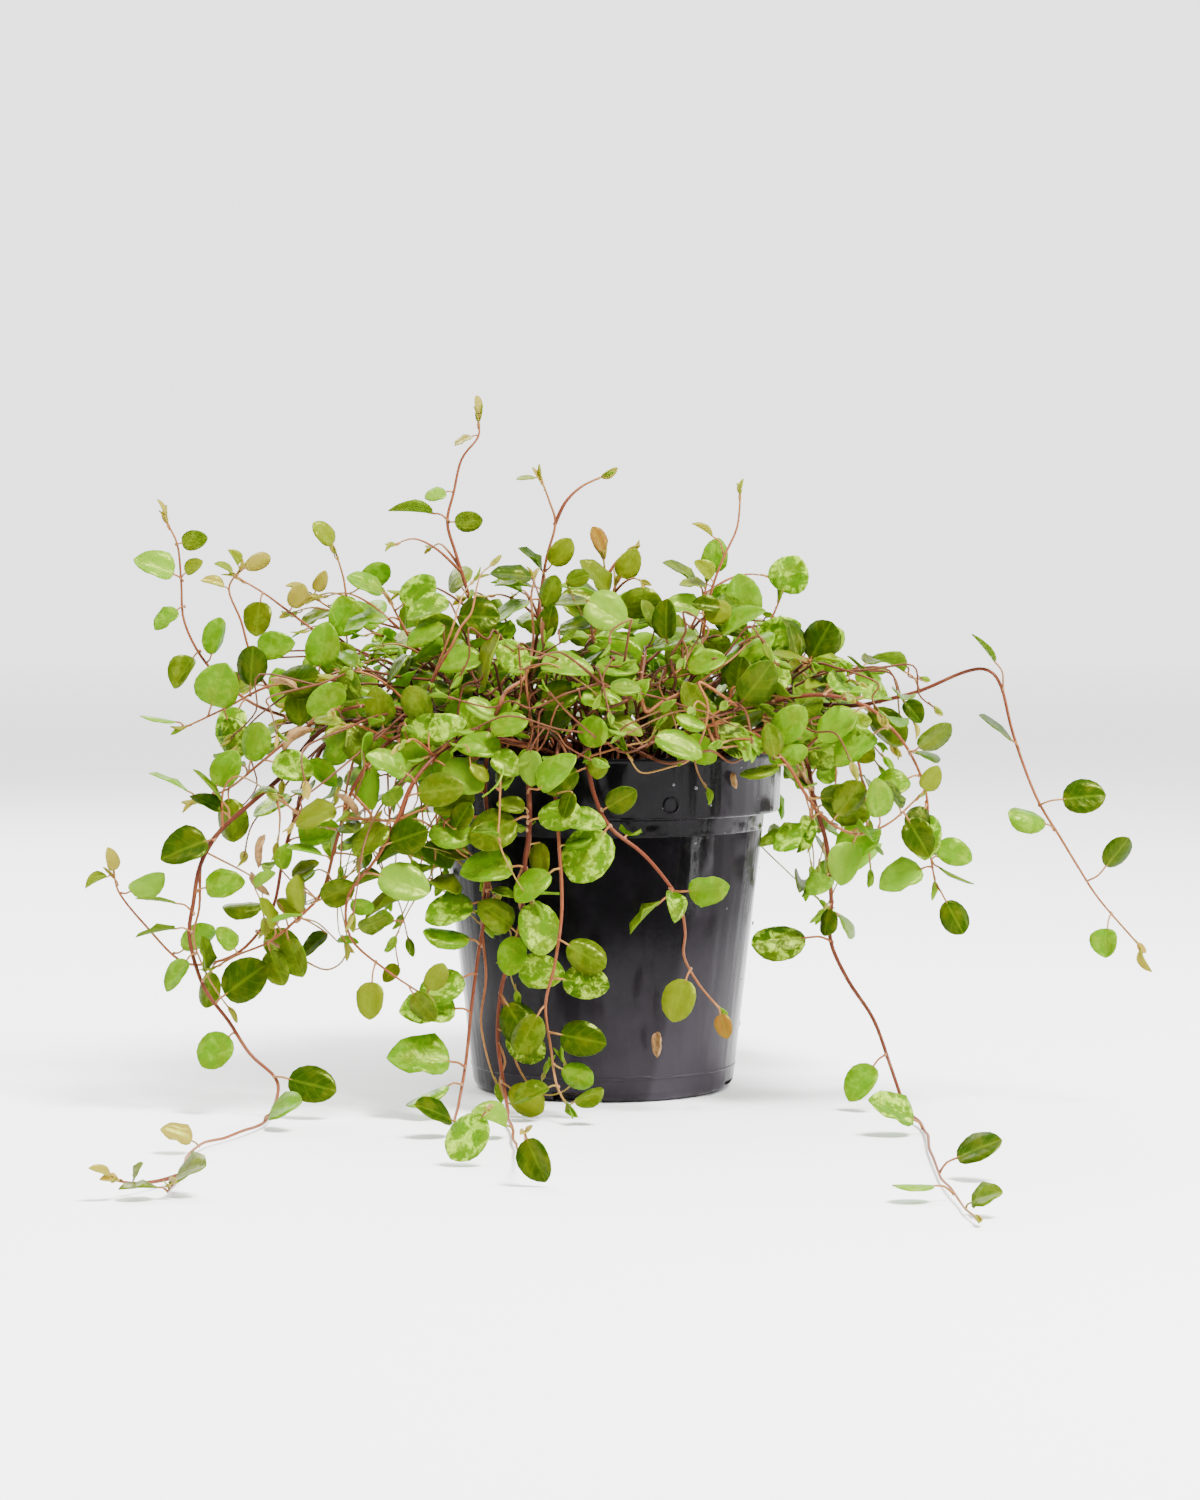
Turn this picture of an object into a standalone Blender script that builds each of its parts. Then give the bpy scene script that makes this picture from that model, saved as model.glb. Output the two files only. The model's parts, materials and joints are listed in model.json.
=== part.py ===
"""A wire vine in a black nursery pot, in metres, with +Z up.

The origin is the middle of the pot's flat underside. The viewer stands on the -Y side, with +X to the
right. The pot is a thin turned shell, the potting mix fills it, and each leafy shoot stands in its own
hole in the mix. Shoots that trail below the pot lie along the surface that it stands on.
"""

import math
import random

import bmesh
import bpy
from mathutils import Matrix, Vector
from mathutils.bvhtree import BVHTree
from mathutils.kdtree import KDTree

MM = 0.001
SEED = 41

# Pot, in millimetres.
POT_HEIGHT = 104.0
RIM_RADIUS = 55.2
BAND_BOTTOM = 85.5
BODY_TOP_RADIUS = 49.7
BASE_RADIUS = 40.3
WALL = 1.4
POT_SIDES = 32
SLOT_WIDTH = 15.0
SLOT_HEIGHT = 3.2
SLOT_FIRST_ANGLE = -101.5
SLOT_COUNT = 4

# Potting mix.
MIX_TOP = 97.0
MIX_CROWN = 1.5
MIX_GAP = 0.3
MIX_SIDES = 20
HOLE_DEPTH = 8.0
ROOT_SPACING = 5.0
ROOT_REACH = 46.0
HOLE_GAP = 0.35
HOLE_SIDES = 4

# Stems.
STEM_STEP = 14.0
STEM_RADIUS = 0.8
TIP_RADIUS = 0.5
TWIG_SHARE = 0.8
STEM_CLEARANCE = 1.1
BEND_SWEEPS = 60
STEM_SAMPLE = 1.6
FLOOR_CLEARANCE = 0.5

# Leaves.
BLADE_THICKNESS = 0.7
STALK_HALF_WIDTH = 0.4
FLAT_ANGLE = 1.5
ROOT_DEPTH = 0.3
LEAF_SPACING = 15.0
LEAF_LENGTH = 13.0
BLADE_SHARE = 0.92
LEAF_CLEARANCE = 0.35
SURFACE_LEAF_HEIGHT = 9.0
LARGE_OUTLINE = ((0.24, 0.43), (0.58, 0.50), (0.87, 0.29))
PLAIN_OUTLINE = ((0.32, 0.48), (0.76, 0.40))
LARGE_LEAF = 17.5
SMALL_LEAF = 13.5
LONG_STALK = 0.35

UP = Vector((0, 0, 1))
VIEWER = Vector((0, -0.85, 0.53))
LOW_FACE = Vector((0, -0.6, 0.8))
LOW_RISE = 0.5


def leaf(at, heading, length, turn=0, lean=12, stalk=0.28, ratio=0.76):
    """A leaf where the picture shows one. at counts the route's points from its root.

    heading is its direction as the viewer sees it, 0 to the right and 90 up, and lean tips it towards
    the viewer, in degrees. turn rolls its face away from the viewer. stalk is a share of its length.
    """
    return {"at": at, "heading": heading, "length": length, "turn": turn, "lean": lean,
            "stalk": stalk, "ratio": ratio}


def shoot(name, route, leaves=(), leafy=None, twigs=(), thick=1.0):
    """One rooted shoot. route is in millimetres, from its place in the mix to its tip.

    leafy is the stretch, counted in route points, where leaves follow the plain rule.
    """
    return {"name": name, "route": route, "leaves": list(leaves), "leafy": leafy,
            "twigs": list(twigs), "thick": thick}


def twig(at, route, leaves=(), leafy=None):
    """A side branch that leaves its shoot at a place counted in the shoot's route points."""
    return {"at": at, "route": route, "leaves": list(leaves), "leafy": leafy}


# Shoots that make the plant's outline. Each route point is across, towards the back, and up.
UPRIGHT_SHOOTS = [
    shoot("crown_leader",
          [(-20, 5), (-27, 0, 114), (-36, -7, 130), (-41, -10, 150), (-45, -10, 164), (-47, -10, 174),
           (-46, -10, 183), (-43, -10, 193), (-38, -10, 200), (-38, -11, 205)],
          [leaf(5, 172, 15, turn=68, stalk=0.4, ratio=0.7), leaf(5, 2, 9.5, turn=45, stalk=0.1),
           leaf(6, 195, 7.5, turn=15, ratio=0.85), leaf(8, 228, 7, turn=60), leaf(9, 96, 6, turn=55)],
          leafy=(0.8, 3.6)),
    shoot("twin_tip",
          [(-8, 8), (-15, 5, 110), (-22, 0, 124), (-20, -2, 138), (-19, -2, 150), (-17, -2, 163),
           (-15, -2, 173), (-17, -2, 180), (-19, -2, 187)],
          [leaf(8, 182, 6.5, turn=40), leaf(4.7, 52, 11, turn=20), leaf(4.5, 112, 11, turn=55),
           leaf(4.2, 172, 13, turn=50), leaf(4, 205, 15, turn=40)],
          leafy=(0.8, 3.6),
          twigs=[twig(6, [(-12, -2, 180), (-7, -1, 185), (0, 0, 188)])]),
    shoot("back_sprig",
          [(5, 15), (3, 16, 112), (1, 16, 130), (0, 15, 148), (1, 15, 157), (0, 15, 163)],
          [leaf(5, 108, 9, turn=20, ratio=0.7), leaf(3.2, -22, 15, turn=20, ratio=0.9),
           leaf(3, 165, 12, turn=10)],
          leafy=(0.8, 2.8),
          twigs=[twig(4, [(4, 15, 162), (8, 15, 165)])]),
    shoot("pink_riser",
          [(-2, -20), (0, -27, 107), (7, -30, 116), (15, -31, 117), (23, -31, 123), (29, -30, 133),
           (31, -30, 145), (33, -30, 155), (36, -30, 164), (40, -30, 172), (41, -30, 182)],
          [leaf(8, 142, 8, turn=60, stalk=0.9, ratio=0.5), leaf(7, 112, 8, turn=10),
           leaf(6.9, 175, 9, turn=35), leaf(6.2, -30, 12, turn=10), leaf(6, 160, 12, turn=10),
           leaf(5.2, 70, 13, turn=40), leaf(4, 105, 13, turn=25), leaf(3, -160, 14, turn=30)],
          leafy=(0.7, 2.6)),
    shoot("high_right",
          [(28, -5), (29, -8, 112), (33, -10, 124), (43, -12, 135), (50, -12, 143), (54, -12, 151)],
          [leaf(5, 68, 13, turn=8, stalk=0.15, ratio=1.05), leaf(3, 97, 17, turn=12, stalk=0.6),
           leaf(3.2, 22, 15, turn=35), leaf(2.6, 130, 12), leaf(2.2, -10, 14, turn=30)],
          leafy=(0.7, 2.0)),
    shoot("right_pair",
          [(38, -8), (41, -12, 109), (49, -18, 121), (57, -20, 128), (62, -20, 131)],
          [leaf(4, 62, 14, turn=5, stalk=0.15, ratio=0.92), leaf(3.6, 112, 14, turn=52),
           leaf(3, 200, 15, turn=10, ratio=0.9), leaf(2.4, 150, 14), leaf(2.2, -40, 12)],
          leafy=(0.7, 2.0)),
    shoot("left_tip",
          [(-38, 4), (-47, 0, 109), (-62, -5, 115), (-83, -9, 112), (-97, -11, 114), (-109, -12, 120),
           (-121, -12, 131), (-127, -12, 143), (-128, -12, 156), (-130, -12, 167), (-133, -12, 174)],
          [leaf(10, 112, 6, turn=60, ratio=0.5), leaf(9, 12, 9, turn=25), leaf(8, 155, 14, turn=5),
           leaf(8.1, 112, 9, turn=10), leaf(7.4, 218, 10, turn=15), leaf(6.3, 235, 12, turn=10),
           leaf(6, 72, 13, turn=62), leaf(5, 245, 14, turn=10), leaf(4, 100, 14, turn=30)],
          leafy=(0.8, 3.6)),
    shoot("left_fork",
          [(-33, 14), (-47, 11, 112), (-66, 7, 120), (-84, 4, 119), (-97, 2, 119), (-105, 1, 125),
           (-109, 0, 134), (-112, 0, 144), (-115, 0, 153), (-112, 0, 159)],
          [leaf(8, 160, 8, turn=20, ratio=0.6), leaf(9, 25, 9.5, turn=35, ratio=0.6),
           leaf(9, 115, 6, turn=40), leaf(6, 12, 13, turn=20), leaf(5, 200, 14, turn=15),
           leaf(4, -20, 15, turn=20)],
          leafy=(0.8, 3.6)),
    shoot("left_rider",
          [(-22, 18), (-35, 18, 116), (-54, 16, 125), (-72, 15, 132), (-88, 15, 139), (-98, 14, 146),
           (-106, 14, 152), (-114, 14, 157)],
          [leaf(6, 262, 12, turn=10, ratio=0.85), leaf(5, 60, 9, turn=30), leaf(4, -60, 14, turn=5),
           leaf(3.5, 95, 14, turn=15, ratio=0.95), leaf(7, 150, 7, turn=40)],
          leafy=(0.8, 3.2)),
    shoot("left_bud",
          [(-14, 24), (-25, 25, 118), (-44, 25, 129), (-61, 25, 136), (-74, 24, 141), (-80, 24, 148),
           (-82, 24, 157), (-84, 24, 165)],
          [leaf(7, 126, 10, turn=15), leaf(5.4, 35, 12, turn=52, stalk=0.6), leaf(4, -35, 13, turn=5),
           leaf(3.6, 140, 13, turn=20)],
          leafy=(0.8, 3.4)),
    shoot("bronze_tuft",
          [(-6, 28), (-22, 34, 118), (-44, 36, 132), (-66, 36, 141), (-84, 35, 146), (-92, 35, 151)],
          [leaf(5, 160, 8, turn=40, ratio=0.6), leaf(5, 62, 8, turn=30, ratio=0.6),
           leaf(4.4, 10, 8, turn=40, ratio=0.6), leaf(4, 200, 11, turn=30)],
          leafy=(0.8, 3.6)),
    shoot("crown_right",
          [(12, 12), (15, 10, 114), (20, 6, 128), (26, 3, 140), (30, 2, 149), (32, 2, 156)],
          [leaf(5, 75, 12, turn=20), leaf(4.4, 140, 14, turn=45, ratio=0.7), leaf(4, 15, 13, turn=40),
           leaf(3.2, 175, 14, turn=30)],
          leafy=(0.7, 3.0)),
    shoot("crown_middle",
          [(-12, -6), (-14, -9, 112), (-10, -12, 126), (-4, -13, 138), (1, -12, 148), (4, -12, 155)],
          [leaf(5, 60, 11, turn=30), leaf(4.3, 165, 14, turn=50), leaf(4, 5, 15, turn=55),
           leaf(3.3, 120, 13, turn=20), leaf(3, -20, 15, turn=30)],
          leafy=(0.7, 2.8)),
    shoot("crown_left",
          [(-26, -3), (-33, -7, 113), (-46, -10, 124), (-56, -12, 135), (-62, -12, 144),
           (-65, -12, 150)],
          [leaf(5, 150, 13, turn=25), leaf(4.5, 40, 14, turn=40), leaf(4, 190, 15, turn=35),
           leaf(3.6, -20, 15, turn=20, ratio=0.95), leaf(3, 100, 15, turn=30)],
          leafy=(0.7, 2.8)),
]

TRAILING_SHOOTS = [
    shoot("right_arch",
          [(30, -18), (37, -20, 109), (46, -21, 117), (60, -22, 119), (75, -25, 118), (95, -30, 123),
           (108, -34, 129), (115, -36, 130), (119, -38, 124), (122, -40, 110), (128, -42, 92),
           (135, -45, 80), (147, -48, 62), (158, -50, 49)],
          [leaf(4.4, 128, 13, turn=68, stalk=0.5), leaf(5, 148, 12, turn=74, stalk=0.7),
           leaf(4.7, 25, 11, turn=15), leaf(4.2, -48, 16, turn=55, stalk=0.15),
           leaf(8, 128, 12, turn=70, stalk=0.8), leaf(9.3, 140, 14, turn=50, stalk=0.4),
           leaf(10.2, 8, 14, turn=8, stalk=0.6, ratio=0.85), leaf(10.8, 158, 13, turn=12),
           leaf(11.7, 52, 12, turn=48, stalk=0.7), leaf(12.3, -98, 9.5, turn=25, stalk=0.6, ratio=1.0),
           leaf(13, -65, 8, turn=60, ratio=0.4)],
          leafy=(0.7, 3.6), thick=1.1),
    shoot("right_fork",
          [(26, -28), (34, -34, 110), (48, -42, 120), (64, -47, 123), (76, -49, 120), (83, -50, 115),
           (90, -50, 106), (95, -50, 94), (96, -50, 79), (98, -50, 67)],
          [leaf(5.2, 215, 16, turn=10, stalk=0.4), leaf(6, 35, 13, turn=68), leaf(6.6, 205, 14, turn=10),
           leaf(7.2, -92, 15, turn=10), leaf(7.6, 172, 12, turn=40), leaf(8, -22, 12, turn=15),
           leaf(8.4, -38, 14, turn=70), leaf(9, -62, 12, turn=10, stalk=0.6), leaf(8.6, 200, 15, turn=8),
           leaf(4.2, 230, 15, turn=8)],
          leafy=(0.7, 3.6), thick=1.1),
    shoot("right_fall",
          [(34, -20), (42, -26, 109), (52, -33, 112), (60, -39, 104), (63, -42, 92), (66, -44, 77),
           (68, -45, 61), (68, -44, 49), (73, -45, 38), (80, -48, 26), (84, -54, 14), (87, -66, 5),
           (90, -88, 1.8), (90, -118, 1.8), (89, -152, 1.8), (88, -186, 1.8), (89, -220, 1.8),
           (91, -244, 1.8)],
          [leaf(7, 183, 18, turn=10, stalk=0.55, ratio=0.78), leaf(6, 255, 9, turn=30),
           leaf(5.2, 25, 15, turn=8), leaf(4.6, 205, 14, turn=15), leaf(4, -20, 15, turn=10),
           leaf(3.5, 60, 13, turn=20), leaf(9.8, 232, 14, turn=15, stalk=0.4),
           leaf(12.4, 205, 16, lean=15), leaf(14.7, 8, 14, lean=15, stalk=0.5),
           leaf(15.7, 175, 12, turn=70, lean=10, stalk=0.5), leaf(16.4, 15, 9.5, lean=30, ratio=0.9)],
          leafy=(0.7, 3.0)),
    shoot("right_curl",
          [(22, -34), (30, -43, 109), (42, -52, 112), (53, -58, 104), (60, -62, 93), (66, -65, 86),
           (74, -66, 83), (84, -66, 86), (92, -66, 94)],
          [leaf(8, 60, 9, turn=30), leaf(7.4, -60, 13, turn=15), leaf(6.6, 95, 13, turn=20),
           leaf(6, -110, 14, turn=8), leaf(5, 30, 14, turn=10), leaf(4.6, 235, 12, turn=60),
           leaf(4, 5, 14, turn=25), leaf(3.2, 190, 13, turn=40), leaf(2.6, 50, 14, turn=15)],
          leafy=(0.7, 2.4)),
    shoot("front_drape",
          [(-6, -30), (-6, -40, 107), (-6, -52, 109), (-5, -59, 103), (-3, -62, 94), (2, -64, 85),
           (11, -65, 77), (18, -64, 69), (22, -63, 62), (24, -62, 54), (24, -61, 46), (28, -60, 38),
           (34, -59, 31)],
          [leaf(5, 218, 19, turn=5, stalk=0.15, ratio=0.9), leaf(4.5, 30, 11, turn=35, stalk=0.2),
           leaf(7.4, 5, 13, turn=48, stalk=0.5), leaf(7.7, 218, 14, turn=62, stalk=0.35),
           leaf(10.4, 250, 14, turn=5, stalk=0.3, ratio=0.78), leaf(12, 285, 8, turn=15, ratio=0.7),
           leaf(3.2, 205, 13, turn=10)],
          leafy=(0.7, 2.6), thick=1.15),
    shoot("front_cascade",
          [(-18, -28), (-20, -40, 108), (-21, -53, 109), (-22, -60, 102), (-22, -64, 86),
           (-23, -65, 64), (-25, -64, 52), (-30, -63, 39), (-31, -63, 24), (-30, -65, 12),
           (-28, -74, 4), (-26, -95, 1.8), (-24, -130, 2), (-22, -165, 6), (-20.5, -186, 14)],
          [leaf(3.9, 205, 16, turn=5, ratio=0.95), leaf(4, 15, 14, turn=8), leaf(4.6, 168, 17, turn=10),
           leaf(4.9, -48, 18, turn=5, ratio=0.85), leaf(5.6, 8, 17, turn=8, stalk=0.4),
           leaf(5.9, 165, 14, turn=15), leaf(6.6, -8, 15, turn=12), leaf(7.2, -58, 16, turn=10),
           leaf(7.9, -15, 14, turn=12), leaf(8.4, 25, 15, turn=15), leaf(9.2, -35, 13, turn=20),
           leaf(11.3, 200, 12, lean=20), leaf(14, 268, 14, ratio=0.72, stalk=0.1)],
          leafy=(0.7, 2.6), thick=1.1),
    shoot("front_curtain",
          [(-27, -22), (-30, -36, 109), (-33, -48, 109), (-35, -56, 100), (-34, -61, 86),
           (-34, -63, 66), (-36, -63, 48), (-39, -63, 32), (-40, -65, 17), (-42, -72, 5),
           (-42, -95, 2), (-38, -126, 5), (-31, -154, 15)],
          [leaf(3.4, 200, 14, turn=10), leaf(4.2, 165, 15, turn=15), leaf(5.2, 195, 16, turn=10),
           leaf(5.9, 120, 17, turn=12), leaf(6.4, 205, 16, turn=5), leaf(7.1, 178, 18, turn=8),
           leaf(8.2, 170, 20, turn=10), leaf(8.6, 215, 15, turn=50), leaf(10.2, 205, 14, lean=35),
           leaf(12, 232, 16, stalk=0.1)],
          leafy=(0.7, 2.6)),
    shoot("front_tangle",
          [(-12, -36), (-13, -46, 107), (-13, -56, 106), (-14, -61, 96), (-13, -66, 80), (-12, -70, 62),
           (-14, -70, 46), (-17, -70, 33), (-15, -70, 20), (-13, -74, 10), (-10, -82, 5)],
          [leaf(3.6, 40, 14, turn=10), leaf(4.4, 215, 14, turn=15), leaf(5.6, -30, 14, turn=15),
           leaf(6.4, 10, 15, turn=10), leaf(7, 240, 14, turn=8), leaf(7.6, -10, 15, turn=20),
           leaf(8.4, 20, 12, turn=50), leaf(9, 200, 12, turn=30), leaf(10, -30, 10, turn=30)],
          leafy=(0.7, 2.8)),
    shoot("left_cascade",
          [(-35, -12), (-44, -17, 109), (-58, -25, 114), (-72, -32, 115), (-85, -38, 111),
           (-95, -44, 99), (-104, -48, 91), (-113, -52, 83), (-118, -55, 73), (-120, -57, 62),
           (-121, -58, 51), (-117, -60, 38), (-110, -62, 27), (-103, -64, 18), (-96, -68, 12),
           (-95, -74, 6), (-97, -88, 2), (-102, -106, 1.8), (-110, -126, 1.8), (-112, -151, 1.8),
           (-111, -181, 1.8), (-111, -206, 1.8)],
          [leaf(7.3, 198, 16, turn=5, stalk=0.15, ratio=0.85), leaf(6.7, 128, 14, turn=68, stalk=0.5),
           leaf(8.7, 12, 13, turn=8), leaf(9.3, 168, 13, turn=68, stalk=0.5),
           leaf(9.8, 185, 13, turn=70, stalk=0.4), leaf(10.3, 235, 12, turn=30),
           leaf(10.9, 45, 13, turn=50), leaf(11.5, 38, 17, turn=10, stalk=0.3, ratio=0.82),
           leaf(12.3, 225, 13, turn=5, stalk=0.15, ratio=0.95), leaf(14, -12, 16, turn=8, stalk=0.35),
           leaf(16, 5, 13, lean=35, stalk=0.3, ratio=0.9), leaf(18.3, 195, 10, lean=10),
           leaf(20.6, 12, 13, lean=45, ratio=0.95), leaf(21, 175, 11, turn=70, lean=20)],
          leafy=(0.7, 4.4), thick=1.1,
          twigs=[twig(20, [(-115, -192, 1.8), (-120, -202, 3), (-124, -208, 5)],
                      [leaf(2, 150, 8, lean=20, ratio=0.6), leaf(3, 190, 7, lean=30, ratio=0.5)])]),
    shoot("left_star",
          [(-41, -3), (-53, -9, 111), (-68, -19, 118), (-83, -27, 108), (-90, -32, 92),
           (-95, -34, 75), (-99, -35, 58), (-107, -36, 47), (-116, -37, 42), (-126, -38, 43),
           (-137, -38, 53), (-144, -38, 63), (-146, -38, 68)],
          [leaf(12, 100, 8, turn=25, ratio=0.6), leaf(12, 200, 8, turn=40, ratio=0.6),
           leaf(11, 25, 13, turn=66), leaf(9.2, 35, 13, turn=66), leaf(8, -100, 12, turn=30),
           leaf(6.6, -30, 14, turn=10), leaf(6, 175, 13, turn=30), leaf(4.8, 15, 14, turn=15),
           leaf(4, 205, 14, turn=35)],
          leafy=(0.8, 3.4)),
    shoot("middle_fall",
          [(-25, -30), (-35, -43, 109), (-46, -56, 108), (-55, -66, 98), (-60, -69, 87), (-66, -70, 76),
           (-74, -70, 65), (-73, -70, 53), (-63, -70, 43), (-52, -70, 36)],
          [leaf(9, 60, 10, turn=40), leaf(8.6, -50, 11, turn=20), leaf(7.7, -95, 12, turn=10, stalk=0.6),
           leaf(6.8, 20, 10, turn=70), leaf(5.4, -15, 17, turn=5, stalk=0.3, ratio=0.75),
           leaf(4.7, -55, 16, turn=8, ratio=0.9), leaf(4, 220, 14, turn=15), leaf(3.4, 10, 15, turn=10),
           leaf(3, 150, 14, turn=20), leaf(2.4, -30, 15, turn=10)],
          leafy=(0.7, 2.2)),
    shoot("pink_knot",
          [(-37, -22), (-49, -32, 110), (-63, -46, 110), (-73, -55, 97), (-78, -60, 80),
           (-82, -61, 66), (-89, -61, 57), (-98, -61, 51), (-107, -61, 47), (-114, -61, 43)],
          [leaf(8, 200, 11, turn=15), leaf(7, 215, 15, turn=20), leaf(6.4, -70, 13, turn=10),
           leaf(6, 75, 12, turn=50), leaf(5.4, 25, 12, turn=40), leaf(5, -25, 15, turn=5, ratio=0.95),
           leaf(4.4, 165, 12, turn=50), leaf(6.8, 110, 11, turn=55), leaf(9, 190, 10, turn=60),
           leaf(3.4, 200, 14, turn=15)],
          leafy=(0.7, 3.0)),
    shoot("left_sprawl",
          [(-30, -25), (-40, -34, 110), (-56, -42, 117), (-72, -44, 119), (-88, -44, 113),
           (-101, -44, 103), (-111, -43, 95), (-121, -42, 91)],
          [leaf(7, 150, 14, turn=60), leaf(6.5, 60, 13, turn=15), leaf(6, -60, 15, turn=45),
           leaf(5.4, 120, 15, turn=15), leaf(5, -15, 14, turn=10), leaf(4.5, 215, 15, turn=20),
           leaf(4, 50, 15, turn=30), leaf(3.5, -30, 17, turn=12, ratio=0.7), leaf(3, 140, 14, turn=25)],
          leafy=(0.7, 2.8)),
    shoot("left_high_sprawl",
          [(-43, -8), (-55, -12, 112), (-70, -20, 122), (-86, -24, 127), (-101, -26, 124),
           (-114, -27, 118), (-126, -27, 112)],
          [leaf(6, 165, 12, turn=60), leaf(5.4, 70, 15, turn=12, ratio=1.0), leaf(5, -70, 14, turn=20),
           leaf(4.4, 130, 15, turn=20), leaf(4, 10, 15, turn=15), leaf(3.4, 200, 15, turn=10),
           leaf(3, 80, 15, turn=10), leaf(2.6, -40, 14, turn=25)],
          leafy=(0.7, 2.2)),
]

# Low shoots that hide the mix at the near rim.
LOW_SHOOTS = [
    shoot("rim_front",
          [(6, -34), (12, -43, 108), (22, -49, 111), (33, -51, 114), (44, -48, 116), (54, -43, 115)],
          [leaf(1.4, 75, 12), leaf(2, -35, 12, turn=25), leaf(2.6, 110, 13, turn=15),
           leaf(3.2, 5, 12, turn=35), leaf(3.8, 150, 13, turn=10), leaf(4.4, -40, 11, turn=20),
           leaf(5, 30, 11)]),
    shoot("rim_right",
          [(20, -26), (30, -35, 107), (42, -37, 111), (54, -34, 113), (64, -29, 113), (72, -25, 110)],
          [leaf(1.2, 60, 12, turn=20), leaf(1.8, 190, 12, turn=10), leaf(2.5, 80, 13),
           leaf(3.1, -30, 12, turn=30), leaf(3.8, 110, 12, turn=25), leaf(4.4, 10, 12, turn=10),
           leaf(5, -40, 11, turn=30)]),
    shoot("rim_left",
          [(-10, -40), (-16, -47, 107), (-28, -52, 110), (-42, -53, 112), (-56, -49, 112),
           (-68, -45, 109)],
          [leaf(1.3, 130, 13), leaf(1.9, -150, 13, turn=15), leaf(2.5, 60, 12, turn=25),
           leaf(3, 200, 14), leaf(3.6, 120, 13, turn=20), leaf(4.2, -70, 13, turn=10),
           leaf(4.7, 100, 13), leaf(5, 190, 12, turn=20)]),
]

# Shoots that fill the dome, and shoots that fall behind the pot, where the picture doesn't look.
DOME_SHOOTS = 11
GOLDEN_ANGLE = 137.5
BACK_SHOOTS = 7
BACK_TRAILING = (2, 4)
BACK_FIRST_ANGLE = 12.0
BACK_SPAN = 150.0


def on_ring(radius, angle, height):
    turn = math.radians(angle)
    return (radius * math.cos(turn), radius * math.sin(turn), height)


def dome_shoot(index):
    """A short shoot that rises from the mix and arches outwards, at golden-angle steps round the pot."""
    draw = random.Random(SEED + index)
    share = index / (DOME_SHOOTS - 1)
    angle = index * GOLDEN_ANGLE + 20
    rooted = 13 + 24 * math.sqrt(share)
    crest = 145 - 22 * share + draw.uniform(-5, 5)
    reach = 42 + 32 * share + draw.uniform(-4, 4)
    drift = draw.uniform(-16, 16)
    route = [on_ring(rooted, angle, 0)[:2],
             on_ring(rooted + 3, angle, 112),
             on_ring(0.65 * rooted + 0.35 * reach, angle + 0.3 * drift, 0.5 * (crest + 112)),
             on_ring(0.35 * rooted + 0.65 * reach, angle + 0.7 * drift, crest),
             on_ring(reach, angle + drift, crest - 2),
             on_ring(reach + 10, angle + 1.3 * drift, crest - 12)]
    return shoot(f"dome_{index + 1:02d}", route, leafy=(0.8, 5))


def back_shoot(index):
    """A shoot that hangs over the far rim. Two reach the surface and lie along it."""
    draw = random.Random(SEED + 100 + index)
    angle = BACK_FIRST_ANGLE + BACK_SPAN * index / (BACK_SHOOTS - 1)
    drift = draw.uniform(-9, 9)
    crest = 126 + draw.uniform(-4, 8)
    route = [on_ring(35 + draw.uniform(-2, 5), angle, 0)[:2],
             on_ring(43, angle, 112),
             on_ring(60, angle + 0.3 * drift, crest),
             on_ring(76, angle + 0.6 * drift, crest - 10),
             on_ring(84, angle + drift, crest - 34),
             on_ring(86, angle + 1.2 * drift, crest - 58)]
    if index in BACK_TRAILING:
        inwards = 0.1 * (90 - angle)
        route += [on_ring(84, angle + inwards, 36),
                  on_ring(86, angle + 2 * inwards, 14),
                  on_ring(96, angle + 3 * inwards, 3),
                  on_ring(116, angle + 4 * inwards, 1.8),
                  on_ring(134, angle + 5 * inwards, 1.8)]
    return shoot(f"back_{index + 1:02d}", route, leafy=(1.1, len(route) - 1))


# Stems: smooth lines through the route points, then bent clear of each other.
def spline_point(a, b, c, d, share):
    """Catmull-Rom between b and c."""
    square = share * share
    cube = square * share
    return 0.5 * ((2 * b) + (c - a) * share + (2 * a - 5 * b + 4 * c - d) * square
                  + (3 * b - a - 3 * c + d) * cube)


def stem_line(points, step):
    """Points along the smooth line, each with its place counted in route points."""
    ends = [2 * points[0] - points[1], *points, 2 * points[-1] - points[-2]]
    line = []
    for i in range(len(points) - 1):
        pieces = max(1, round((points[i + 1] - points[i]).length / step))
        for k in range(pieces):
            share = k / pieces
            line.append((spline_point(*ends[i:i + 4], share), i + share))
    line.append((points[-1].copy(), float(len(points) - 1)))
    return line


class Stem:
    """A stem's line, its thickness, and where it stands on its shoot."""

    def __init__(self, owner, points, base_radius, tip_radius, parent=None, at=0.0):
        line = stem_line(points, STEM_STEP)
        self.owner = owner
        self.points = [p for p, _ in line]
        self.places = [u for _, u in line]
        self.parent = parent
        self.at = at
        last = len(line) - 1
        self.radii = [base_radius + (tip_radius - base_radius) * i / last for i in range(last + 1)]

    def span(self, at):
        """The line's span that holds a place, and the share of the way along it."""
        for i in range(len(self.places) - 2, -1, -1):
            if at >= self.places[i]:
                width = self.places[i + 1] - self.places[i]
                return i, min(1.0, (at - self.places[i]) / width)
        return 0, 0.0

    def point(self, at):
        i, share = self.span(at)
        return self.points[i].lerp(self.points[i + 1], share)

    def direction(self, at):
        i, _ = self.span(at)
        return (self.points[i + 1] - self.points[i]).normalized()

    def is_fixed(self, i):
        return i == 0 or self.points[i].z < MIX_TOP + 4 and self.parent is None and i < 2


def mix_height(x, y):
    """The top of the potting mix, slightly crowned."""
    return MIX_TOP + MIX_CROWN * (1 - (x * x + y * y) / 50 ** 2)


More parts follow.
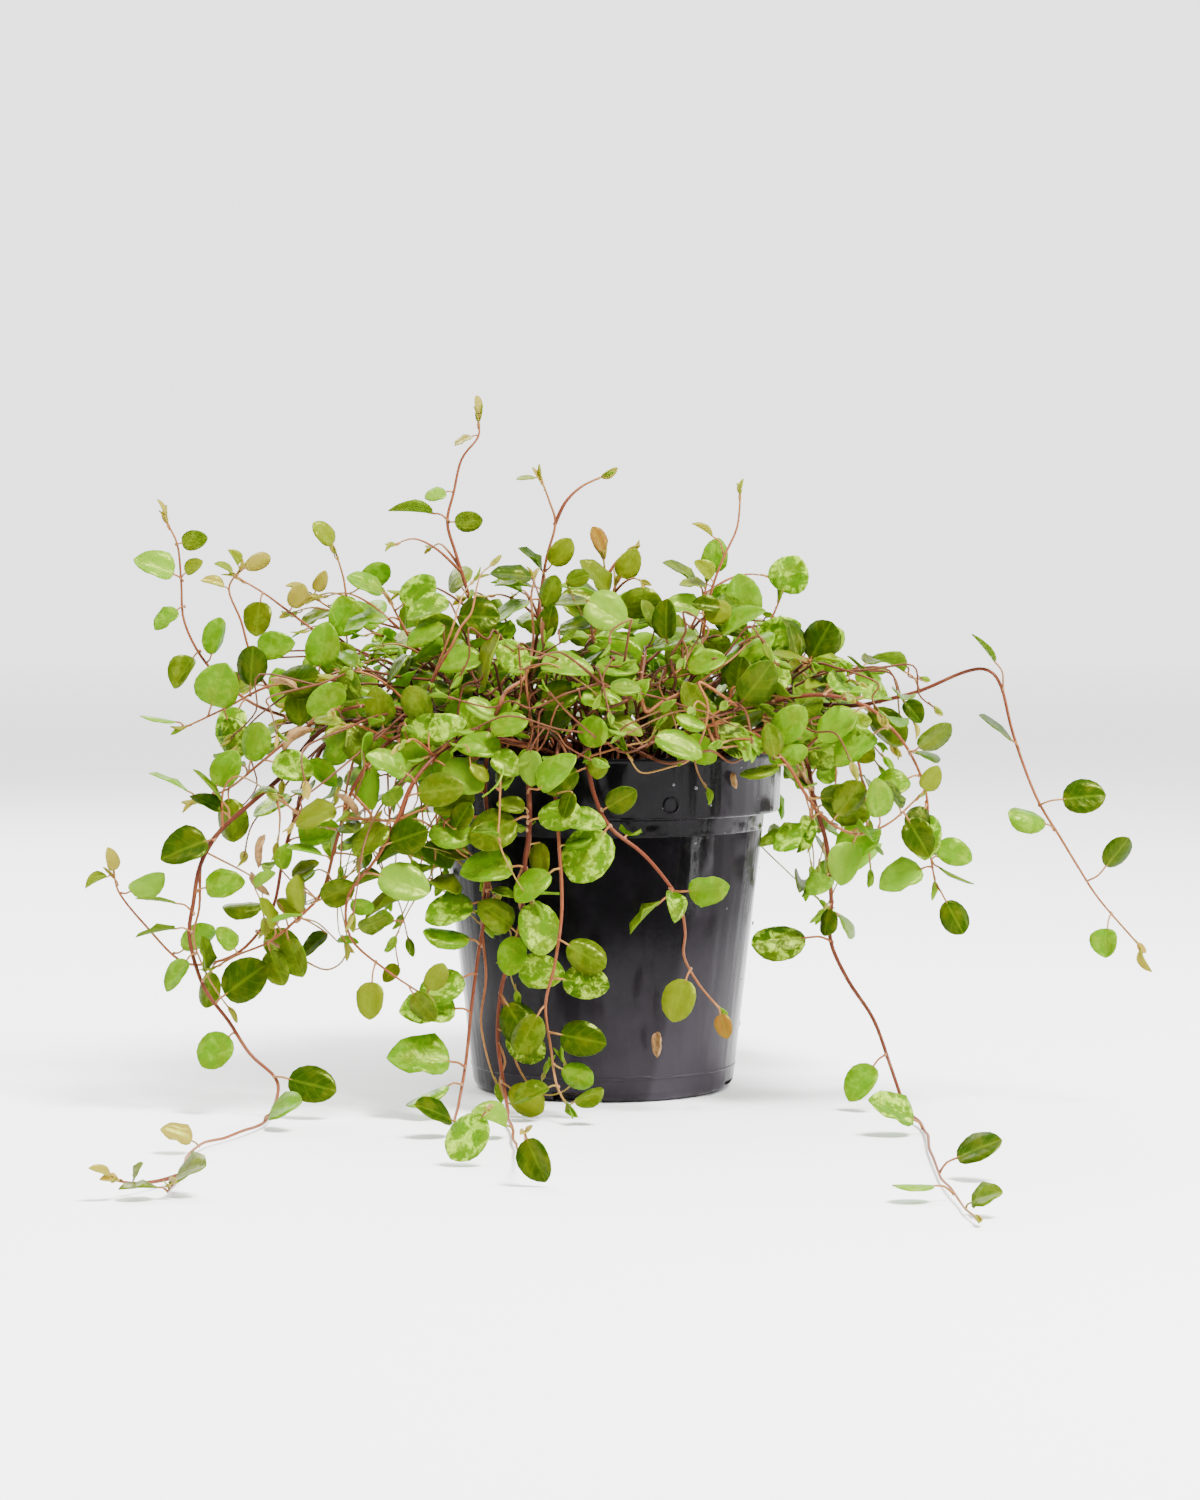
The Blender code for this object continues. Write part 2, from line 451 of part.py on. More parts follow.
def root_places(shoots):
    """Where each shoot stands in the mix, moved apart until their holes stay whole."""
    places = [Vector(each["route"][0]) for each in shoots]
    for _ in range(200):
        moved = False
        for i, place in enumerate(places):
            for other in places[i + 1:]:
                gap = place - other
                if gap.length < ROOT_SPACING:
                    aside = gap.normalized() * (ROOT_SPACING - gap.length) * 0.52
                    place += aside
                    other -= aside
                    moved = True
            if place.length > ROOT_REACH:
                place *= ROOT_REACH / place.length
        if not moved:
            break
    return places


def grow_stems(shoots):
    stems = []
    for each, (x, y) in zip(shoots, root_places(shoots)):
        top = mix_height(x, y)
        points = [Vector((x, y, top - HOLE_DEPTH + HOLE_GAP)), Vector((x, y, top + 3))]
        points += [Vector(p) for p in each["route"][1:]]
        main = Stem(each["name"], points, STEM_RADIUS * each["thick"], TIP_RADIUS)
        # The added point above the mix isn't counted in leaf places.
        main.places = [u - 1 if u > 1 else 0.5 * u - 0.5 for u in main.places]
        main.spec = each
        stems.append(main)
        for side in each["twigs"]:
            start = main.point(side["at"])
            points = [start, *(Vector(p) for p in side["route"])]
            branch = Stem(each["name"], points, STEM_RADIUS * TWIG_SHARE, TIP_RADIUS, main, side["at"])
            branch.spec = side
            stems.append(branch)
    return stems


def outer_radius(z):
    """The pot's outer radius at a height."""
    if z > BAND_BOTTOM:
        return RIM_RADIUS
    return BASE_RADIUS + (BODY_TOP_RADIUS - BASE_RADIUS) * z / BAND_BOTTOM


def pot_push(p, radius):
    """How far, and which way, a point on a stem moves to clear the pot and the surface below it."""
    push = Vector((0, 0, 0))
    across = math.hypot(p.x, p.y)
    outwards = Vector((p.x, p.y, 0)) / max(across, 1e-6)
    room = radius + STEM_CLEARANCE
    rim_middle = RIM_RADIUS - WALL / 2
    from_rim = Vector((across - rim_middle, p.z - POT_HEIGHT))
    if from_rim.length < room + WALL:
        way = from_rim.normalized() if from_rim.length > 1e-6 else Vector((0, 1))
        lack = room + WALL - from_rim.length
        push += outwards * way.x * lack + UP * way.y * lack
    elif p.z < POT_HEIGHT:
        if across > rim_middle - 4 and across < outer_radius(p.z) + room:
            push += outwards * (outer_radius(p.z) + room - across)
        elif across < rim_middle and across > RIM_RADIUS - 2 * WALL - room and p.z > MIX_TOP:
            push -= outwards * (across - (RIM_RADIUS - 2 * WALL - room))
    lowest = radius + FLOOR_CLEARANCE
    if p.z < lowest:
        push += UP * (lowest - p.z)
    return push


def stem_samples(stems):
    samples = []
    for number, stem in enumerate(stems):
        for i in range(len(stem.points) - 1):
            a, b = stem.points[i], stem.points[i + 1]
            count = max(1, math.ceil((b - a).length / STEM_SAMPLE))
            for k in range(count):
                share = k / count
                radius = stem.radii[i] + (stem.radii[i + 1] - stem.radii[i]) * share
                samples.append((a.lerp(b, share), number, i, share, radius))
        samples.append((stem.points[-1].copy(), number, len(stem.points) - 2, 1.0, stem.radii[-1]))
    return samples


def bend_clear(stems):
    """Moves the stems' points, a little at a time, until no two shoots come too close."""
    for _ in range(BEND_SWEEPS):
        samples = stem_samples(stems)
        tree = KDTree(len(samples))
        for number, sample in enumerate(samples):
            tree.insert(sample[0], number)
        tree.balance()
        pushes = {}
        widest = 2 * STEM_RADIUS * 1.2 + STEM_CLEARANCE + STEM_SAMPLE
        for place, owner, i, share, radius in samples:
            wanted = Vector((0, 0, 0))
            for other_place, number, distance in tree.find_range(place, widest):
                _, other, _, _, other_radius = samples[number]
                room = radius + other_radius + STEM_CLEARANCE
                if stems[other].owner == stems[owner].owner or distance >= room:
                    continue
                way = (place - other_place).normalized() if distance > 1e-4 else UP
                wanted += way * (room - distance) * 0.6
            wanted += pot_push(place, radius)
            if wanted.length > 0:
                for index, weight in ((i, 1 - share), (i + 1, share)):
                    total, most = pushes.get((owner, index), (Vector((0, 0, 0)), 0.0))
                    pushes[owner, index] = (total + wanted * weight, most + weight)
        if not pushes:
            break
        for (owner, index), (total, most) in pushes.items():
            if not stems[owner].is_fixed(index):
                stems[owner].points[index] += total / max(most, 0.5)
        for stem in stems:
            if stem.parent is not None:
                stem.points[0] = stem.parent.point(stem.at)
    return stems


# Leaves: a strip of blade on a short stalk, turned until it clears every other shoot.
class Leaf:
    """A leaf's root on its stem, its directions, and its size, in millimetres."""

    def __init__(self, owner, root, way, face, length, stalk, ratio, curl):
        self.owner = owner
        self.root = root
        self.way = way.normalized()
        self.across = face.cross(self.way).normalized()
        self.face = self.way.cross(self.across)
        self.length = length
        self.stalk = max(2.0, stalk * length)
        self.is_stalked = stalk > LONG_STALK
        self.ratio = ratio
        self.curl = curl

    def blade_base(self):
        return self.root + (self.way + 0.35 * self.face).normalized() * self.stalk

    def spine(self, share):
        """A point on the blade's middle line: it bends gently back towards its tip."""
        drop = self.curl * self.length * share * share
        return self.blade_base() + self.way * self.length * share - self.face * drop


def blade_sections(item):
    """(middle point, half width) from the stalk's end to the blade's last pair, then the tip."""
    outline = LARGE_OUTLINE if item.length > LARGE_LEAF else PLAIN_OUTLINE
    sections = []
    if item.is_stalked:
        sections.append((item.blade_base(), STALK_HALF_WIDTH * 1.3))
    elif item.length > SMALL_LEAF:
        sections.append((item.root.lerp(item.blade_base(), 0.5), STALK_HALF_WIDTH * 1.3))
    sections += [(item.spine(share), half * item.ratio * item.length) for share, half in outline]
    return sections, item.spine(1.0)


def strip_shape(item, grown=0.0):
    """The leaf's open surface: a point in the stem, quads between the section pairs, and the tip."""
    sections, tip = blade_sections(item)
    points = [item.root - item.way * ROOT_DEPTH]
    for middle, half in sections:
        points += [middle - item.across * (half + grown), middle + item.across * (half + grown)]
    points.append(tip + item.way * grown)
    last = len(points) - 1
    faces = [(0, 1, 2)]
    faces += [(i, i + 2, i + 3, i + 1) for i in range(1, last - 2, 2)]
    faces.append((last - 2, last, last - 1))
    return points, faces


def leaf_body(item, grown, blade_only=False):
    """A closed shape round the leaf, or round its blade, for testing what it touches."""
    points, faces = strip_shape(item, grown)
    if blade_only:
        skipped = 2 if item.is_stalked or item.length > SMALL_LEAF else 0
        points = [item.spine(0.1), *points[1 + skipped:]]
        faces = faces[:len(faces) - skipped // 2 - 1]
        last = len(points) - 1
        faces[-1] = (last - 2, last, last - 1)
    count = len(points)
    rise = item.face * (BLADE_THICKNESS / 2 + grown)
    edge = [0, *range(1, count - 1, 2), count - 1, *range(count - 2, 0, -2)]
    sides = [(a, b, b + count, a + count) for a, b in zip(edge, [*edge[1:], edge[0]])]
    both = [p + rise for p in points] + [p - rise for p in points]
    return both, faces + [tuple(i + count for i in f) for f in faces] + sides


def tube_body(stem, grown, sides=4):
    """A plain prism round a stem, for testing what it touches."""
    points = []
    faces = []
    count = len(stem.points)
    for i, middle in enumerate(stem.points):
        ahead = stem.points[min(i + 1, count - 1)] - stem.points[max(i - 1, 0)]
        side = ahead.cross(UP if abs(ahead.normalized().z) < 0.9 else Vector((1, 0, 0))).normalized()
        other = ahead.cross(side).normalized()
        reach = (stem.radii[i] + grown) * math.sqrt(2)
        for k in range(sides):
            angle = 2 * math.pi * k / sides
            points.append(middle + side * math.cos(angle) * reach + other * math.sin(angle) * reach)
    for i in range(count - 1):
        for k in range(sides):
            a, b = i * sides + k, i * sides + (k + 1) % sides
            faces.append((a, b, b + sides, a + sides))
    return points, faces


def pot_body():
    """The pot's outer and inner walls and the mix's top, for testing what touches them."""
    rings = [(BASE_RADIUS + 0.4, -1), (BODY_TOP_RADIUS + 0.4, BAND_BOTTOM - 0.4),
             (RIM_RADIUS + 0.4, BAND_BOTTOM - 0.4), (RIM_RADIUS + 0.4, POT_HEIGHT + 0.4),
             (RIM_RADIUS - WALL - 0.6, POT_HEIGHT + 0.4), (RIM_RADIUS - WALL - 1.6, MIX_TOP + 0.6),
             (0, MIX_TOP + MIX_CROWN + 0.8)]
    points = []
    faces = []
    for radius, height in rings:
        points += [Vector(on_ring(radius, 360 * k / POT_SIDES, height)) for k in range(POT_SIDES)]
    for i in range(len(rings) - 1):
        for k in range(POT_SIDES):
            a, b = i * POT_SIDES + k, i * POT_SIDES + (k + 1) % POT_SIDES
            faces.append((a, b, b + POT_SIDES, a + POT_SIDES))
    return points, faces


class Body:
    """A closed shape with its box and search tree. A leaf's has its blade's tree too."""

    def __init__(self, owner, shape, blade=None):
        points, faces = shape
        self.owner = owner
        self.low = Vector(min(p[k] for p in points) for k in range(3))
        self.high = Vector(max(p[k] for p in points) for k in range(3))
        self.tree = BVHTree.FromPolygons(points, faces)
        self.blade = BVHTree.FromPolygons(*blade) if blade else None

    def is_apart(self, other):
        return any(self.low[k] > other.high[k] or self.high[k] < other.low[k] for k in range(3))

    def meets(self, other):
        """Whole shapes on two shoots may not meet. On one shoot, stalks may, but no blade."""
        if self.is_apart(other):
            return False
        if other.owner != self.owner:
            return bool(self.tree.overlap(other.tree))
        if self.blade.overlap(other.tree):
            return True
        return other.blade is not None and bool(self.tree.overlap(other.blade))


def picture_way(heading, lean):
    """The direction that the viewer sees at this heading, tipped this far towards the viewer."""
    turned, tipped = math.radians(heading), math.radians(lean)
    return Vector((math.cos(turned) * math.cos(tipped), -math.sin(tipped),
                   math.sin(turned) * math.cos(tipped)))


def placed_leaf(stem, spec, nudge, draw):
    """The leaf that a picture entry asks for, turned aside by this nudge."""
    root = stem.point(spec["at"])
    turn, heading, size = nudge
    if root.z < SURFACE_LEAF_HEIGHT:
        flat = math.radians(spec["heading"] + heading)
        tipped = math.radians(spec["lean"])
        lies_flat = spec["turn"] > 60
        rise = 0.1 if lies_flat else LOW_RISE
        way = Vector((math.cos(flat) * math.cos(tipped), -math.sin(tipped), rise + abs(turn) / 200))
        face = UP.copy() if lies_flat else LOW_FACE.copy()
    else:
        way = picture_way(spec["heading"] + heading, spec["lean"])
        face = Matrix.Rotation(math.radians(spec["turn"] + turn), 3, way) @ VIEWER
    curl = draw.uniform(0.04, 0.16)
    length = spec["length"] * BLADE_SHARE * size
    return Leaf(stem.owner, root, way, face, length, spec["stalk"], spec["ratio"], curl)


def ruled_leaf(stem, at, side, draw, nudge):
    """A leaf of the plain rule: it stands off to one side of its stem and faces up and outwards."""
    root = stem.point(at)
    along = stem.direction(at)
    outwards = Vector((root.x, root.y, 0)).normalized()
    sideways = along.cross(UP if abs(along.z) < 0.85 else outwards).normalized()
    turn, heading, size = nudge
    way = sideways * side + along * draw.uniform(0.2, 0.7) + UP * draw.uniform(-0.1, 0.45)
    way = Matrix.Rotation(math.radians(2.2 * heading), 3, along) @ way
    face = UP * draw.uniform(0.4, 1.0) + outwards * draw.uniform(0.3, 1.0)
    face += sideways * draw.uniform(-0.35, 0.35)
    if root.z < SURFACE_LEAF_HEIGHT:
        way.z, face = max(0.08, 0.2 * way.z), UP.copy()
    face = Matrix.Rotation(math.radians(turn), 3, way.normalized()) @ face
    young = 1 - 0.35 * max(0.0, (at - stem.places[-1] + 1.5) / 1.5)
    length = LEAF_LENGTH * draw.uniform(0.78, 1.12) * young * size
    return Leaf(stem.owner, root, way, face, length, draw.uniform(0.14, 0.3),
                draw.uniform(0.68, 0.88), draw.uniform(0.04, 0.18))


NUDGES = [(0, 0, 1), (22, 0, 1), (-22, 0, 1), (0, 16, 1), (0, -16, 1), (25, 25, 0.95),
          (-25, -25, 0.95), (45, 10, 0.9), (-45, -10, 0.9), (20, 45, 0.9), (-20, -45, 0.9),
          (60, 30, 0.8), (-60, -30, 0.8), (10, 75, 0.8), (-10, -75, 0.8), (0, 110, 0.75),
          (0, -110, 0.75)]


def grow_leaves(stems):
    """All leaves, those seen in the picture first. One that can't stand clear is left out."""
    bodies = [Body("pot", pot_body())]
    bodies += [Body(stem.owner, tube_body(stem, LEAF_CLEARANCE)) for stem in stems]
    leaves = []

    def settle(make):
        for nudge in NUDGES:
            item = make(nudge)
            body = Body(item.owner, leaf_body(item, LEAF_CLEARANCE),
                        leaf_body(item, LEAF_CLEARANCE, blade_only=True))
            if body.low.z < FLOOR_CLEARANCE - LEAF_CLEARANCE:
                continue
            if not any(body.meets(other) for other in bodies):
                bodies.append(body)
                leaves.append(item)
                return True
        return False

    for number, stem in enumerate(stems):
        for k, spec in enumerate(stem.spec["leaves"]):
            settle(lambda nudge: placed_leaf(stem, spec, nudge, random.Random(SEED + 50 * number + k)))
    for number, stem in enumerate(stems):
        if stem.spec["leafy"] is None:
            continue
        first, last = stem.spec["leafy"]
        length = sum((stem.point(first + (last - first) * (k + 1) / 20)
                      - stem.point(first + (last - first) * k / 20)).length for k in range(20))
        count = max(1, round(length / LEAF_SPACING))
        for k in range(count):
            at = first + (last - first) * (k + 0.5) / count
            side = 1 if k % 2 else -1
            seed = SEED + 1000 + 50 * number + k
            settle(lambda nudge: ruled_leaf(stem, at, side, random.Random(seed), nudge))
    return leaves


# Solids.
def new_material(name, colour, roughness, metallic=0.0):
    material = bpy.data.materials.new(name)
    material.use_nodes = True
    shader = material.node_tree.nodes["Principled BSDF"]
    shader.inputs["Base Color"].default_value = (*colour, 1)
    shader.inputs["Roughness"].default_value = roughness
    shader.inputs["Metallic"].default_value = metallic
    return material


def new_mesh_object(name, points, faces, collection):
    mesh = bpy.data.meshes.new(name)
    mesh.from_pydata([tuple(p * MM) for p in points], [], faces)
    made = bpy.data.objects.new(name, mesh)
    collection.objects.link(made)
    return made


def turned(name, profile, sides, collection):
    """A solid of revolution from (radius, height) points, from the inner middle round to the outer."""
    points = [Vector((radius, 0, height)) for radius, height in profile]
    edges = [(i, i + 1) for i in range(len(points) - 1)]
    made = new_mesh_object(name, points, [], collection)
    made.data.clear_geometry()
    made.data.from_pydata([tuple(p * MM) for p in points], edges, [])
    screw = made.modifiers.new("Turn", "SCREW")
    screw.axis = "Z"
    screw.steps = screw.render_steps = sides
    screw.use_merge_vertices = True
    screw.merge_threshold = 0.00001
    return made


def evaluated_copy(source, name, collection):
    """A plain mesh of an object, as its modifiers or its curve make it."""
    bpy.context.view_layer.update()
    graph = bpy.context.evaluated_depsgraph_get()
    mesh = bpy.data.meshes.new_from_object(source.evaluated_get(graph))
    made = bpy.data.objects.new(name, mesh)
    made.matrix_world = source.matrix_world.copy()
    collection.objects.link(made)
    return made


def stem_profile(collection):
    """The stems' cross-section, a small triangle that each stem's line carries along."""
    curve = bpy.data.curves.new("stem_profile", "CURVE")
    curve.dimensions = "2D"
    outline = curve.splines.new("POLY")
    outline.points.add(2)
    for k in range(3):
        x, y, _ = on_ring(MM * 1.15, 90 + 120 * k, 0)
        outline.points[k].co = (x, y, 0, 1)
    outline.use_cyclic_u = True
    made = bpy.data.objects.new("stem_profile", curve)
    made.hide_render = True
    made.display_type = "WIRE"
    collection.objects.link(made)
    return made


def stem_solid(name, stem, profile, collection, helpers):
    curve = bpy.data.curves.new(name + "_line", "CURVE")
    curve.dimensions = "3D"
    curve.bevel_mode = "OBJECT"
    curve.bevel_object = profile
    curve.use_fill_caps = True
    line = curve.splines.new("POLY")
    line.points.add(len(stem.points) - 1)
    for place, point, radius in zip(line.points, stem.points, stem.radii):
        place.co = (*(point * MM), 1)
        place.radius = radius
    guide = bpy.data.objects.new(name + "_line", curve)
    helpers.objects.link(guide)
    made = evaluated_copy(guide, name, collection)
    bpy.data.objects.remove(guide)
    work = bmesh.new()
    work.from_mesh(made.data)
    bmesh.ops.remove_doubles(work, verts=work.verts, dist=1e-6)
    bmesh.ops.recalc_face_normals(work, faces=work.faces)
    work.to_mesh(made.data)
    work.free()
    return made


def leaf_solid(name, item, collection):
    """A leaf as thick as its blade. A short stalk comes to one point inside the stem."""
    made = new_mesh_object(name, *strip_shape(item), collection)
    shell = made.modifiers.new("Thickness", "SOLIDIFY")
    shell.thickness = BLADE_THICKNESS * MM
    shell.offset = 0
    if not item.is_stalked:
        made.vertex_groups.new(name="root").add([0], 1, "REPLACE")
        point = made.modifiers.new("Pointed root", "WELD")
        point.vertex_group = "root"
        point.merge_threshold = 1.5 * BLADE_THICKNESS * MM
    return made


def join_shoot(name, stems, leaves, profile, material, collection, helpers):
    """One solid of a shoot: its stem with its twigs and leaves sunk into it."""
    parts = bpy.data.collections.new(name + "_parts")
    bpy.context.scene.collection.children.link(parts)
    main = stem_solid(name + "_stem", stems[0], profile, helpers, helpers)
    for k, stem in enumerate(stems[1:]):
        stem_solid(f"{name}_twig{k}", stem, profile, parts, helpers)
    for k, item in enumerate(leaves):
        leaf_solid(f"{name}_leaf{k}", item, parts)
    if parts.objects:
        union = main.modifiers.new("Join", "BOOLEAN")
        union.operation = "UNION"
        union.operand_type = "COLLECTION"
        union.collection = parts
        union.solver = "MANIFOLD"
        flat = main.modifiers.new("Flat faces whole", "DECIMATE")
        flat.decimate_type = "DISSOLVE"
        flat.angle_limit = math.radians(FLAT_ANGLE)
    joined = evaluated_copy(main, name, collection)
    joined.data.materials.clear()
    joined.data.materials.append(material)
    for each in [main, *parts.objects]:
        bpy.data.objects.remove(each)
    bpy.data.collections.remove(parts)
    return joined


def pot_profile():
    """From the middle of the floor's upper face, up inside, over the rim and down outside."""
    inner_top = BODY_TOP_RADIUS - WALL
    inner_base = BASE_RADIUS - WALL
    return [(0, WALL), (inner_base - 2.3, WALL), (inner_base, WALL + 2.6),
            (inner_top, BAND_BOTTOM - 0.4), (RIM_RADIUS - 2.4, BAND_BOTTOM + 1.0),
            (RIM_RADIUS - WALL - 0.2, POT_HEIGHT - 0.8), (RIM_RADIUS - WALL, POT_HEIGHT),
            (RIM_RADIUS, POT_HEIGHT), (RIM_RADIUS, POT_HEIGHT - 1.6),
            (RIM_RADIUS - 0.9, BAND_BOTTOM + 0.8), (RIM_RADIUS - 1.6, BAND_BOTTOM),
            (BODY_TOP_RADIUS, BAND_BOTTOM - 0.3), (BASE_RADIUS, 3.4), (BASE_RADIUS - 1.0, 1.0), (BASE_RADIUS - 2.8, 0), (0, 0)]


def make_pot(collection, helpers):
    pot = turned("pot", pot_profile(), POT_SIDES, collection)
    pot.data.materials.append(new_material("black_plastic", (0.012, 0.012, 0.014), 0.22))
    slots = bpy.data.collections.new("drain_slots")
    helpers.children.link(slots)
    for k in range(SLOT_COUNT):
        bpy.ops.mesh.primitive_cube_add(size=MM)
        cutter = bpy.context.object
        cutter.name = f"drain_slot_{k + 1}"
        angle = math.radians(SLOT_FIRST_ANGLE + 360 * k / SLOT_COUNT)
        reach = BASE_RADIUS - 1.0
        cutter.location = (reach * math.cos(angle) * MM, reach * math.sin(angle) * MM,
                           (SLOT_HEIGHT / 2 - 1) * MM)
        cutter.rotation_euler.z = angle
        cutter.scale = (10, SLOT_WIDTH, SLOT_HEIGHT + 2)
        cutter.hide_render = True
        cutter.display_type = "WIRE"
        for owner in cutter.users_collection:
            owner.objects.unlink(cutter)
        slots.objects.link(cutter)
    cut = pot.modifiers.new("Drain slots", "BOOLEAN")
    cut.operation = "DIFFERENCE"
    cut.operand_type = "COLLECTION"
    cut.collection = slots
    return pot


def make_mix(stems, collection, helpers):
    """The potting mix, with a plain hole for each rooted stem."""
    inner_base = BASE_RADIUS - WALL - MIX_GAP
    inner_top = BODY_TOP_RADIUS - WALL - MIX_GAP
    edge = RIM_RADIUS - 2.4 - MIX_GAP
    profile = [(0, MIX_TOP + MIX_CROWN), (36, MIX_TOP + MIX_CROWN * 0.5), (edge, MIX_TOP - 1.4), (edge - 0.3, BAND_BOTTOM + 1.6), (inner_top - 0.4, BAND_BOTTOM - 0.2),
               (inner_base - 0.2, WALL + 2.9), (inner_base - 2.5, WALL + MIX_GAP),
               (0, WALL + MIX_GAP)]
    mix = turned("potting_mix", profile, MIX_SIDES, collection)
    mix.data.materials.append(new_material("dark_mix", (0.03, 0.018, 0.01), 0.95))
    holes = bpy.data.collections.new("stem_holes")
    helpers.children.link(holes)
    for k, stem in enumerate(s for s in stems if s.parent is None):
        root = stem.points[0]
        depth = HOLE_DEPTH + 6
        radius = (stem.radii[0] * 1.15 + HOLE_GAP) / math.cos(math.pi / HOLE_SIDES)
        bpy.ops.mesh.primitive_cylinder_add(
            vertices=HOLE_SIDES, radius=radius * MM, depth=depth * MM,
            location=(root.x * MM, root.y * MM, (root.z - HOLE_GAP + depth / 2) * MM))
        cutter = bpy.context.object
        cutter.name = f"stem_hole_{k + 1:02d}"
        cutter.hide_render = True
        cutter.display_type = "WIRE"
        for owner in cutter.users_collection:
            owner.objects.unlink(cutter)
        holes.objects.link(cutter)
    cut = mix.modifiers.new("Stem holes", "BOOLEAN")
    cut.operation = "DIFFERENCE"
    cut.operand_type = "COLLECTION"
    cut.collection = holes
    return mix


def main():
    for each in list(bpy.data.objects):
        bpy.data.objects.remove(each)
    plant = bpy.data.collections.new("potted_wire_vine")
    helpers = bpy.data.collections.new("guides")
    bpy.context.scene.collection.children.link(plant)
    bpy.context.scene.collection.children.link(helpers)
    shoots = UPRIGHT_SHOOTS + TRAILING_SHOOTS + LOW_SHOOTS
    shoots += [dome_shoot(k) for k in range(DOME_SHOOTS)]
    shoots += [back_shoot(k) for k in range(BACK_SHOOTS)]
    stems = bend_clear(grow_stems(shoots))
    leaves = grow_leaves(stems)
    profile = stem_profile(helpers)
    green = new_material("leaf_green", (0.16, 0.32, 0.045), 0.45)
    for each in shoots:
        own_stems = [s for s in stems if s.owner == each["name"]]
        own_leaves = [item for item in leaves if item.owner == each["name"]]
        join_shoot(each["name"], own_stems, own_leaves, profile, green, plant, helpers)
    make_pot(plant, helpers)
    make_mix(stems, plant, helpers)
    print("shoots", len(shoots), "leaves", len(leaves))


main()
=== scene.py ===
"""Dresses the potted wire vine for its picture: fine leaves and stems, a glossy pot, and the mix.

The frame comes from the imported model, in metres, with +Z up and the viewer on the -Y side. The shoots
grow by the same routes and rules as in the part's source, so each fine shoot keeps its solid's form.
"""

import json
import math
import random

import bmesh
import bpy
from mathutils import Matrix, Vector
from mathutils.bvhtree import BVHTree
from mathutils.kdtree import KDTree

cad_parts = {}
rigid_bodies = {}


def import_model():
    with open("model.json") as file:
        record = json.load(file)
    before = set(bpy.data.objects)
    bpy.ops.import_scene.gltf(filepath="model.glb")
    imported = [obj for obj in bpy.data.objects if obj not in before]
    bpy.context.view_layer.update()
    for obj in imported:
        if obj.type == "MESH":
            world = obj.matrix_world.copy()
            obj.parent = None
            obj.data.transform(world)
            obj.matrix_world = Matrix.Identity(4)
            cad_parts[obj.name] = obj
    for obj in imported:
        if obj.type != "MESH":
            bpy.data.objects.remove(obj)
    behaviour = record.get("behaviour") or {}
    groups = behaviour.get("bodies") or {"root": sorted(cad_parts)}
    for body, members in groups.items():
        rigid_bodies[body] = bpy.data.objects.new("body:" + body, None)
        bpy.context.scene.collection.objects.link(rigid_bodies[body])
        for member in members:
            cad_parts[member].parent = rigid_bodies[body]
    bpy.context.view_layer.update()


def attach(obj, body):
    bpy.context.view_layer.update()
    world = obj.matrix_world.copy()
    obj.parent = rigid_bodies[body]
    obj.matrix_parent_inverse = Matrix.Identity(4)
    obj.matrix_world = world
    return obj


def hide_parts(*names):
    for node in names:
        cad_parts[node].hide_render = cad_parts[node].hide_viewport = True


MM = 0.001
SEED = 41
# Where each kind of thing starts its series of random draws.
DOME_DRAWS, SHOWN_DRAWS, BACK_DRAWS, RULED_DRAWS, TWIG_DRAWS = 0, 0, 100, 1000, 7000
RUNNER_DRAWS, RIM_DRAWS, DEEP_DRAWS, DRAPE_DRAWS = 8000, 8200, 8300, 8400
SPRIG_DRAWS, WIRE_DRAWS, TIP_DRAWS, LOOK_DRAWS = 8500, 8600, 9000, 60000
TWIG_LEAF_DRAWS, RUNNER_LEAF_DRAWS, FILL_LEAF_DRAWS = 20000, 30000, 40000

# Pot, in millimetres.
POT_HEIGHT = 104.0
RIM_RADIUS = 55.2
BAND_BOTTOM = 85.5
BODY_TOP_RADIUS = 49.7
BASE_RADIUS = 40.3
WALL = 1.4
POT_SIDES = 32
SLOT_WIDTH = 15.0
SLOT_HEIGHT = 3.2
SLOT_FIRST_ANGLE = -101.5
SLOT_COUNT = 4

# Potting mix.
MIX_TOP = 97.0
MIX_CROWN = 1.5
HOLE_DEPTH = 8.0
ROOT_SPACING = 5.0
ROOT_REACH = 46.0
HOLE_GAP = 0.35

# Stems.
STEM_STEP = 14.0
STEM_RADIUS = 0.8
TIP_RADIUS = 0.5
TWIG_SHARE = 0.8
STEM_CLEARANCE = 1.1
BEND_SWEEPS = 60
STEM_SAMPLE = 1.6
FLOOR_CLEARANCE = 0.5

# Leaves.
BLADE_THICKNESS = 0.7
STALK_HALF_WIDTH = 0.4
ROOT_DEPTH = 0.3
LEAF_SPACING = 15.0
LEAF_LENGTH = 13.0
BLADE_SHARE = 0.92
LEAF_CLEARANCE = 0.35
SURFACE_LEAF_HEIGHT = 9.0
LARGE_OUTLINE = ((0.24, 0.43), (0.58, 0.50), (0.87, 0.29))
PLAIN_OUTLINE = ((0.32, 0.48), (0.76, 0.40))
LARGE_LEAF = 17.5
SMALL_LEAF = 13.5
LONG_STALK = 0.35

UP = Vector((0, 0, 1))
VIEWER = Vector((0, -0.85, 0.53))
LOW_FACE = Vector((0, -0.6, 0.8))
LOW_RISE = 0.5


def leaf(at, heading, length, turn=0, lean=12, stalk=0.28, ratio=0.76):
    """A leaf where the picture shows one. at counts the route's points from its root.

    heading is its direction as the viewer sees it, 0 to the right and 90 up, and lean tips it towards
    the viewer, in degrees. turn rolls its face away from the viewer. stalk is a share of its length.
    """
    return {"at": at, "heading": heading, "length": length, "turn": turn, "lean": lean,
            "stalk": stalk, "ratio": ratio}


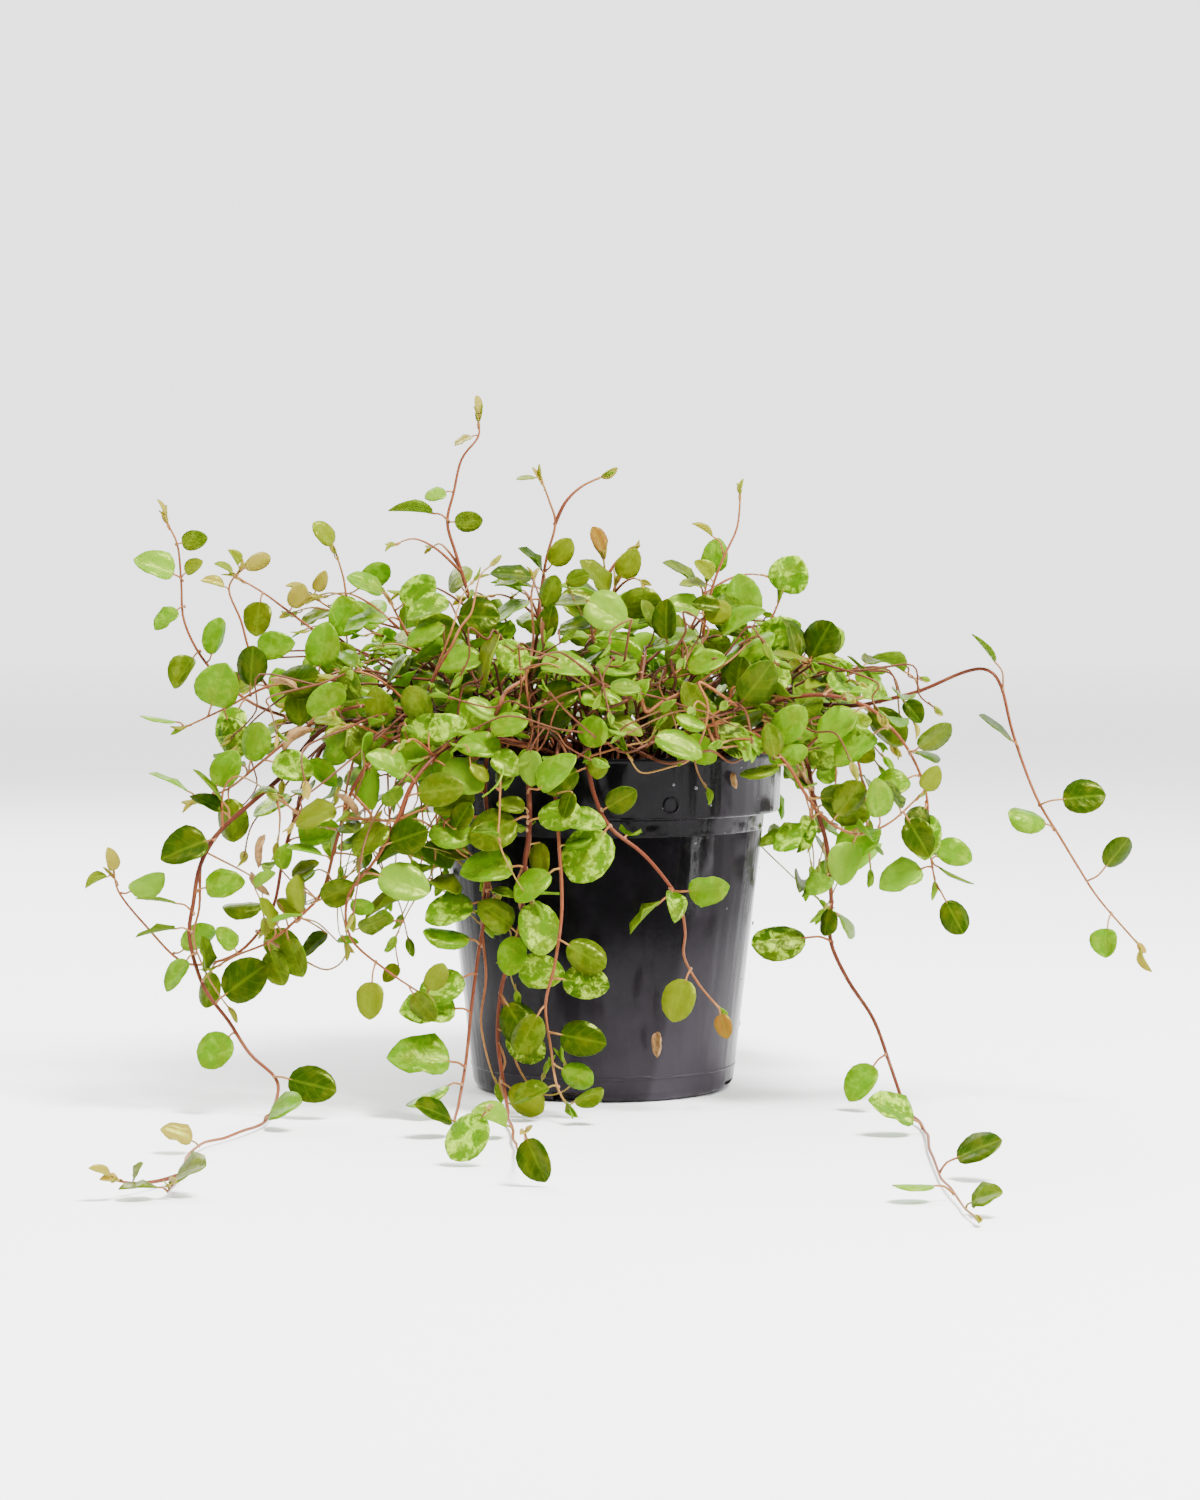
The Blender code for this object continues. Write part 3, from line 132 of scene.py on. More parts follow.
def shoot(name, route, leaves=(), leafy=None, twigs=(), thick=1.0):
    """One rooted shoot. route is in millimetres, from its place in the mix to its tip.

    leafy is the stretch, counted in route points, where leaves follow the plain rule.
    """
    return {"name": name, "route": route, "leaves": list(leaves), "leafy": leafy,
            "twigs": list(twigs), "thick": thick}


def twig(at, route, leaves=(), leafy=None):
    """A side branch that leaves its shoot at a place counted in the shoot's route points."""
    return {"at": at, "route": route, "leaves": list(leaves), "leafy": leafy}


# Shoots that make the plant's outline. Each route point is across, towards the back, and up.
UPRIGHT_SHOOTS = [
    shoot("crown_leader",
          [(-20, 5), (-27, 0, 114), (-36, -7, 130), (-41, -10, 150), (-45, -10, 164), (-47, -10, 174),
           (-46, -10, 183), (-43, -10, 193), (-38, -10, 200), (-38, -11, 205)],
          [leaf(5, 172, 15, turn=68, stalk=0.4, ratio=0.7), leaf(5, 2, 9.5, turn=45, stalk=0.1),
           leaf(6, 195, 7.5, turn=15, ratio=0.85), leaf(8, 228, 7, turn=60), leaf(9, 96, 6, turn=55)],
          leafy=(0.8, 3.6)),
    shoot("twin_tip",
          [(-8, 8), (-15, 5, 110), (-22, 0, 124), (-20, -2, 138), (-19, -2, 150), (-17, -2, 163),
           (-15, -2, 173), (-17, -2, 180), (-19, -2, 187)],
          [leaf(8, 182, 6.5, turn=40), leaf(4.7, 52, 11, turn=20), leaf(4.5, 112, 11, turn=55),
           leaf(4.2, 172, 13, turn=50), leaf(4, 205, 15, turn=40)],
          leafy=(0.8, 3.6),
          twigs=[twig(6, [(-12, -2, 180), (-7, -1, 185), (0, 0, 188)])]),
    shoot("back_sprig",
          [(5, 15), (3, 16, 112), (1, 16, 130), (0, 15, 148), (1, 15, 157), (0, 15, 163)],
          [leaf(5, 108, 9, turn=20, ratio=0.7), leaf(3.2, -22, 15, turn=20, ratio=0.9),
           leaf(3, 165, 12, turn=10)],
          leafy=(0.8, 2.8),
          twigs=[twig(4, [(4, 15, 162), (8, 15, 165)])]),
    shoot("pink_riser",
          [(-2, -20), (0, -27, 107), (7, -30, 116), (15, -31, 117), (23, -31, 123), (29, -30, 133),
           (31, -30, 145), (33, -30, 155), (36, -30, 164), (40, -30, 172), (41, -30, 182)],
          [leaf(8, 142, 8, turn=60, stalk=0.9, ratio=0.5), leaf(7, 112, 8, turn=10),
           leaf(6.9, 175, 9, turn=35), leaf(6.2, -30, 12, turn=10), leaf(6, 160, 12, turn=10),
           leaf(5.2, 70, 13, turn=40), leaf(4, 105, 13, turn=25), leaf(3, -160, 14, turn=30)],
          leafy=(0.7, 2.6)),
    shoot("high_right",
          [(28, -5), (29, -8, 112), (33, -10, 124), (43, -12, 135), (50, -12, 143), (54, -12, 151)],
          [leaf(5, 68, 13, turn=8, stalk=0.15, ratio=1.05), leaf(3, 97, 17, turn=12, stalk=0.6),
           leaf(3.2, 22, 15, turn=35), leaf(2.6, 130, 12), leaf(2.2, -10, 14, turn=30)],
          leafy=(0.7, 2.0)),
    shoot("right_pair",
          [(38, -8), (41, -12, 109), (49, -18, 121), (57, -20, 128), (62, -20, 131)],
          [leaf(4, 62, 14, turn=5, stalk=0.15, ratio=0.92), leaf(3.6, 112, 14, turn=52),
           leaf(3, 200, 15, turn=10, ratio=0.9), leaf(2.4, 150, 14), leaf(2.2, -40, 12)],
          leafy=(0.7, 2.0)),
    shoot("left_tip",
          [(-38, 4), (-47, 0, 109), (-62, -5, 115), (-83, -9, 112), (-97, -11, 114), (-109, -12, 120),
           (-121, -12, 131), (-127, -12, 143), (-128, -12, 156), (-130, -12, 167), (-133, -12, 174)],
          [leaf(10, 112, 6, turn=60, ratio=0.5), leaf(9, 12, 9, turn=25), leaf(8, 155, 14, turn=5),
           leaf(8.1, 112, 9, turn=10), leaf(7.4, 218, 10, turn=15), leaf(6.3, 235, 12, turn=10),
           leaf(6, 72, 13, turn=62), leaf(5, 245, 14, turn=10), leaf(4, 100, 14, turn=30)],
          leafy=(0.8, 3.6)),
    shoot("left_fork",
          [(-33, 14), (-47, 11, 112), (-66, 7, 120), (-84, 4, 119), (-97, 2, 119), (-105, 1, 125),
           (-109, 0, 134), (-112, 0, 144), (-115, 0, 153), (-112, 0, 159)],
          [leaf(8, 160, 8, turn=20, ratio=0.6), leaf(9, 25, 9.5, turn=35, ratio=0.6),
           leaf(9, 115, 6, turn=40), leaf(6, 12, 13, turn=20), leaf(5, 200, 14, turn=15),
           leaf(4, -20, 15, turn=20)],
          leafy=(0.8, 3.6)),
    shoot("left_rider",
          [(-22, 18), (-35, 18, 116), (-54, 16, 125), (-72, 15, 132), (-88, 15, 139), (-98, 14, 146),
           (-106, 14, 152), (-114, 14, 157)],
          [leaf(6, 262, 12, turn=10, ratio=0.85), leaf(5, 60, 9, turn=30), leaf(4, -60, 14, turn=5),
           leaf(3.5, 95, 14, turn=15, ratio=0.95), leaf(7, 150, 7, turn=40)],
          leafy=(0.8, 3.2)),
    shoot("left_bud",
          [(-14, 24), (-25, 25, 118), (-44, 25, 129), (-61, 25, 136), (-74, 24, 141), (-80, 24, 148),
           (-82, 24, 157), (-84, 24, 165)],
          [leaf(7, 126, 10, turn=15), leaf(5.4, 35, 12, turn=52, stalk=0.6), leaf(4, -35, 13, turn=5),
           leaf(3.6, 140, 13, turn=20)],
          leafy=(0.8, 3.4)),
    shoot("bronze_tuft",
          [(-6, 28), (-22, 34, 118), (-44, 36, 132), (-66, 36, 141), (-84, 35, 146), (-92, 35, 151)],
          [leaf(5, 160, 8, turn=40, ratio=0.6), leaf(5, 62, 8, turn=30, ratio=0.6),
           leaf(4.4, 10, 8, turn=40, ratio=0.6), leaf(4, 200, 11, turn=30)],
          leafy=(0.8, 3.6)),
    shoot("crown_right",
          [(12, 12), (15, 10, 114), (20, 6, 128), (26, 3, 140), (30, 2, 149), (32, 2, 156)],
          [leaf(5, 75, 12, turn=20), leaf(4.4, 140, 14, turn=45, ratio=0.7), leaf(4, 15, 13, turn=40),
           leaf(3.2, 175, 14, turn=30)],
          leafy=(0.7, 3.0)),
    shoot("crown_middle",
          [(-12, -6), (-14, -9, 112), (-10, -12, 126), (-4, -13, 138), (1, -12, 148), (4, -12, 155)],
          [leaf(5, 60, 11, turn=30), leaf(4.3, 165, 14, turn=50), leaf(4, 5, 15, turn=55),
           leaf(3.3, 120, 13, turn=20), leaf(3, -20, 15, turn=30)],
          leafy=(0.7, 2.8)),
    shoot("crown_left",
          [(-26, -3), (-33, -7, 113), (-46, -10, 124), (-56, -12, 135), (-62, -12, 144),
           (-65, -12, 150)],
          [leaf(5, 150, 13, turn=25), leaf(4.5, 40, 14, turn=40), leaf(4, 190, 15, turn=35),
           leaf(3.6, -20, 15, turn=20, ratio=0.95), leaf(3, 100, 15, turn=30)],
          leafy=(0.7, 2.8)),
]

TRAILING_SHOOTS = [
    shoot("right_arch",
          [(30, -18), (37, -20, 109), (46, -21, 117), (60, -22, 119), (75, -25, 118), (95, -30, 123),
           (108, -34, 129), (115, -36, 130), (119, -38, 124), (122, -40, 110), (128, -42, 92),
           (135, -45, 80), (147, -48, 62), (158, -50, 49)],
          [leaf(4.4, 128, 13, turn=68, stalk=0.5), leaf(5, 148, 12, turn=74, stalk=0.7),
           leaf(4.7, 25, 11, turn=15), leaf(4.2, -48, 16, turn=55, stalk=0.15),
           leaf(8, 128, 12, turn=70, stalk=0.8), leaf(9.3, 140, 14, turn=50, stalk=0.4),
           leaf(10.2, 8, 14, turn=8, stalk=0.6, ratio=0.85), leaf(10.8, 158, 13, turn=12),
           leaf(11.7, 52, 12, turn=48, stalk=0.7), leaf(12.3, -98, 9.5, turn=25, stalk=0.6, ratio=1.0),
           leaf(13, -65, 8, turn=60, ratio=0.4)],
          leafy=(0.7, 3.6), thick=1.1),
    shoot("right_fork",
          [(26, -28), (34, -34, 110), (48, -42, 120), (64, -47, 123), (76, -49, 120), (83, -50, 115),
           (90, -50, 106), (95, -50, 94), (96, -50, 79), (98, -50, 67)],
          [leaf(5.2, 215, 16, turn=10, stalk=0.4), leaf(6, 35, 13, turn=68), leaf(6.6, 205, 14, turn=10),
           leaf(7.2, -92, 15, turn=10), leaf(7.6, 172, 12, turn=40), leaf(8, -22, 12, turn=15),
           leaf(8.4, -38, 14, turn=70), leaf(9, -62, 12, turn=10, stalk=0.6), leaf(8.6, 200, 15, turn=8),
           leaf(4.2, 230, 15, turn=8)],
          leafy=(0.7, 3.6), thick=1.1),
    shoot("right_fall",
          [(34, -20), (42, -26, 109), (52, -33, 112), (60, -39, 104), (63, -42, 92), (66, -44, 77),
           (68, -45, 61), (68, -44, 49), (73, -45, 38), (80, -48, 26), (84, -54, 14), (87, -66, 5),
           (90, -88, 1.8), (90, -118, 1.8), (89, -152, 1.8), (88, -186, 1.8), (89, -220, 1.8),
           (91, -244, 1.8)],
          [leaf(7, 183, 18, turn=10, stalk=0.55, ratio=0.78), leaf(6, 255, 9, turn=30),
           leaf(5.2, 25, 15, turn=8), leaf(4.6, 205, 14, turn=15), leaf(4, -20, 15, turn=10),
           leaf(3.5, 60, 13, turn=20), leaf(9.8, 232, 14, turn=15, stalk=0.4),
           leaf(12.4, 205, 16, lean=15), leaf(14.7, 8, 14, lean=15, stalk=0.5),
           leaf(15.7, 175, 12, turn=70, lean=10, stalk=0.5), leaf(16.4, 15, 9.5, lean=30, ratio=0.9)],
          leafy=(0.7, 3.0)),
    shoot("right_curl",
          [(22, -34), (30, -43, 109), (42, -52, 112), (53, -58, 104), (60, -62, 93), (66, -65, 86),
           (74, -66, 83), (84, -66, 86), (92, -66, 94)],
          [leaf(8, 60, 9, turn=30), leaf(7.4, -60, 13, turn=15), leaf(6.6, 95, 13, turn=20),
           leaf(6, -110, 14, turn=8), leaf(5, 30, 14, turn=10), leaf(4.6, 235, 12, turn=60),
           leaf(4, 5, 14, turn=25), leaf(3.2, 190, 13, turn=40), leaf(2.6, 50, 14, turn=15)],
          leafy=(0.7, 2.4)),
    shoot("front_drape",
          [(-6, -30), (-6, -40, 107), (-6, -52, 109), (-5, -59, 103), (-3, -62, 94), (2, -64, 85),
           (11, -65, 77), (18, -64, 69), (22, -63, 62), (24, -62, 54), (24, -61, 46), (28, -60, 38),
           (34, -59, 31)],
          [leaf(5, 218, 19, turn=5, stalk=0.15, ratio=0.9), leaf(4.5, 30, 11, turn=35, stalk=0.2),
           leaf(7.4, 5, 13, turn=48, stalk=0.5), leaf(7.7, 218, 14, turn=62, stalk=0.35),
           leaf(10.4, 250, 14, turn=5, stalk=0.3, ratio=0.78), leaf(12, 285, 8, turn=15, ratio=0.7),
           leaf(3.2, 205, 13, turn=10)],
          leafy=(0.7, 2.6), thick=1.15),
    shoot("front_cascade",
          [(-18, -28), (-20, -40, 108), (-21, -53, 109), (-22, -60, 102), (-22, -64, 86),
           (-23, -65, 64), (-25, -64, 52), (-30, -63, 39), (-31, -63, 24), (-30, -65, 12),
           (-28, -74, 4), (-26, -95, 1.8), (-24, -130, 2), (-22, -165, 6), (-20.5, -186, 14)],
          [leaf(3.9, 205, 16, turn=5, ratio=0.95), leaf(4, 15, 14, turn=8), leaf(4.6, 168, 17, turn=10),
           leaf(4.9, -48, 18, turn=5, ratio=0.85), leaf(5.6, 8, 17, turn=8, stalk=0.4),
           leaf(5.9, 165, 14, turn=15), leaf(6.6, -8, 15, turn=12), leaf(7.2, -58, 16, turn=10),
           leaf(7.9, -15, 14, turn=12), leaf(8.4, 25, 15, turn=15), leaf(9.2, -35, 13, turn=20),
           leaf(11.3, 200, 12, lean=20), leaf(14, 268, 14, ratio=0.72, stalk=0.1)],
          leafy=(0.7, 2.6), thick=1.1),
    shoot("front_curtain",
          [(-27, -22), (-30, -36, 109), (-33, -48, 109), (-35, -56, 100), (-34, -61, 86),
           (-34, -63, 66), (-36, -63, 48), (-39, -63, 32), (-40, -65, 17), (-42, -72, 5),
           (-42, -95, 2), (-38, -126, 5), (-31, -154, 15)],
          [leaf(3.4, 200, 14, turn=10), leaf(4.2, 165, 15, turn=15), leaf(5.2, 195, 16, turn=10),
           leaf(5.9, 120, 17, turn=12), leaf(6.4, 205, 16, turn=5), leaf(7.1, 178, 18, turn=8),
           leaf(8.2, 170, 20, turn=10), leaf(8.6, 215, 15, turn=50), leaf(10.2, 205, 14, lean=35),
           leaf(12, 232, 16, stalk=0.1)],
          leafy=(0.7, 2.6)),
    shoot("front_tangle",
          [(-12, -36), (-13, -46, 107), (-13, -56, 106), (-14, -61, 96), (-13, -66, 80), (-12, -70, 62),
           (-14, -70, 46), (-17, -70, 33), (-15, -70, 20), (-13, -74, 10), (-10, -82, 5)],
          [leaf(3.6, 40, 14, turn=10), leaf(4.4, 215, 14, turn=15), leaf(5.6, -30, 14, turn=15),
           leaf(6.4, 10, 15, turn=10), leaf(7, 240, 14, turn=8), leaf(7.6, -10, 15, turn=20),
           leaf(8.4, 20, 12, turn=50), leaf(9, 200, 12, turn=30), leaf(10, -30, 10, turn=30)],
          leafy=(0.7, 2.8)),
    shoot("left_cascade",
          [(-35, -12), (-44, -17, 109), (-58, -25, 114), (-72, -32, 115), (-85, -38, 111),
           (-95, -44, 99), (-104, -48, 91), (-113, -52, 83), (-118, -55, 73), (-120, -57, 62),
           (-121, -58, 51), (-117, -60, 38), (-110, -62, 27), (-103, -64, 18), (-96, -68, 12),
           (-95, -74, 6), (-97, -88, 2), (-102, -106, 1.8), (-110, -126, 1.8), (-112, -151, 1.8),
           (-111, -181, 1.8), (-111, -206, 1.8)],
          [leaf(7.3, 198, 16, turn=5, stalk=0.15, ratio=0.85), leaf(6.7, 128, 14, turn=68, stalk=0.5),
           leaf(8.7, 12, 13, turn=8), leaf(9.3, 168, 13, turn=68, stalk=0.5),
           leaf(9.8, 185, 13, turn=70, stalk=0.4), leaf(10.3, 235, 12, turn=30),
           leaf(10.9, 45, 13, turn=50), leaf(11.5, 38, 17, turn=10, stalk=0.3, ratio=0.82),
           leaf(12.3, 225, 13, turn=5, stalk=0.15, ratio=0.95), leaf(14, -12, 16, turn=8, stalk=0.35),
           leaf(16, 5, 13, lean=35, stalk=0.3, ratio=0.9), leaf(18.3, 195, 10, lean=10),
           leaf(20.6, 12, 13, lean=45, ratio=0.95), leaf(21, 175, 11, turn=70, lean=20)],
          leafy=(0.7, 4.4), thick=1.1,
          twigs=[twig(20, [(-115, -192, 1.8), (-120, -202, 3), (-124, -208, 5)],
                      [leaf(2, 150, 8, lean=20, ratio=0.6), leaf(3, 190, 7, lean=30, ratio=0.5)])]),
    shoot("left_star",
          [(-41, -3), (-53, -9, 111), (-68, -19, 118), (-83, -27, 108), (-90, -32, 92),
           (-95, -34, 75), (-99, -35, 58), (-107, -36, 47), (-116, -37, 42), (-126, -38, 43),
           (-137, -38, 53), (-144, -38, 63), (-146, -38, 68)],
          [leaf(12, 100, 8, turn=25, ratio=0.6), leaf(12, 200, 8, turn=40, ratio=0.6),
           leaf(11, 25, 13, turn=66), leaf(9.2, 35, 13, turn=66), leaf(8, -100, 12, turn=30),
           leaf(6.6, -30, 14, turn=10), leaf(6, 175, 13, turn=30), leaf(4.8, 15, 14, turn=15),
           leaf(4, 205, 14, turn=35)],
          leafy=(0.8, 3.4)),
    shoot("middle_fall",
          [(-25, -30), (-35, -43, 109), (-46, -56, 108), (-55, -66, 98), (-60, -69, 87), (-66, -70, 76),
           (-74, -70, 65), (-73, -70, 53), (-63, -70, 43), (-52, -70, 36)],
          [leaf(9, 60, 10, turn=40), leaf(8.6, -50, 11, turn=20), leaf(7.7, -95, 12, turn=10, stalk=0.6),
           leaf(6.8, 20, 10, turn=70), leaf(5.4, -15, 17, turn=5, stalk=0.3, ratio=0.75),
           leaf(4.7, -55, 16, turn=8, ratio=0.9), leaf(4, 220, 14, turn=15), leaf(3.4, 10, 15, turn=10),
           leaf(3, 150, 14, turn=20), leaf(2.4, -30, 15, turn=10)],
          leafy=(0.7, 2.2)),
    shoot("pink_knot",
          [(-37, -22), (-49, -32, 110), (-63, -46, 110), (-73, -55, 97), (-78, -60, 80),
           (-82, -61, 66), (-89, -61, 57), (-98, -61, 51), (-107, -61, 47), (-114, -61, 43)],
          [leaf(8, 200, 11, turn=15), leaf(7, 215, 15, turn=20), leaf(6.4, -70, 13, turn=10),
           leaf(6, 75, 12, turn=50), leaf(5.4, 25, 12, turn=40), leaf(5, -25, 15, turn=5, ratio=0.95),
           leaf(4.4, 165, 12, turn=50), leaf(6.8, 110, 11, turn=55), leaf(9, 190, 10, turn=60),
           leaf(3.4, 200, 14, turn=15)],
          leafy=(0.7, 3.0)),
    shoot("left_sprawl",
          [(-30, -25), (-40, -34, 110), (-56, -42, 117), (-72, -44, 119), (-88, -44, 113),
           (-101, -44, 103), (-111, -43, 95), (-121, -42, 91)],
          [leaf(7, 150, 14, turn=60), leaf(6.5, 60, 13, turn=15), leaf(6, -60, 15, turn=45),
           leaf(5.4, 120, 15, turn=15), leaf(5, -15, 14, turn=10), leaf(4.5, 215, 15, turn=20),
           leaf(4, 50, 15, turn=30), leaf(3.5, -30, 17, turn=12, ratio=0.7), leaf(3, 140, 14, turn=25)],
          leafy=(0.7, 2.8)),
    shoot("left_high_sprawl",
          [(-43, -8), (-55, -12, 112), (-70, -20, 122), (-86, -24, 127), (-101, -26, 124),
           (-114, -27, 118), (-126, -27, 112)],
          [leaf(6, 165, 12, turn=60), leaf(5.4, 70, 15, turn=12, ratio=1.0), leaf(5, -70, 14, turn=20),
           leaf(4.4, 130, 15, turn=20), leaf(4, 10, 15, turn=15), leaf(3.4, 200, 15, turn=10),
           leaf(3, 80, 15, turn=10), leaf(2.6, -40, 14, turn=25)],
          leafy=(0.7, 2.2)),
]

# Low shoots that hide the mix at the near rim.
LOW_SHOOTS = [
    shoot("rim_front",
          [(6, -34), (12, -43, 108), (22, -49, 111), (33, -51, 114), (44, -48, 116), (54, -43, 115)],
          [leaf(1.4, 75, 12), leaf(2, -35, 12, turn=25), leaf(2.6, 110, 13, turn=15),
           leaf(3.2, 5, 12, turn=35), leaf(3.8, 150, 13, turn=10), leaf(4.4, -40, 11, turn=20),
           leaf(5, 30, 11)]),
    shoot("rim_right",
          [(20, -26), (30, -35, 107), (42, -37, 111), (54, -34, 113), (64, -29, 113), (72, -25, 110)],
          [leaf(1.2, 60, 12, turn=20), leaf(1.8, 190, 12, turn=10), leaf(2.5, 80, 13),
           leaf(3.1, -30, 12, turn=30), leaf(3.8, 110, 12, turn=25), leaf(4.4, 10, 12, turn=10),
           leaf(5, -40, 11, turn=30)]),
    shoot("rim_left",
          [(-10, -40), (-16, -47, 107), (-28, -52, 110), (-42, -53, 112), (-56, -49, 112),
           (-68, -45, 109)],
          [leaf(1.3, 130, 13), leaf(1.9, -150, 13, turn=15), leaf(2.5, 60, 12, turn=25),
           leaf(3, 200, 14), leaf(3.6, 120, 13, turn=20), leaf(4.2, -70, 13, turn=10),
           leaf(4.7, 100, 13), leaf(5, 190, 12, turn=20)]),
]

# Shoots that fill the dome, and shoots that fall behind the pot, where the picture doesn't look.
DOME_SHOOTS = 11
GOLDEN_ANGLE = 137.5
BACK_SHOOTS = 7
BACK_TRAILING = (2, 4)
BACK_FIRST_ANGLE = 12.0
BACK_SPAN = 150.0


def on_ring(radius, angle, height):
    turn = math.radians(angle)
    return (radius * math.cos(turn), radius * math.sin(turn), height)


def from_middle(p):
    """How far a point is from the pot's middle line."""
    return math.hypot(p.x, p.y)


def outwards_at(p):
    """The level direction from the pot's middle line to a point."""
    return Vector((p.x, p.y, 0)).normalized()


def own_draw(series, number):
    """The random draws of one thing of a kind."""
    return random.Random(SEED + series + number)


def even_places(first, last, count):
    """The middles of this many equal steps from first to last."""
    return [first + (last - first) * (k + 0.5) / count for k in range(count)]


def spread_round(series, first, last, count):
    """The draws and the angle of each of this many things, from angle to angle round the pot."""
    return [(own_draw(series, k), angle) for k, angle in enumerate(even_places(first, last, count))]


def dome_shoot(index):
    """A short shoot that rises from the mix and arches outwards, at golden-angle steps round the pot."""
    draw = own_draw(DOME_DRAWS, index)
    share = index / (DOME_SHOOTS - 1)
    angle = index * GOLDEN_ANGLE + 20
    rooted = 13 + 24 * math.sqrt(share)
    crest = 145 - 22 * share + draw.uniform(-5, 5)
    reach = 42 + 32 * share + draw.uniform(-4, 4)
    drift = draw.uniform(-16, 16)
    route = [on_ring(rooted, angle, 0)[:2],
             on_ring(rooted + 3, angle, 112),
             on_ring(0.65 * rooted + 0.35 * reach, angle + 0.3 * drift, 0.5 * (crest + 112)),
             on_ring(0.35 * rooted + 0.65 * reach, angle + 0.7 * drift, crest),
             on_ring(reach, angle + drift, crest - 2),
             on_ring(reach + 10, angle + 1.3 * drift, crest - 12)]
    return shoot(f"dome_{index + 1:02d}", route, leafy=(0.8, 5))


def back_shoot(index):
    """A shoot that hangs over the far rim. Two reach the surface and lie along it."""
    draw = own_draw(BACK_DRAWS, index)
    angle = BACK_FIRST_ANGLE + BACK_SPAN * index / (BACK_SHOOTS - 1)
    drift = draw.uniform(-9, 9)
    crest = 126 + draw.uniform(-4, 8)
    route = [on_ring(35 + draw.uniform(-2, 5), angle, 0)[:2],
             on_ring(43, angle, 112),
             on_ring(60, angle + 0.3 * drift, crest),
             on_ring(76, angle + 0.6 * drift, crest - 10),
             on_ring(84, angle + drift, crest - 34),
             on_ring(86, angle + 1.2 * drift, crest - 58)]
    if index in BACK_TRAILING:
        inwards = 0.1 * (90 - angle)
        route += [on_ring(84, angle + inwards, 36),
                  on_ring(86, angle + 2 * inwards, 14),
                  on_ring(96, angle + 3 * inwards, 3),
                  on_ring(116, angle + 4 * inwards, 1.8),
                  on_ring(134, angle + 5 * inwards, 1.8)]
    return shoot(f"back_{index + 1:02d}", route, leafy=(1.1, len(route) - 1))


# Stems: smooth lines through the route points, then bent clear of each other.
def spline_point(a, b, c, d, share):
    """Catmull-Rom between b and c."""
    square = share * share
    cube = square * share
    return 0.5 * ((2 * b) + (c - a) * share + (2 * a - 5 * b + 4 * c - d) * square
                  + (3 * b - a - 3 * c + d) * cube)


def stem_line(points, step):
    """Points along the smooth line, each with its place counted in route points."""
    ends = [2 * points[0] - points[1], *points, 2 * points[-1] - points[-2]]
    line = []
    for i in range(len(points) - 1):
        pieces = max(1, round((points[i + 1] - points[i]).length / step))
        for k in range(pieces):
            share = k / pieces
            line.append((spline_point(*ends[i:i + 4], share), i + share))
    line.append((points[-1].copy(), float(len(points) - 1)))
    return line


class Stem:
    """A stem's line, its thickness, and where it stands on its shoot."""

    def __init__(self, owner, points, base_radius, tip_radius, parent=None, at=0.0):
        line = stem_line(points, STEM_STEP)
        self.owner = owner
        self.points = [p for p, _ in line]
        self.places = [u for _, u in line]
        self.parent = parent
        self.at = at
        last = len(line) - 1
        self.radii = [base_radius + (tip_radius - base_radius) * i / last for i in range(last + 1)]

    def span(self, at):
        """The line's span that holds a place, and the share of the way along it."""
        for i in range(len(self.places) - 2, -1, -1):
            if at >= self.places[i]:
                width = self.places[i + 1] - self.places[i]
                return i, min(1.0, (at - self.places[i]) / width)
        return 0, 0.0

    def point(self, at):
        i, share = self.span(at)
        return self.points[i].lerp(self.points[i + 1], share)

    def direction(self, at):
        i, _ = self.span(at)
        return (self.points[i + 1] - self.points[i]).normalized()

    def is_fixed(self, i):
        return i == 0 or self.points[i].z < MIX_TOP + 4 and self.parent is None and i < 2


def mix_height(x, y):
    """The top of the potting mix, slightly crowned."""
    return MIX_TOP + MIX_CROWN * (1 - (x * x + y * y) / 50 ** 2)


def root_places(shoots):
    """Where each shoot stands in the mix, moved apart until their holes stay whole."""
    places = [Vector(each["route"][0]) for each in shoots]
    for _ in range(200):
        moved = False
        for i, place in enumerate(places):
            for other in places[i + 1:]:
                gap = place - other
                if gap.length < ROOT_SPACING:
                    aside = gap.normalized() * (ROOT_SPACING - gap.length) * 0.52
                    place += aside
                    other -= aside
                    moved = True
            if place.length > ROOT_REACH:
                place *= ROOT_REACH / place.length
        if not moved:
            break
    return places


def grow_stems(shoots):
    stems = []
    for each, (x, y) in zip(shoots, root_places(shoots)):
        top = mix_height(x, y)
        points = [Vector((x, y, top - HOLE_DEPTH + HOLE_GAP)), Vector((x, y, top + 3))]
        points += [Vector(p) for p in each["route"][1:]]
        main = Stem(each["name"], points, STEM_RADIUS * each["thick"], TIP_RADIUS)
        # The added point above the mix isn't counted in leaf places.
        main.places = [u - 1 if u > 1 else 0.5 * u - 0.5 for u in main.places]
        main.spec = each
        stems.append(main)
        for side in each["twigs"]:
            start = main.point(side["at"])
            points = [start, *(Vector(p) for p in side["route"])]
            branch = Stem(each["name"], points, STEM_RADIUS * TWIG_SHARE, TIP_RADIUS, main, side["at"])
            branch.spec = side
            stems.append(branch)
    return stems


def outer_radius(z):
    """The pot's outer radius at a height."""
    if z > BAND_BOTTOM:
        return RIM_RADIUS
    return BASE_RADIUS + (BODY_TOP_RADIUS - BASE_RADIUS) * z / BAND_BOTTOM


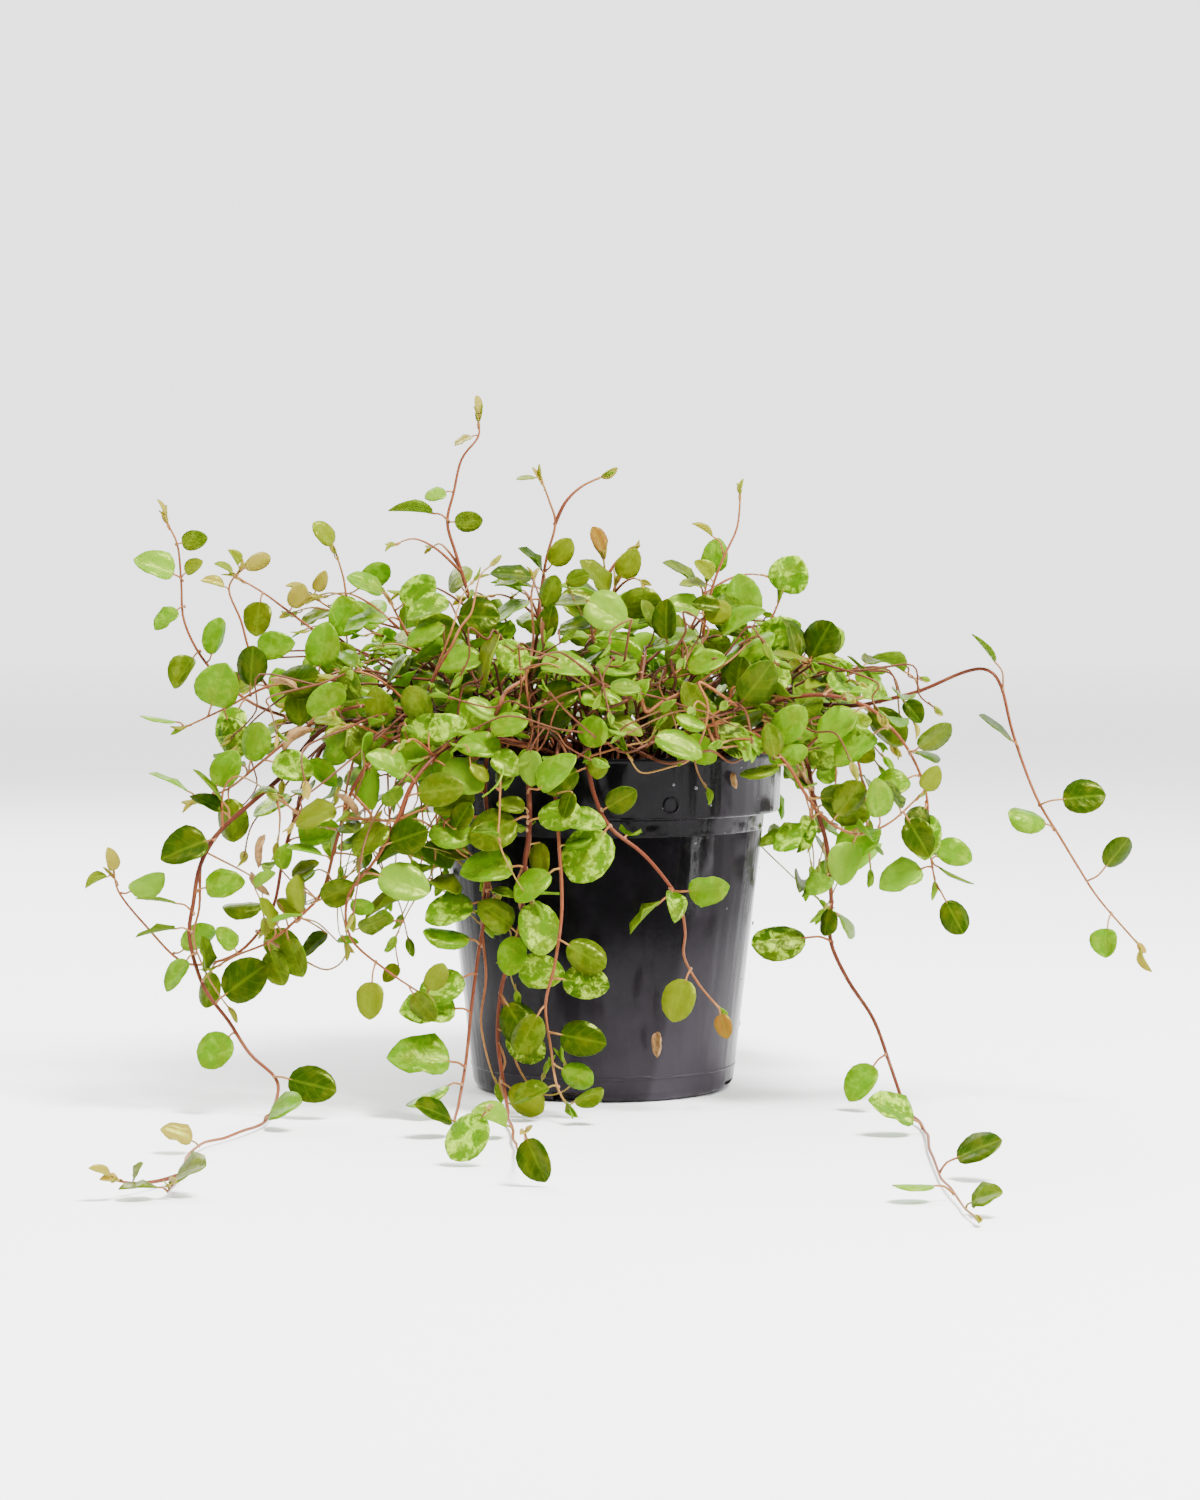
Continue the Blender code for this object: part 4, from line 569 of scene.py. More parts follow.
def pot_push(p, radius):
    """How far, and which way, a point on a stem moves to clear the pot and the surface below it."""
    push = Vector((0, 0, 0))
    across = from_middle(p)
    outwards = Vector((p.x, p.y, 0)) / max(across, 1e-6)
    room = radius + STEM_CLEARANCE
    rim_middle = RIM_RADIUS - WALL / 2
    from_rim = Vector((across - rim_middle, p.z - POT_HEIGHT))
    if from_rim.length < room + WALL:
        way = from_rim.normalized() if from_rim.length > 1e-6 else Vector((0, 1))
        lack = room + WALL - from_rim.length
        push += outwards * way.x * lack + UP * way.y * lack
    elif p.z < POT_HEIGHT:
        if across > rim_middle - 4 and across < outer_radius(p.z) + room:
            push += outwards * (outer_radius(p.z) + room - across)
        elif across < rim_middle and across > RIM_RADIUS - 2 * WALL - room and p.z > MIX_TOP:
            push -= outwards * (across - (RIM_RADIUS - 2 * WALL - room))
    lowest = radius + FLOOR_CLEARANCE
    if p.z < lowest:
        push += UP * (lowest - p.z)
    return push


def stem_samples(stems):
    samples = []
    for number, stem in enumerate(stems):
        for i in range(len(stem.points) - 1):
            a, b = stem.points[i], stem.points[i + 1]
            count = max(1, math.ceil((b - a).length / STEM_SAMPLE))
            for k in range(count):
                share = k / count
                radius = stem.radii[i] + (stem.radii[i + 1] - stem.radii[i]) * share
                samples.append((a.lerp(b, share), number, i, share, radius))
        samples.append((stem.points[-1].copy(), number, len(stem.points) - 2, 1.0, stem.radii[-1]))
    return samples


def bend_clear(stems):
    """Moves the stems' points, a little at a time, until no two shoots come too close."""
    for _ in range(BEND_SWEEPS):
        samples = stem_samples(stems)
        tree = KDTree(len(samples))
        for number, sample in enumerate(samples):
            tree.insert(sample[0], number)
        tree.balance()
        pushes = {}
        widest = 2 * STEM_RADIUS * 1.2 + STEM_CLEARANCE + STEM_SAMPLE
        for place, owner, i, share, radius in samples:
            wanted = Vector((0, 0, 0))
            for other_place, number, distance in tree.find_range(place, widest):
                _, other, _, _, other_radius = samples[number]
                room = radius + other_radius + STEM_CLEARANCE
                if stems[other].owner == stems[owner].owner or distance >= room:
                    continue
                way = (place - other_place).normalized() if distance > 1e-4 else UP
                wanted += way * (room - distance) * 0.6
            wanted += pot_push(place, radius)
            if wanted.length > 0:
                for index, weight in ((i, 1 - share), (i + 1, share)):
                    total, most = pushes.get((owner, index), (Vector((0, 0, 0)), 0.0))
                    pushes[owner, index] = (total + wanted * weight, most + weight)
        if not pushes:
            break
        for (owner, index), (total, most) in pushes.items():
            if not stems[owner].is_fixed(index):
                stems[owner].points[index] += total / max(most, 0.5)
        for stem in stems:
            if stem.parent is not None:
                stem.points[0] = stem.parent.point(stem.at)
    return stems


def along_stem(stem, first, last, spacing, steps=30):
    """Places from first to last on a stem, this far apart."""
    points = [stem.point(first + (last - first) * k / steps) for k in range(steps + 1)]
    length = sum((b - a).length for a, b in zip(points, points[1:]))
    return even_places(first, last, max(1, round(length / spacing)))


# Leaves: a strip of blade on a short stalk, turned until it clears every other shoot.
class Leaf:
    """A leaf's root on its stem, its directions, and its size, in millimetres."""

    def __init__(self, owner, root, way, face, length, stalk, ratio, curl):
        self.owner = owner
        self.root = root
        self.way = way.normalized()
        self.across = face.cross(self.way).normalized()
        self.face = self.way.cross(self.across)
        self.length = length
        self.stalk = max(2.0, stalk * length)
        self.is_stalked = stalk > LONG_STALK
        self.ratio = ratio
        self.curl = curl

    def blade_base(self):
        return self.root + (self.way + 0.35 * self.face).normalized() * self.stalk

    def spine(self, share):
        """A point on the blade's middle line: it bends gently back towards its tip."""
        drop = self.curl * self.length * share * share
        return self.blade_base() + self.way * self.length * share - self.face * drop


def blade_sections(item):
    """(middle point, half width) from the stalk's end to the blade's last pair, then the tip."""
    outline = LARGE_OUTLINE if item.length > LARGE_LEAF else PLAIN_OUTLINE
    sections = []
    if item.is_stalked:
        sections.append((item.blade_base(), STALK_HALF_WIDTH * 1.3))
    elif item.length > SMALL_LEAF:
        sections.append((item.root.lerp(item.blade_base(), 0.5), STALK_HALF_WIDTH * 1.3))
    sections += [(item.spine(share), half * item.ratio * item.length) for share, half in outline]
    return sections, item.spine(1.0)


def strip_shape(item, grown=0.0):
    """The leaf's open surface: a point in the stem, quads between the section pairs, and the tip."""
    sections, tip = blade_sections(item)
    points = [item.root - item.way * ROOT_DEPTH]
    for middle, half in sections:
        points += [middle - item.across * (half + grown), middle + item.across * (half + grown)]
    points.append(tip + item.way * grown)
    last = len(points) - 1
    faces = [(0, 1, 2)]
    faces += [(i, i + 2, i + 3, i + 1) for i in range(1, last - 2, 2)]
    faces.append((last - 2, last, last - 1))
    return points, faces


def leaf_body(item, grown, blade_only=False):
    """A closed shape round the leaf, or round its blade, for testing what it touches."""
    points, faces = strip_shape(item, grown)
    if blade_only:
        skipped = 2 if item.is_stalked or item.length > SMALL_LEAF else 0
        points = [item.spine(0.1), *points[1 + skipped:]]
        faces = faces[:len(faces) - skipped // 2 - 1]
        last = len(points) - 1
        faces[-1] = (last - 2, last, last - 1)
    count = len(points)
    rise = item.face * (BLADE_THICKNESS / 2 + grown)
    edge = [0, *range(1, count - 1, 2), count - 1, *range(count - 2, 0, -2)]
    sides = [(a, b, b + count, a + count) for a, b in zip(edge, [*edge[1:], edge[0]])]
    both = [p + rise for p in points] + [p - rise for p in points]
    return both, faces + [tuple(i + count for i in f) for f in faces] + sides


def ring_faces(rows, sides):
    """Quads between rows of points that run round a middle."""
    faces = []
    for i in range(rows - 1):
        for k in range(sides):
            a, b = i * sides + k, i * sides + (k + 1) % sides
            faces.append((a, b, b + sides, a + sides))
    return faces


def lathe_points(profile, sides):
    """A section turned round the middle: its points and faces."""
    points = [on_ring(radius, 360 * k / sides, height)
              for radius, height in profile for k in range(sides)]
    return points, ring_faces(len(profile), sides)


def tube_body(stem, grown, sides=4):
    """A plain prism round a stem, for testing what it touches."""
    points = []
    count = len(stem.points)
    for i, middle in enumerate(stem.points):
        ahead = stem.points[min(i + 1, count - 1)] - stem.points[max(i - 1, 0)]
        side = ahead.cross(UP if abs(ahead.normalized().z) < 0.9 else Vector((1, 0, 0))).normalized()
        other = ahead.cross(side).normalized()
        reach = (stem.radii[i] + grown) * math.sqrt(2)
        for k in range(sides):
            angle = 2 * math.pi * k / sides
            points.append(middle + side * math.cos(angle) * reach + other * math.sin(angle) * reach)
    return points, ring_faces(count, sides)


def pot_body():
    """The pot's outer and inner walls and the mix's top, for testing what touches them."""
    rings = [(BASE_RADIUS + 0.4, -1), (BODY_TOP_RADIUS + 0.4, BAND_BOTTOM - 0.4),
             (RIM_RADIUS + 0.4, BAND_BOTTOM - 0.4), (RIM_RADIUS + 0.4, POT_HEIGHT + 0.4),
             (RIM_RADIUS - WALL - 0.6, POT_HEIGHT + 0.4), (RIM_RADIUS - WALL - 1.6, MIX_TOP + 0.6),
             (0, MIX_TOP + MIX_CROWN + 0.8)]
    return lathe_points(rings, POT_SIDES)


class Body:
    """A closed shape with its box and search tree. A leaf's has its blade's tree too."""

    def __init__(self, owner, shape, blade=None):
        points, faces = shape
        self.owner = owner
        self.low = Vector(min(p[k] for p in points) for k in range(3))
        self.high = Vector(max(p[k] for p in points) for k in range(3))
        self.tree = BVHTree.FromPolygons(points, faces)
        self.blade = BVHTree.FromPolygons(*blade) if blade else None

    def is_apart(self, other):
        return any(self.low[k] > other.high[k] or self.high[k] < other.low[k] for k in range(3))

    def meets(self, other):
        """Whole shapes on two shoots may not meet. On one shoot, stalks may, but no blade."""
        if self.is_apart(other):
            return False
        if other.owner != self.owner:
            return bool(self.tree.overlap(other.tree))
        if self.blade.overlap(other.tree):
            return True
        return other.blade is not None and bool(self.tree.overlap(other.blade))


def leaf_test_body(item, clearance):
    return Body(item.owner, leaf_body(item, clearance), leaf_body(item, clearance, blade_only=True))


def is_within(point, box):
    low, high = box
    return all(a < p < b for a, p, b in zip(low, point, high))


def picture_way(heading, lean):
    """The direction that the viewer sees at this heading, tipped this far towards the viewer."""
    turned, tipped = math.radians(heading), math.radians(lean)
    return Vector((math.cos(turned) * math.cos(tipped), -math.sin(tipped),
                   math.sin(turned) * math.cos(tipped)))


def placed_leaf(stem, spec, nudge, draw):
    """The leaf that a picture entry asks for, turned aside by this nudge."""
    root = stem.point(spec["at"])
    turn, heading, size = nudge
    if root.z < SURFACE_LEAF_HEIGHT:
        flat = math.radians(spec["heading"] + heading)
        tipped = math.radians(spec["lean"])
        lies_flat = spec["turn"] > 60
        rise = 0.1 if lies_flat else LOW_RISE
        way = Vector((math.cos(flat) * math.cos(tipped), -math.sin(tipped), rise + abs(turn) / 200))
        face = UP.copy() if lies_flat else LOW_FACE.copy()
    else:
        way = picture_way(spec["heading"] + heading, spec["lean"])
        face = Matrix.Rotation(math.radians(spec["turn"] + turn), 3, way) @ VIEWER
    curl = draw.uniform(0.04, 0.16)
    length = spec["length"] * BLADE_SHARE * size
    made = Leaf(stem.owner, root, way, face, length, spec["stalk"], spec["ratio"], curl)
    made.spec = spec
    return made


def ruled_leaf(stem, at, side, draw, nudge):
    """A leaf of the plain rule: it stands off to one side of its stem and faces up and outwards."""
    root = stem.point(at)
    along = stem.direction(at)
    outwards = outwards_at(root)
    sideways = along.cross(UP if abs(along.z) < 0.85 else outwards).normalized()
    turn, heading, size = nudge
    way = sideways * side + along * draw.uniform(0.2, 0.7) + UP * draw.uniform(-0.1, 0.45)
    way = Matrix.Rotation(math.radians(2.2 * heading), 3, along) @ way
    face = UP * draw.uniform(0.4, 1.0) + outwards * draw.uniform(0.3, 1.0)
    face += sideways * draw.uniform(-0.35, 0.35)
    if root.z < SURFACE_LEAF_HEIGHT:
        way.z, face = max(0.08, 0.2 * way.z), UP.copy()
    face = Matrix.Rotation(math.radians(turn), 3, way.normalized()) @ face
    young = 1 - 0.35 * max(0.0, (at - stem.places[-1] + 1.5) / 1.5)
    length = LEAF_LENGTH * draw.uniform(0.78, 1.12) * young * size
    return Leaf(stem.owner, root, way, face, length, draw.uniform(0.14, 0.3),
                draw.uniform(0.68, 0.88), draw.uniform(0.04, 0.18))


NUDGES = [(0, 0, 1), (22, 0, 1), (-22, 0, 1), (0, 16, 1), (0, -16, 1), (25, 25, 0.95),
          (-25, -25, 0.95), (45, 10, 0.9), (-45, -10, 0.9), (20, 45, 0.9), (-20, -45, 0.9),
          (60, 30, 0.8), (-60, -30, 0.8), (10, 75, 0.8), (-10, -75, 0.8), (0, 110, 0.75),
          (0, -110, 0.75)]


def settle(make, nudges, clearance, lowest, bodies, leaves):
    """Adds the first try of a leaf that stands clear of every body. Without one it is left out."""
    for nudge in nudges:
        item = make(nudge)
        body = leaf_test_body(item, clearance)
        if body.low.z >= lowest and not any(body.meets(other) for other in bodies):
            bodies.append(body)
            leaves.append(item)
            return


def grow_leaves(stems):
    """All leaves, those seen in the picture first. One that can't stand clear is left out."""
    bodies = [Body("pot", pot_body())]
    bodies += [Body(stem.owner, tube_body(stem, LEAF_CLEARANCE)) for stem in stems]
    leaves = []
    rule = (NUDGES, LEAF_CLEARANCE, FLOOR_CLEARANCE - LEAF_CLEARANCE, bodies, leaves)
    for number, stem in enumerate(stems):
        for k, spec in enumerate(stem.spec["leaves"]):
            series = SHOWN_DRAWS + 50 * number
            settle(lambda nudge: placed_leaf(stem, spec, nudge, own_draw(series, k)), *rule)
    for number, stem in enumerate(stems):
        if stem.spec["leafy"] is None:
            continue
        for k, at in enumerate(along_stem(stem, *stem.spec["leafy"], LEAF_SPACING, steps=20)):
            side = 1 if k % 2 else -1
            series = RULED_DRAWS + 50 * number
            settle(lambda nudge: ruled_leaf(stem, at, side, own_draw(series, k), nudge), *rule)
    return leaves


# What the solids leave out: runners, fine twigs, undergrowth, small leaves, tips and dead leaves.
TWIGS_PER_SHOOT = 2
TWIG_LENGTH = 26.0
FINE_RADIUS = 0.42
FINE_LEAF = 8.5
FINE_LEAF_SPACING = 8.0
FILL_SPACING = 17.0
FILL_LEAF = 11.0
FINE_CLEARANCE = 0.05
SMALL_TURNS = (0, 28, -28, 55, -55)
SMALL_LOWEST = 0.3
CROWN_REACH = 92.0
FILL_REACH = 122.0
FILL_LOWEST = 56.0
FILL_HIGHEST = 154.0
FILL_SLOPE = 55.0
RUNNERS = 11
KINK = 2.2
RUNNER_LEAF_SPACING = 15.0
UNDERGROWTH = 46
UNDERGROWTH_LEAF_SPACING = 9.0
RIM_RUNNERS = 15
DEEP_RUNNERS = 20
# How many short strands hang over the rim between two angles: front left, and all of the back.
DRAPES = ((172, 244, 10), (-18, 168, 15))
# Bare wires of the crown: from angle, to angle, count, least and most reach, least and most height.
WIRES = ((172, 226, 15, 82, 116, 80, 134), (226, 318, 19, 52, 66, 112, 148),
         (318, 375, 11, 76, 104, 88, 132))
# A box at the crown's right where most small leaves are left out, and the share left out.
BARE_PATCH = (Vector((2, -70, 103)), Vector((52, 5, 142)))
BARE_SHARE = 0.6
# A bare strand starts on the nearest stem. Its own first point is left out where it is this near.
ROOT_SNAP = 12.0
# The share of its listed radius that a bare strand starts with.
STRAND_SHARE = 0.85
# How far the dome's front reaches towards the viewer: this much up to its middle height, and less
# above it. Left of where its side starts it has one depth. The box is kept for its listed leaves.
FRONT_REACH = 68.0
FRONT_SLOPE = 0.55
FRONT_MIDDLE = 108.0
SIDE_START = -62
SIDE_DEPTH = -57.0
FRONT_ZONE = (Vector((-62, -90, 97)), Vector((62, -32, 157)))
# Tips farther out or higher than this are younger. Leaves higher than this turn olive.
TIP_DOME_REACH = 88.0
TIP_DOME_TOP = 146.0
OLIVE_HEIGHT = 132.0
# Steps that spread the youth and the paleness of the tips evenly.
YOUTH_STEP = 0.618
PALE_STEP = 0.755
# Bare strands that the picture shows between the shoots. Each has its first and last depth, its
# radius and its route in X and Z, in millimetres.
YOUNG_STRANDS = (
    (-60, -44, 0.72, ((5.5, 118.5), (12.5, 118), (18, 120.5), (25.5, 125), (33, 129.5), (38.5, 134),
                      (44, 139))),
    (-46, -30, 0.62, ((9.5, 129.5), (11, 126), (15.5, 125), (22.5, 130), (26.5, 135.5), (29, 141.5),
                      (30, 149))),
    (-60, -32, 0.85, ((-30.5, 120), (-28, 123.5), (-24, 127), (-21.5, 133), (-21, 141), (-21, 150.5),
                      (-20.5, 157))),
    (-56, -60, 0.5, ((-23, 128), (-20, 131), (-16.5, 132.5), (-12, 130), (-6, 126.5), (-1.5, 123))),
    (-58, -62, 0.55, ((28.5, 126.5), (31, 120), (29.5, 113), (27.5, 107.5), (25, 104), (19, 101.5),
                      (11.5, 100), (8.5, 103.5), (7, 106.5))),
    (-56, -50, 0.55, ((30, 107), (33.5, 108), (39.5, 107.5), (47.5, 107), (58, 110))),
    (-60, -60, 0.55, ((-42.5, 111.5), (-45, 109), (-48.5, 106.5), (-53, 104))),
    (-58, -58, 0.6, ((-66, 92.5), (-68, 88), (-69.5, 85), (-69.5, 82), (-70.5, 77.5), (-72, 72),
                     (-76.5, 69))),
    (-58, -52, 0.42, ((-76.5, 69), (-81, 65), (-85.5, 62), (-89, 60.5))),
    (-58, -58, 0.36, ((-76.5, 68.5), (-77.5, 64), (-78, 59), (-77, 53), (-75.5, 50))),
    (-55, -55, 0.42, ((-94.5, 92), (-89, 88.5), (-84.5, 87.5), (-80, 89), (-79, 91.5))),
    (-55, -55, 0.42, ((-84, 86), (-81, 84), (-77, 83), (-72, 84.5), (-68.5, 85.5))),
    (-58, -60, 0.55, ((-68, 85.5), (-61, 85.5), (-54.5, 86), (-49, 84), (-43, 80), (-38.5, 76),
                      (-35.5, 73.5), (-35, 69))),
    (-50, -50, 0.45, ((-99.5, 53), (-91.5, 45.5), (-81.5, 41.5), (-75.5, 48.5), (-78.5, 67.5),
                      (-72.5, 74.5))),
    (-52, -52, 0.4, ((-104.5, 70), (-101.5, 66), (-100, 55.5))),
    (-48, -48, 0.4, ((-72.5, 74.5), (-80, 64.5), (-93, 58.5), (-98.5, 53.5))),
    (-52, -52, 0.42, ((-95.5, 95), (-90, 88), (-81.5, 83.5), (-70, 85))),
    (-60, -60, 0.54, ((-22, 93.5), (-21.5, 78.5), (-25, 67), (-23.5, 54.5), (-27, 43.5), (-25.5, 35.5))),
    (-62, -62, 0.56, ((-46.5, 86.5), (-42.5, 78.5), (-35.5, 72.5), (-32.5, 64.5), (-27, 53.5),
                      (-28.5, 48))),
    (-60, -60, 0.5, ((-34, 35.5), (-27.5, 27), (-25.5, 16), (-21.5, 7.5), (-14.5, 5), (-9.5, 9),
                     (-11.5, 16))),
    (-62, -62, 0.46, ((-32.5, 21.5), (-28.5, 16), (-30.5, 9), (-27, 3.5), (-20, 6), (-17, 13))),
)
OLD_STRANDS = (
    (-50, -40, 0.6, ((-45, 137.5), (-42, 142), (-39.5, 147), (-37.5, 153), (-36.5, 158.5), (-33, 161))),
    (-50, -40, 0.5, ((-45, 142), (-43, 148), (-41.5, 152.5), (-38, 157))),
    (-58, -58, 0.45, ((-74.5, 92), (-73, 88.5), (-69.5, 85.5), (-73.5, 78), (-76, 70))),
    (-60, -60, 0.66, ((-59.5, 92.5), (-58.5, 88), (-59, 82.5), (-58, 78), (-55.5, 73.5))),
    (-60, -60, 0.4, ((-55.5, 95.5), (-58, 91), (-58.5, 86.5), (-57, 81.5), (-54.5, 79), (-48.5, 77.5),
                     (-44, 75.5), (-41.5, 73.5))),
    (-60, -56, 0.5, ((-62.5, 86.5), (-56.5, 88), (-51.5, 90), (-47, 93.5), (-42, 97), (-38, 99))),
    (-50, -50, 0.5, ((-116.5, 88.5), (-112.5, 93.5), (-108, 98.5), (-102.5, 96), (-99, 93.5))),
    (-52, -52, 0.55, ((-95, 93.5), (-95, 89), (-95.5, 83.5), (-96, 78))),
    (-52, -48, 0.5, ((28.5, 117), (37.5, 116.5), (44, 115.5), (51, 113.5), (55.5, 110.5))),
    (-50, -50, 0.5, ((34.5, 129.5), (39, 125), (44, 123.5), (49, 122.5), (54, 122), (57, 117.5),
                     (55, 112.5))),
    (-58, -58, 0.45, ((-1, 105.5), (6.5, 107.5), (13, 109.5), (15.5, 113.5))),
    (-46, -46, 0.62, ((-116.5, 85), (-119, 74.5), (-120, 60), (-121.5, 50), (-117.5, 38.5), (-111, 29))),
    (-60, -60, 0.62, ((-37, 71.5), (-36, 57.5), (-34.5, 41), (-35.5, 27), (-33.5, 16), (-31, 7.5))),
)


def strand(owner, points, thick, thin, parent=None, at=0):
    """A fine stem that carries no listed leaves."""
    made = Stem(owner, points, thick, thin, parent, at)
    made.spec = {"leaves": [], "leafy": None}
    return made


def ring_route(*steps):
    """A route round the pot, each step its distance from the middle, angle and height."""
    return [Vector(on_ring(*step)) for step in steps]


def fine_twigs(stems):
    """Thin side twigs on the shoots' upper stretches, over and round the pot."""
    twigs = []
    for number, stem in enumerate(s for s in stems if s.parent is None):
        draw = own_draw(TWIG_DRAWS, number)
        for k in range(TWIGS_PER_SHOOT):
            last = min(stem.places[-1] - 0.4, 4.6)
            at = draw.uniform(1.0, max(1.1, last))
            root = stem.point(at)
            if from_middle(root) > CROWN_REACH or root.z < MIX_TOP + 6:
                continue
            aside = Matrix.Rotation(draw.uniform(-1.3, 1.3), 3, "Z") @ outwards_at(root)
            length = TWIG_LENGTH * draw.uniform(0.6, 1.25)
            rise = draw.uniform(0.1, 0.9)
            points = [root, root + (aside + UP * rise) * length * 0.32,
                      root + (aside * 1.9 + UP * (rise * 1.5)) * length * 0.32,
                      root + (aside * 2.7 + UP * (rise * 1.4 - 0.1)) * length * 0.32]
            twigs.append(strand(stem.owner, points, FINE_RADIUS * 1.2, FINE_RADIUS * 0.8, stem, at))
    return twigs


def kinked(points, draw):
    """The points with another between each two, all but the first a little aside, as joints bend."""
    joints = [points[0]]
    for a, b in zip(points, points[1:]):
        joints += [a.lerp(b, draw.uniform(0.35, 0.65)), b]
    for joint in joints[1:]:
        joint += Vector([draw.uniform(-KINK, KINK) for _ in range(3)])
    return joints


def crown_runners():
    """Thin bare runners that weave through the crown, low over the mix."""
    runners = []
    for k in range(RUNNERS):
        draw = own_draw(RUNNER_DRAWS, k)
        angle = k * GOLDEN_ANGLE
        sweep = draw.choice((-1, 1)) * draw.uniform(60, 130)
        height = MIX_TOP + 5 + draw.uniform(0, 20)
        points = ring_route((draw.uniform(12, 38), angle, MIX_TOP - 1),
                            (draw.uniform(26, 44), angle + 0.2 * sweep, height),
                            (draw.uniform(38, 58), angle + 0.5 * sweep, height + draw.uniform(4, 18)),
                            (draw.uniform(50, 66), angle + 0.8 * sweep, height + draw.uniform(4, 20)),
                            (draw.uniform(60, 82), angle + sweep, height + draw.uniform(-2, 18)))
        runners.append(strand("runners", kinked(points, draw), STEM_RADIUS * 0.75, FINE_RADIUS))
    return runners


def rim_runners():
    """Runners just above the rim, round its left, its front and its right."""
    runners = []
    for draw, angle in spread_round(RIM_DRAWS, -205, 25, RIM_RUNNERS):
        sweep = draw.choice((-1, 1)) * draw.uniform(35, 80)
        height = MIX_TOP + draw.uniform(11, 26)
        points = ring_route((draw.uniform(18, 34), angle, MIX_TOP - 1),
                            (draw.uniform(44, 52), angle + 0.1 * sweep, height - 2),
                            *((draw.uniform(55, 69), angle + share * sweep, height + draw.uniform(-6, 6))
                              for share in (0.32, 0.55, 0.78)),
                            (draw.uniform(66, 84), angle + sweep, height + draw.uniform(-12, 14)))
        runners.append(strand("runners", kinked(points, draw), STEM_RADIUS * 0.75, FINE_RADIUS))
    return runners


def deep_runners():
    """Runners that rise within the front of the dome."""
    runners = []
    for draw, angle in spread_round(DEEP_DRAWS, 180, 360, DEEP_RUNNERS):
        sweep = draw.choice((-1, 1)) * draw.uniform(40, 80)
        points = ring_route((draw.uniform(14, 30), angle, MIX_TOP - 1),
                            *((30 + 24 * share + draw.uniform(-4, 4), angle + share * sweep,
                               MIX_TOP + 6 + 30 * share + draw.uniform(-5, 7))
                              for share in (0.25, 0.5, 0.75, 1.0)))
        runners.append(strand("runners", kinked(points, draw), STEM_RADIUS * 0.7, FINE_RADIUS))
    return runners


def drapes():
    """Short fine strands that hang over the rim."""
    hung = []
    for first, last, count in DRAPES:
        for draw, angle in spread_round(DRAPE_DRAWS + first, first, last, count):
            reach, end = draw.uniform(60, 80), draw.uniform(48, 78)
            points = ring_route(
                (36, angle, MIX_TOP + 4),
                (50, angle + draw.uniform(-8, 8), draw.uniform(108, 120)),
                (reach - 5, angle + draw.uniform(-8, 8), draw.uniform(98, 110)),
                (reach, angle + draw.uniform(-10, 10), 0.4 * POT_HEIGHT + 0.6 * end),
                (reach + draw.uniform(-8, 8), angle + draw.uniform(-14, 14), end))
            hung.append(strand("drapes", kinked(points, draw), STEM_RADIUS * 0.65, FINE_RADIUS * 0.8))
    return hung


def crown_wires():
    """Bare wiry strands that rise from the mix and arch over the crown and its two sides."""
    wires = []
    for first, last, count, near, far, low, high in WIRES:
        for draw, angle in spread_round(WIRE_DRAWS + first, first, last, count):
            reach, height = draw.uniform(near, far), draw.uniform(low, high)
            turn = draw.uniform(-9, 9)
            points = ring_route(
                (draw.uniform(16, 32), angle - turn, MIX_TOP - 1),
                (draw.uniform(36, 46), angle, MIX_TOP + draw.uniform(14, 28)),
                (25 + 0.5 * reach, angle + 0.5 * turn, 58 + 0.5 * height + draw.uniform(0, 12)),
                (reach, angle + turn, height),
                (reach + draw.uniform(2, 10), angle + 1.6 * turn, height - draw.uniform(4, 20)))
            wires.append(strand("runners", kinked(points, draw), draw.uniform(0.45, 0.6), FINE_RADIUS))
    return wires


def undergrowth():
    """Short leafy stems that stand low in the middle of the pot, under the shoots."""
    sprigs = []
    for k in range(UNDERGROWTH):
        draw = own_draw(SPRIG_DRAWS, k)
        angle = k * GOLDEN_ANGLE + draw.uniform(-15, 15)
        reach = 47 * math.sqrt((k + 0.5) / UNDERGROWTH)
        top = draw.uniform(12, 32)
        points = ring_route(*((reach * (0.8 + 0.14 * step), angle + 9 * step * draw.uniform(-1, 1),
                               MIX_TOP - 1 + top * step / 3) for step in range(4)))
        sprigs.append(strand("undergrowth", points, STEM_RADIUS * 0.7, FINE_RADIUS))
    return sprigs


def bare_strands(owner, listed, stems):
    """The listed strands, each grown from the stem that is nearest to its start."""
    anchors = [stem.point(at) for stem in stems for at in along_stem(stem, 0.3, stem.places[-1], 3)]
    strands = []
    for first, last, radius, route in listed:
        points = [Vector((x, first + (last - first) * k / (len(route) - 1), z))
                  for k, (x, z) in enumerate(route)]
        root = min(anchors, key=lambda place: (place - points[0]).length)
        if (root - points[0]).length < ROOT_SNAP:
            points = points[1:]
        strands.append(strand(owner, [root] + points, STRAND_SHARE * radius, 0.6 * radius))
    return strands


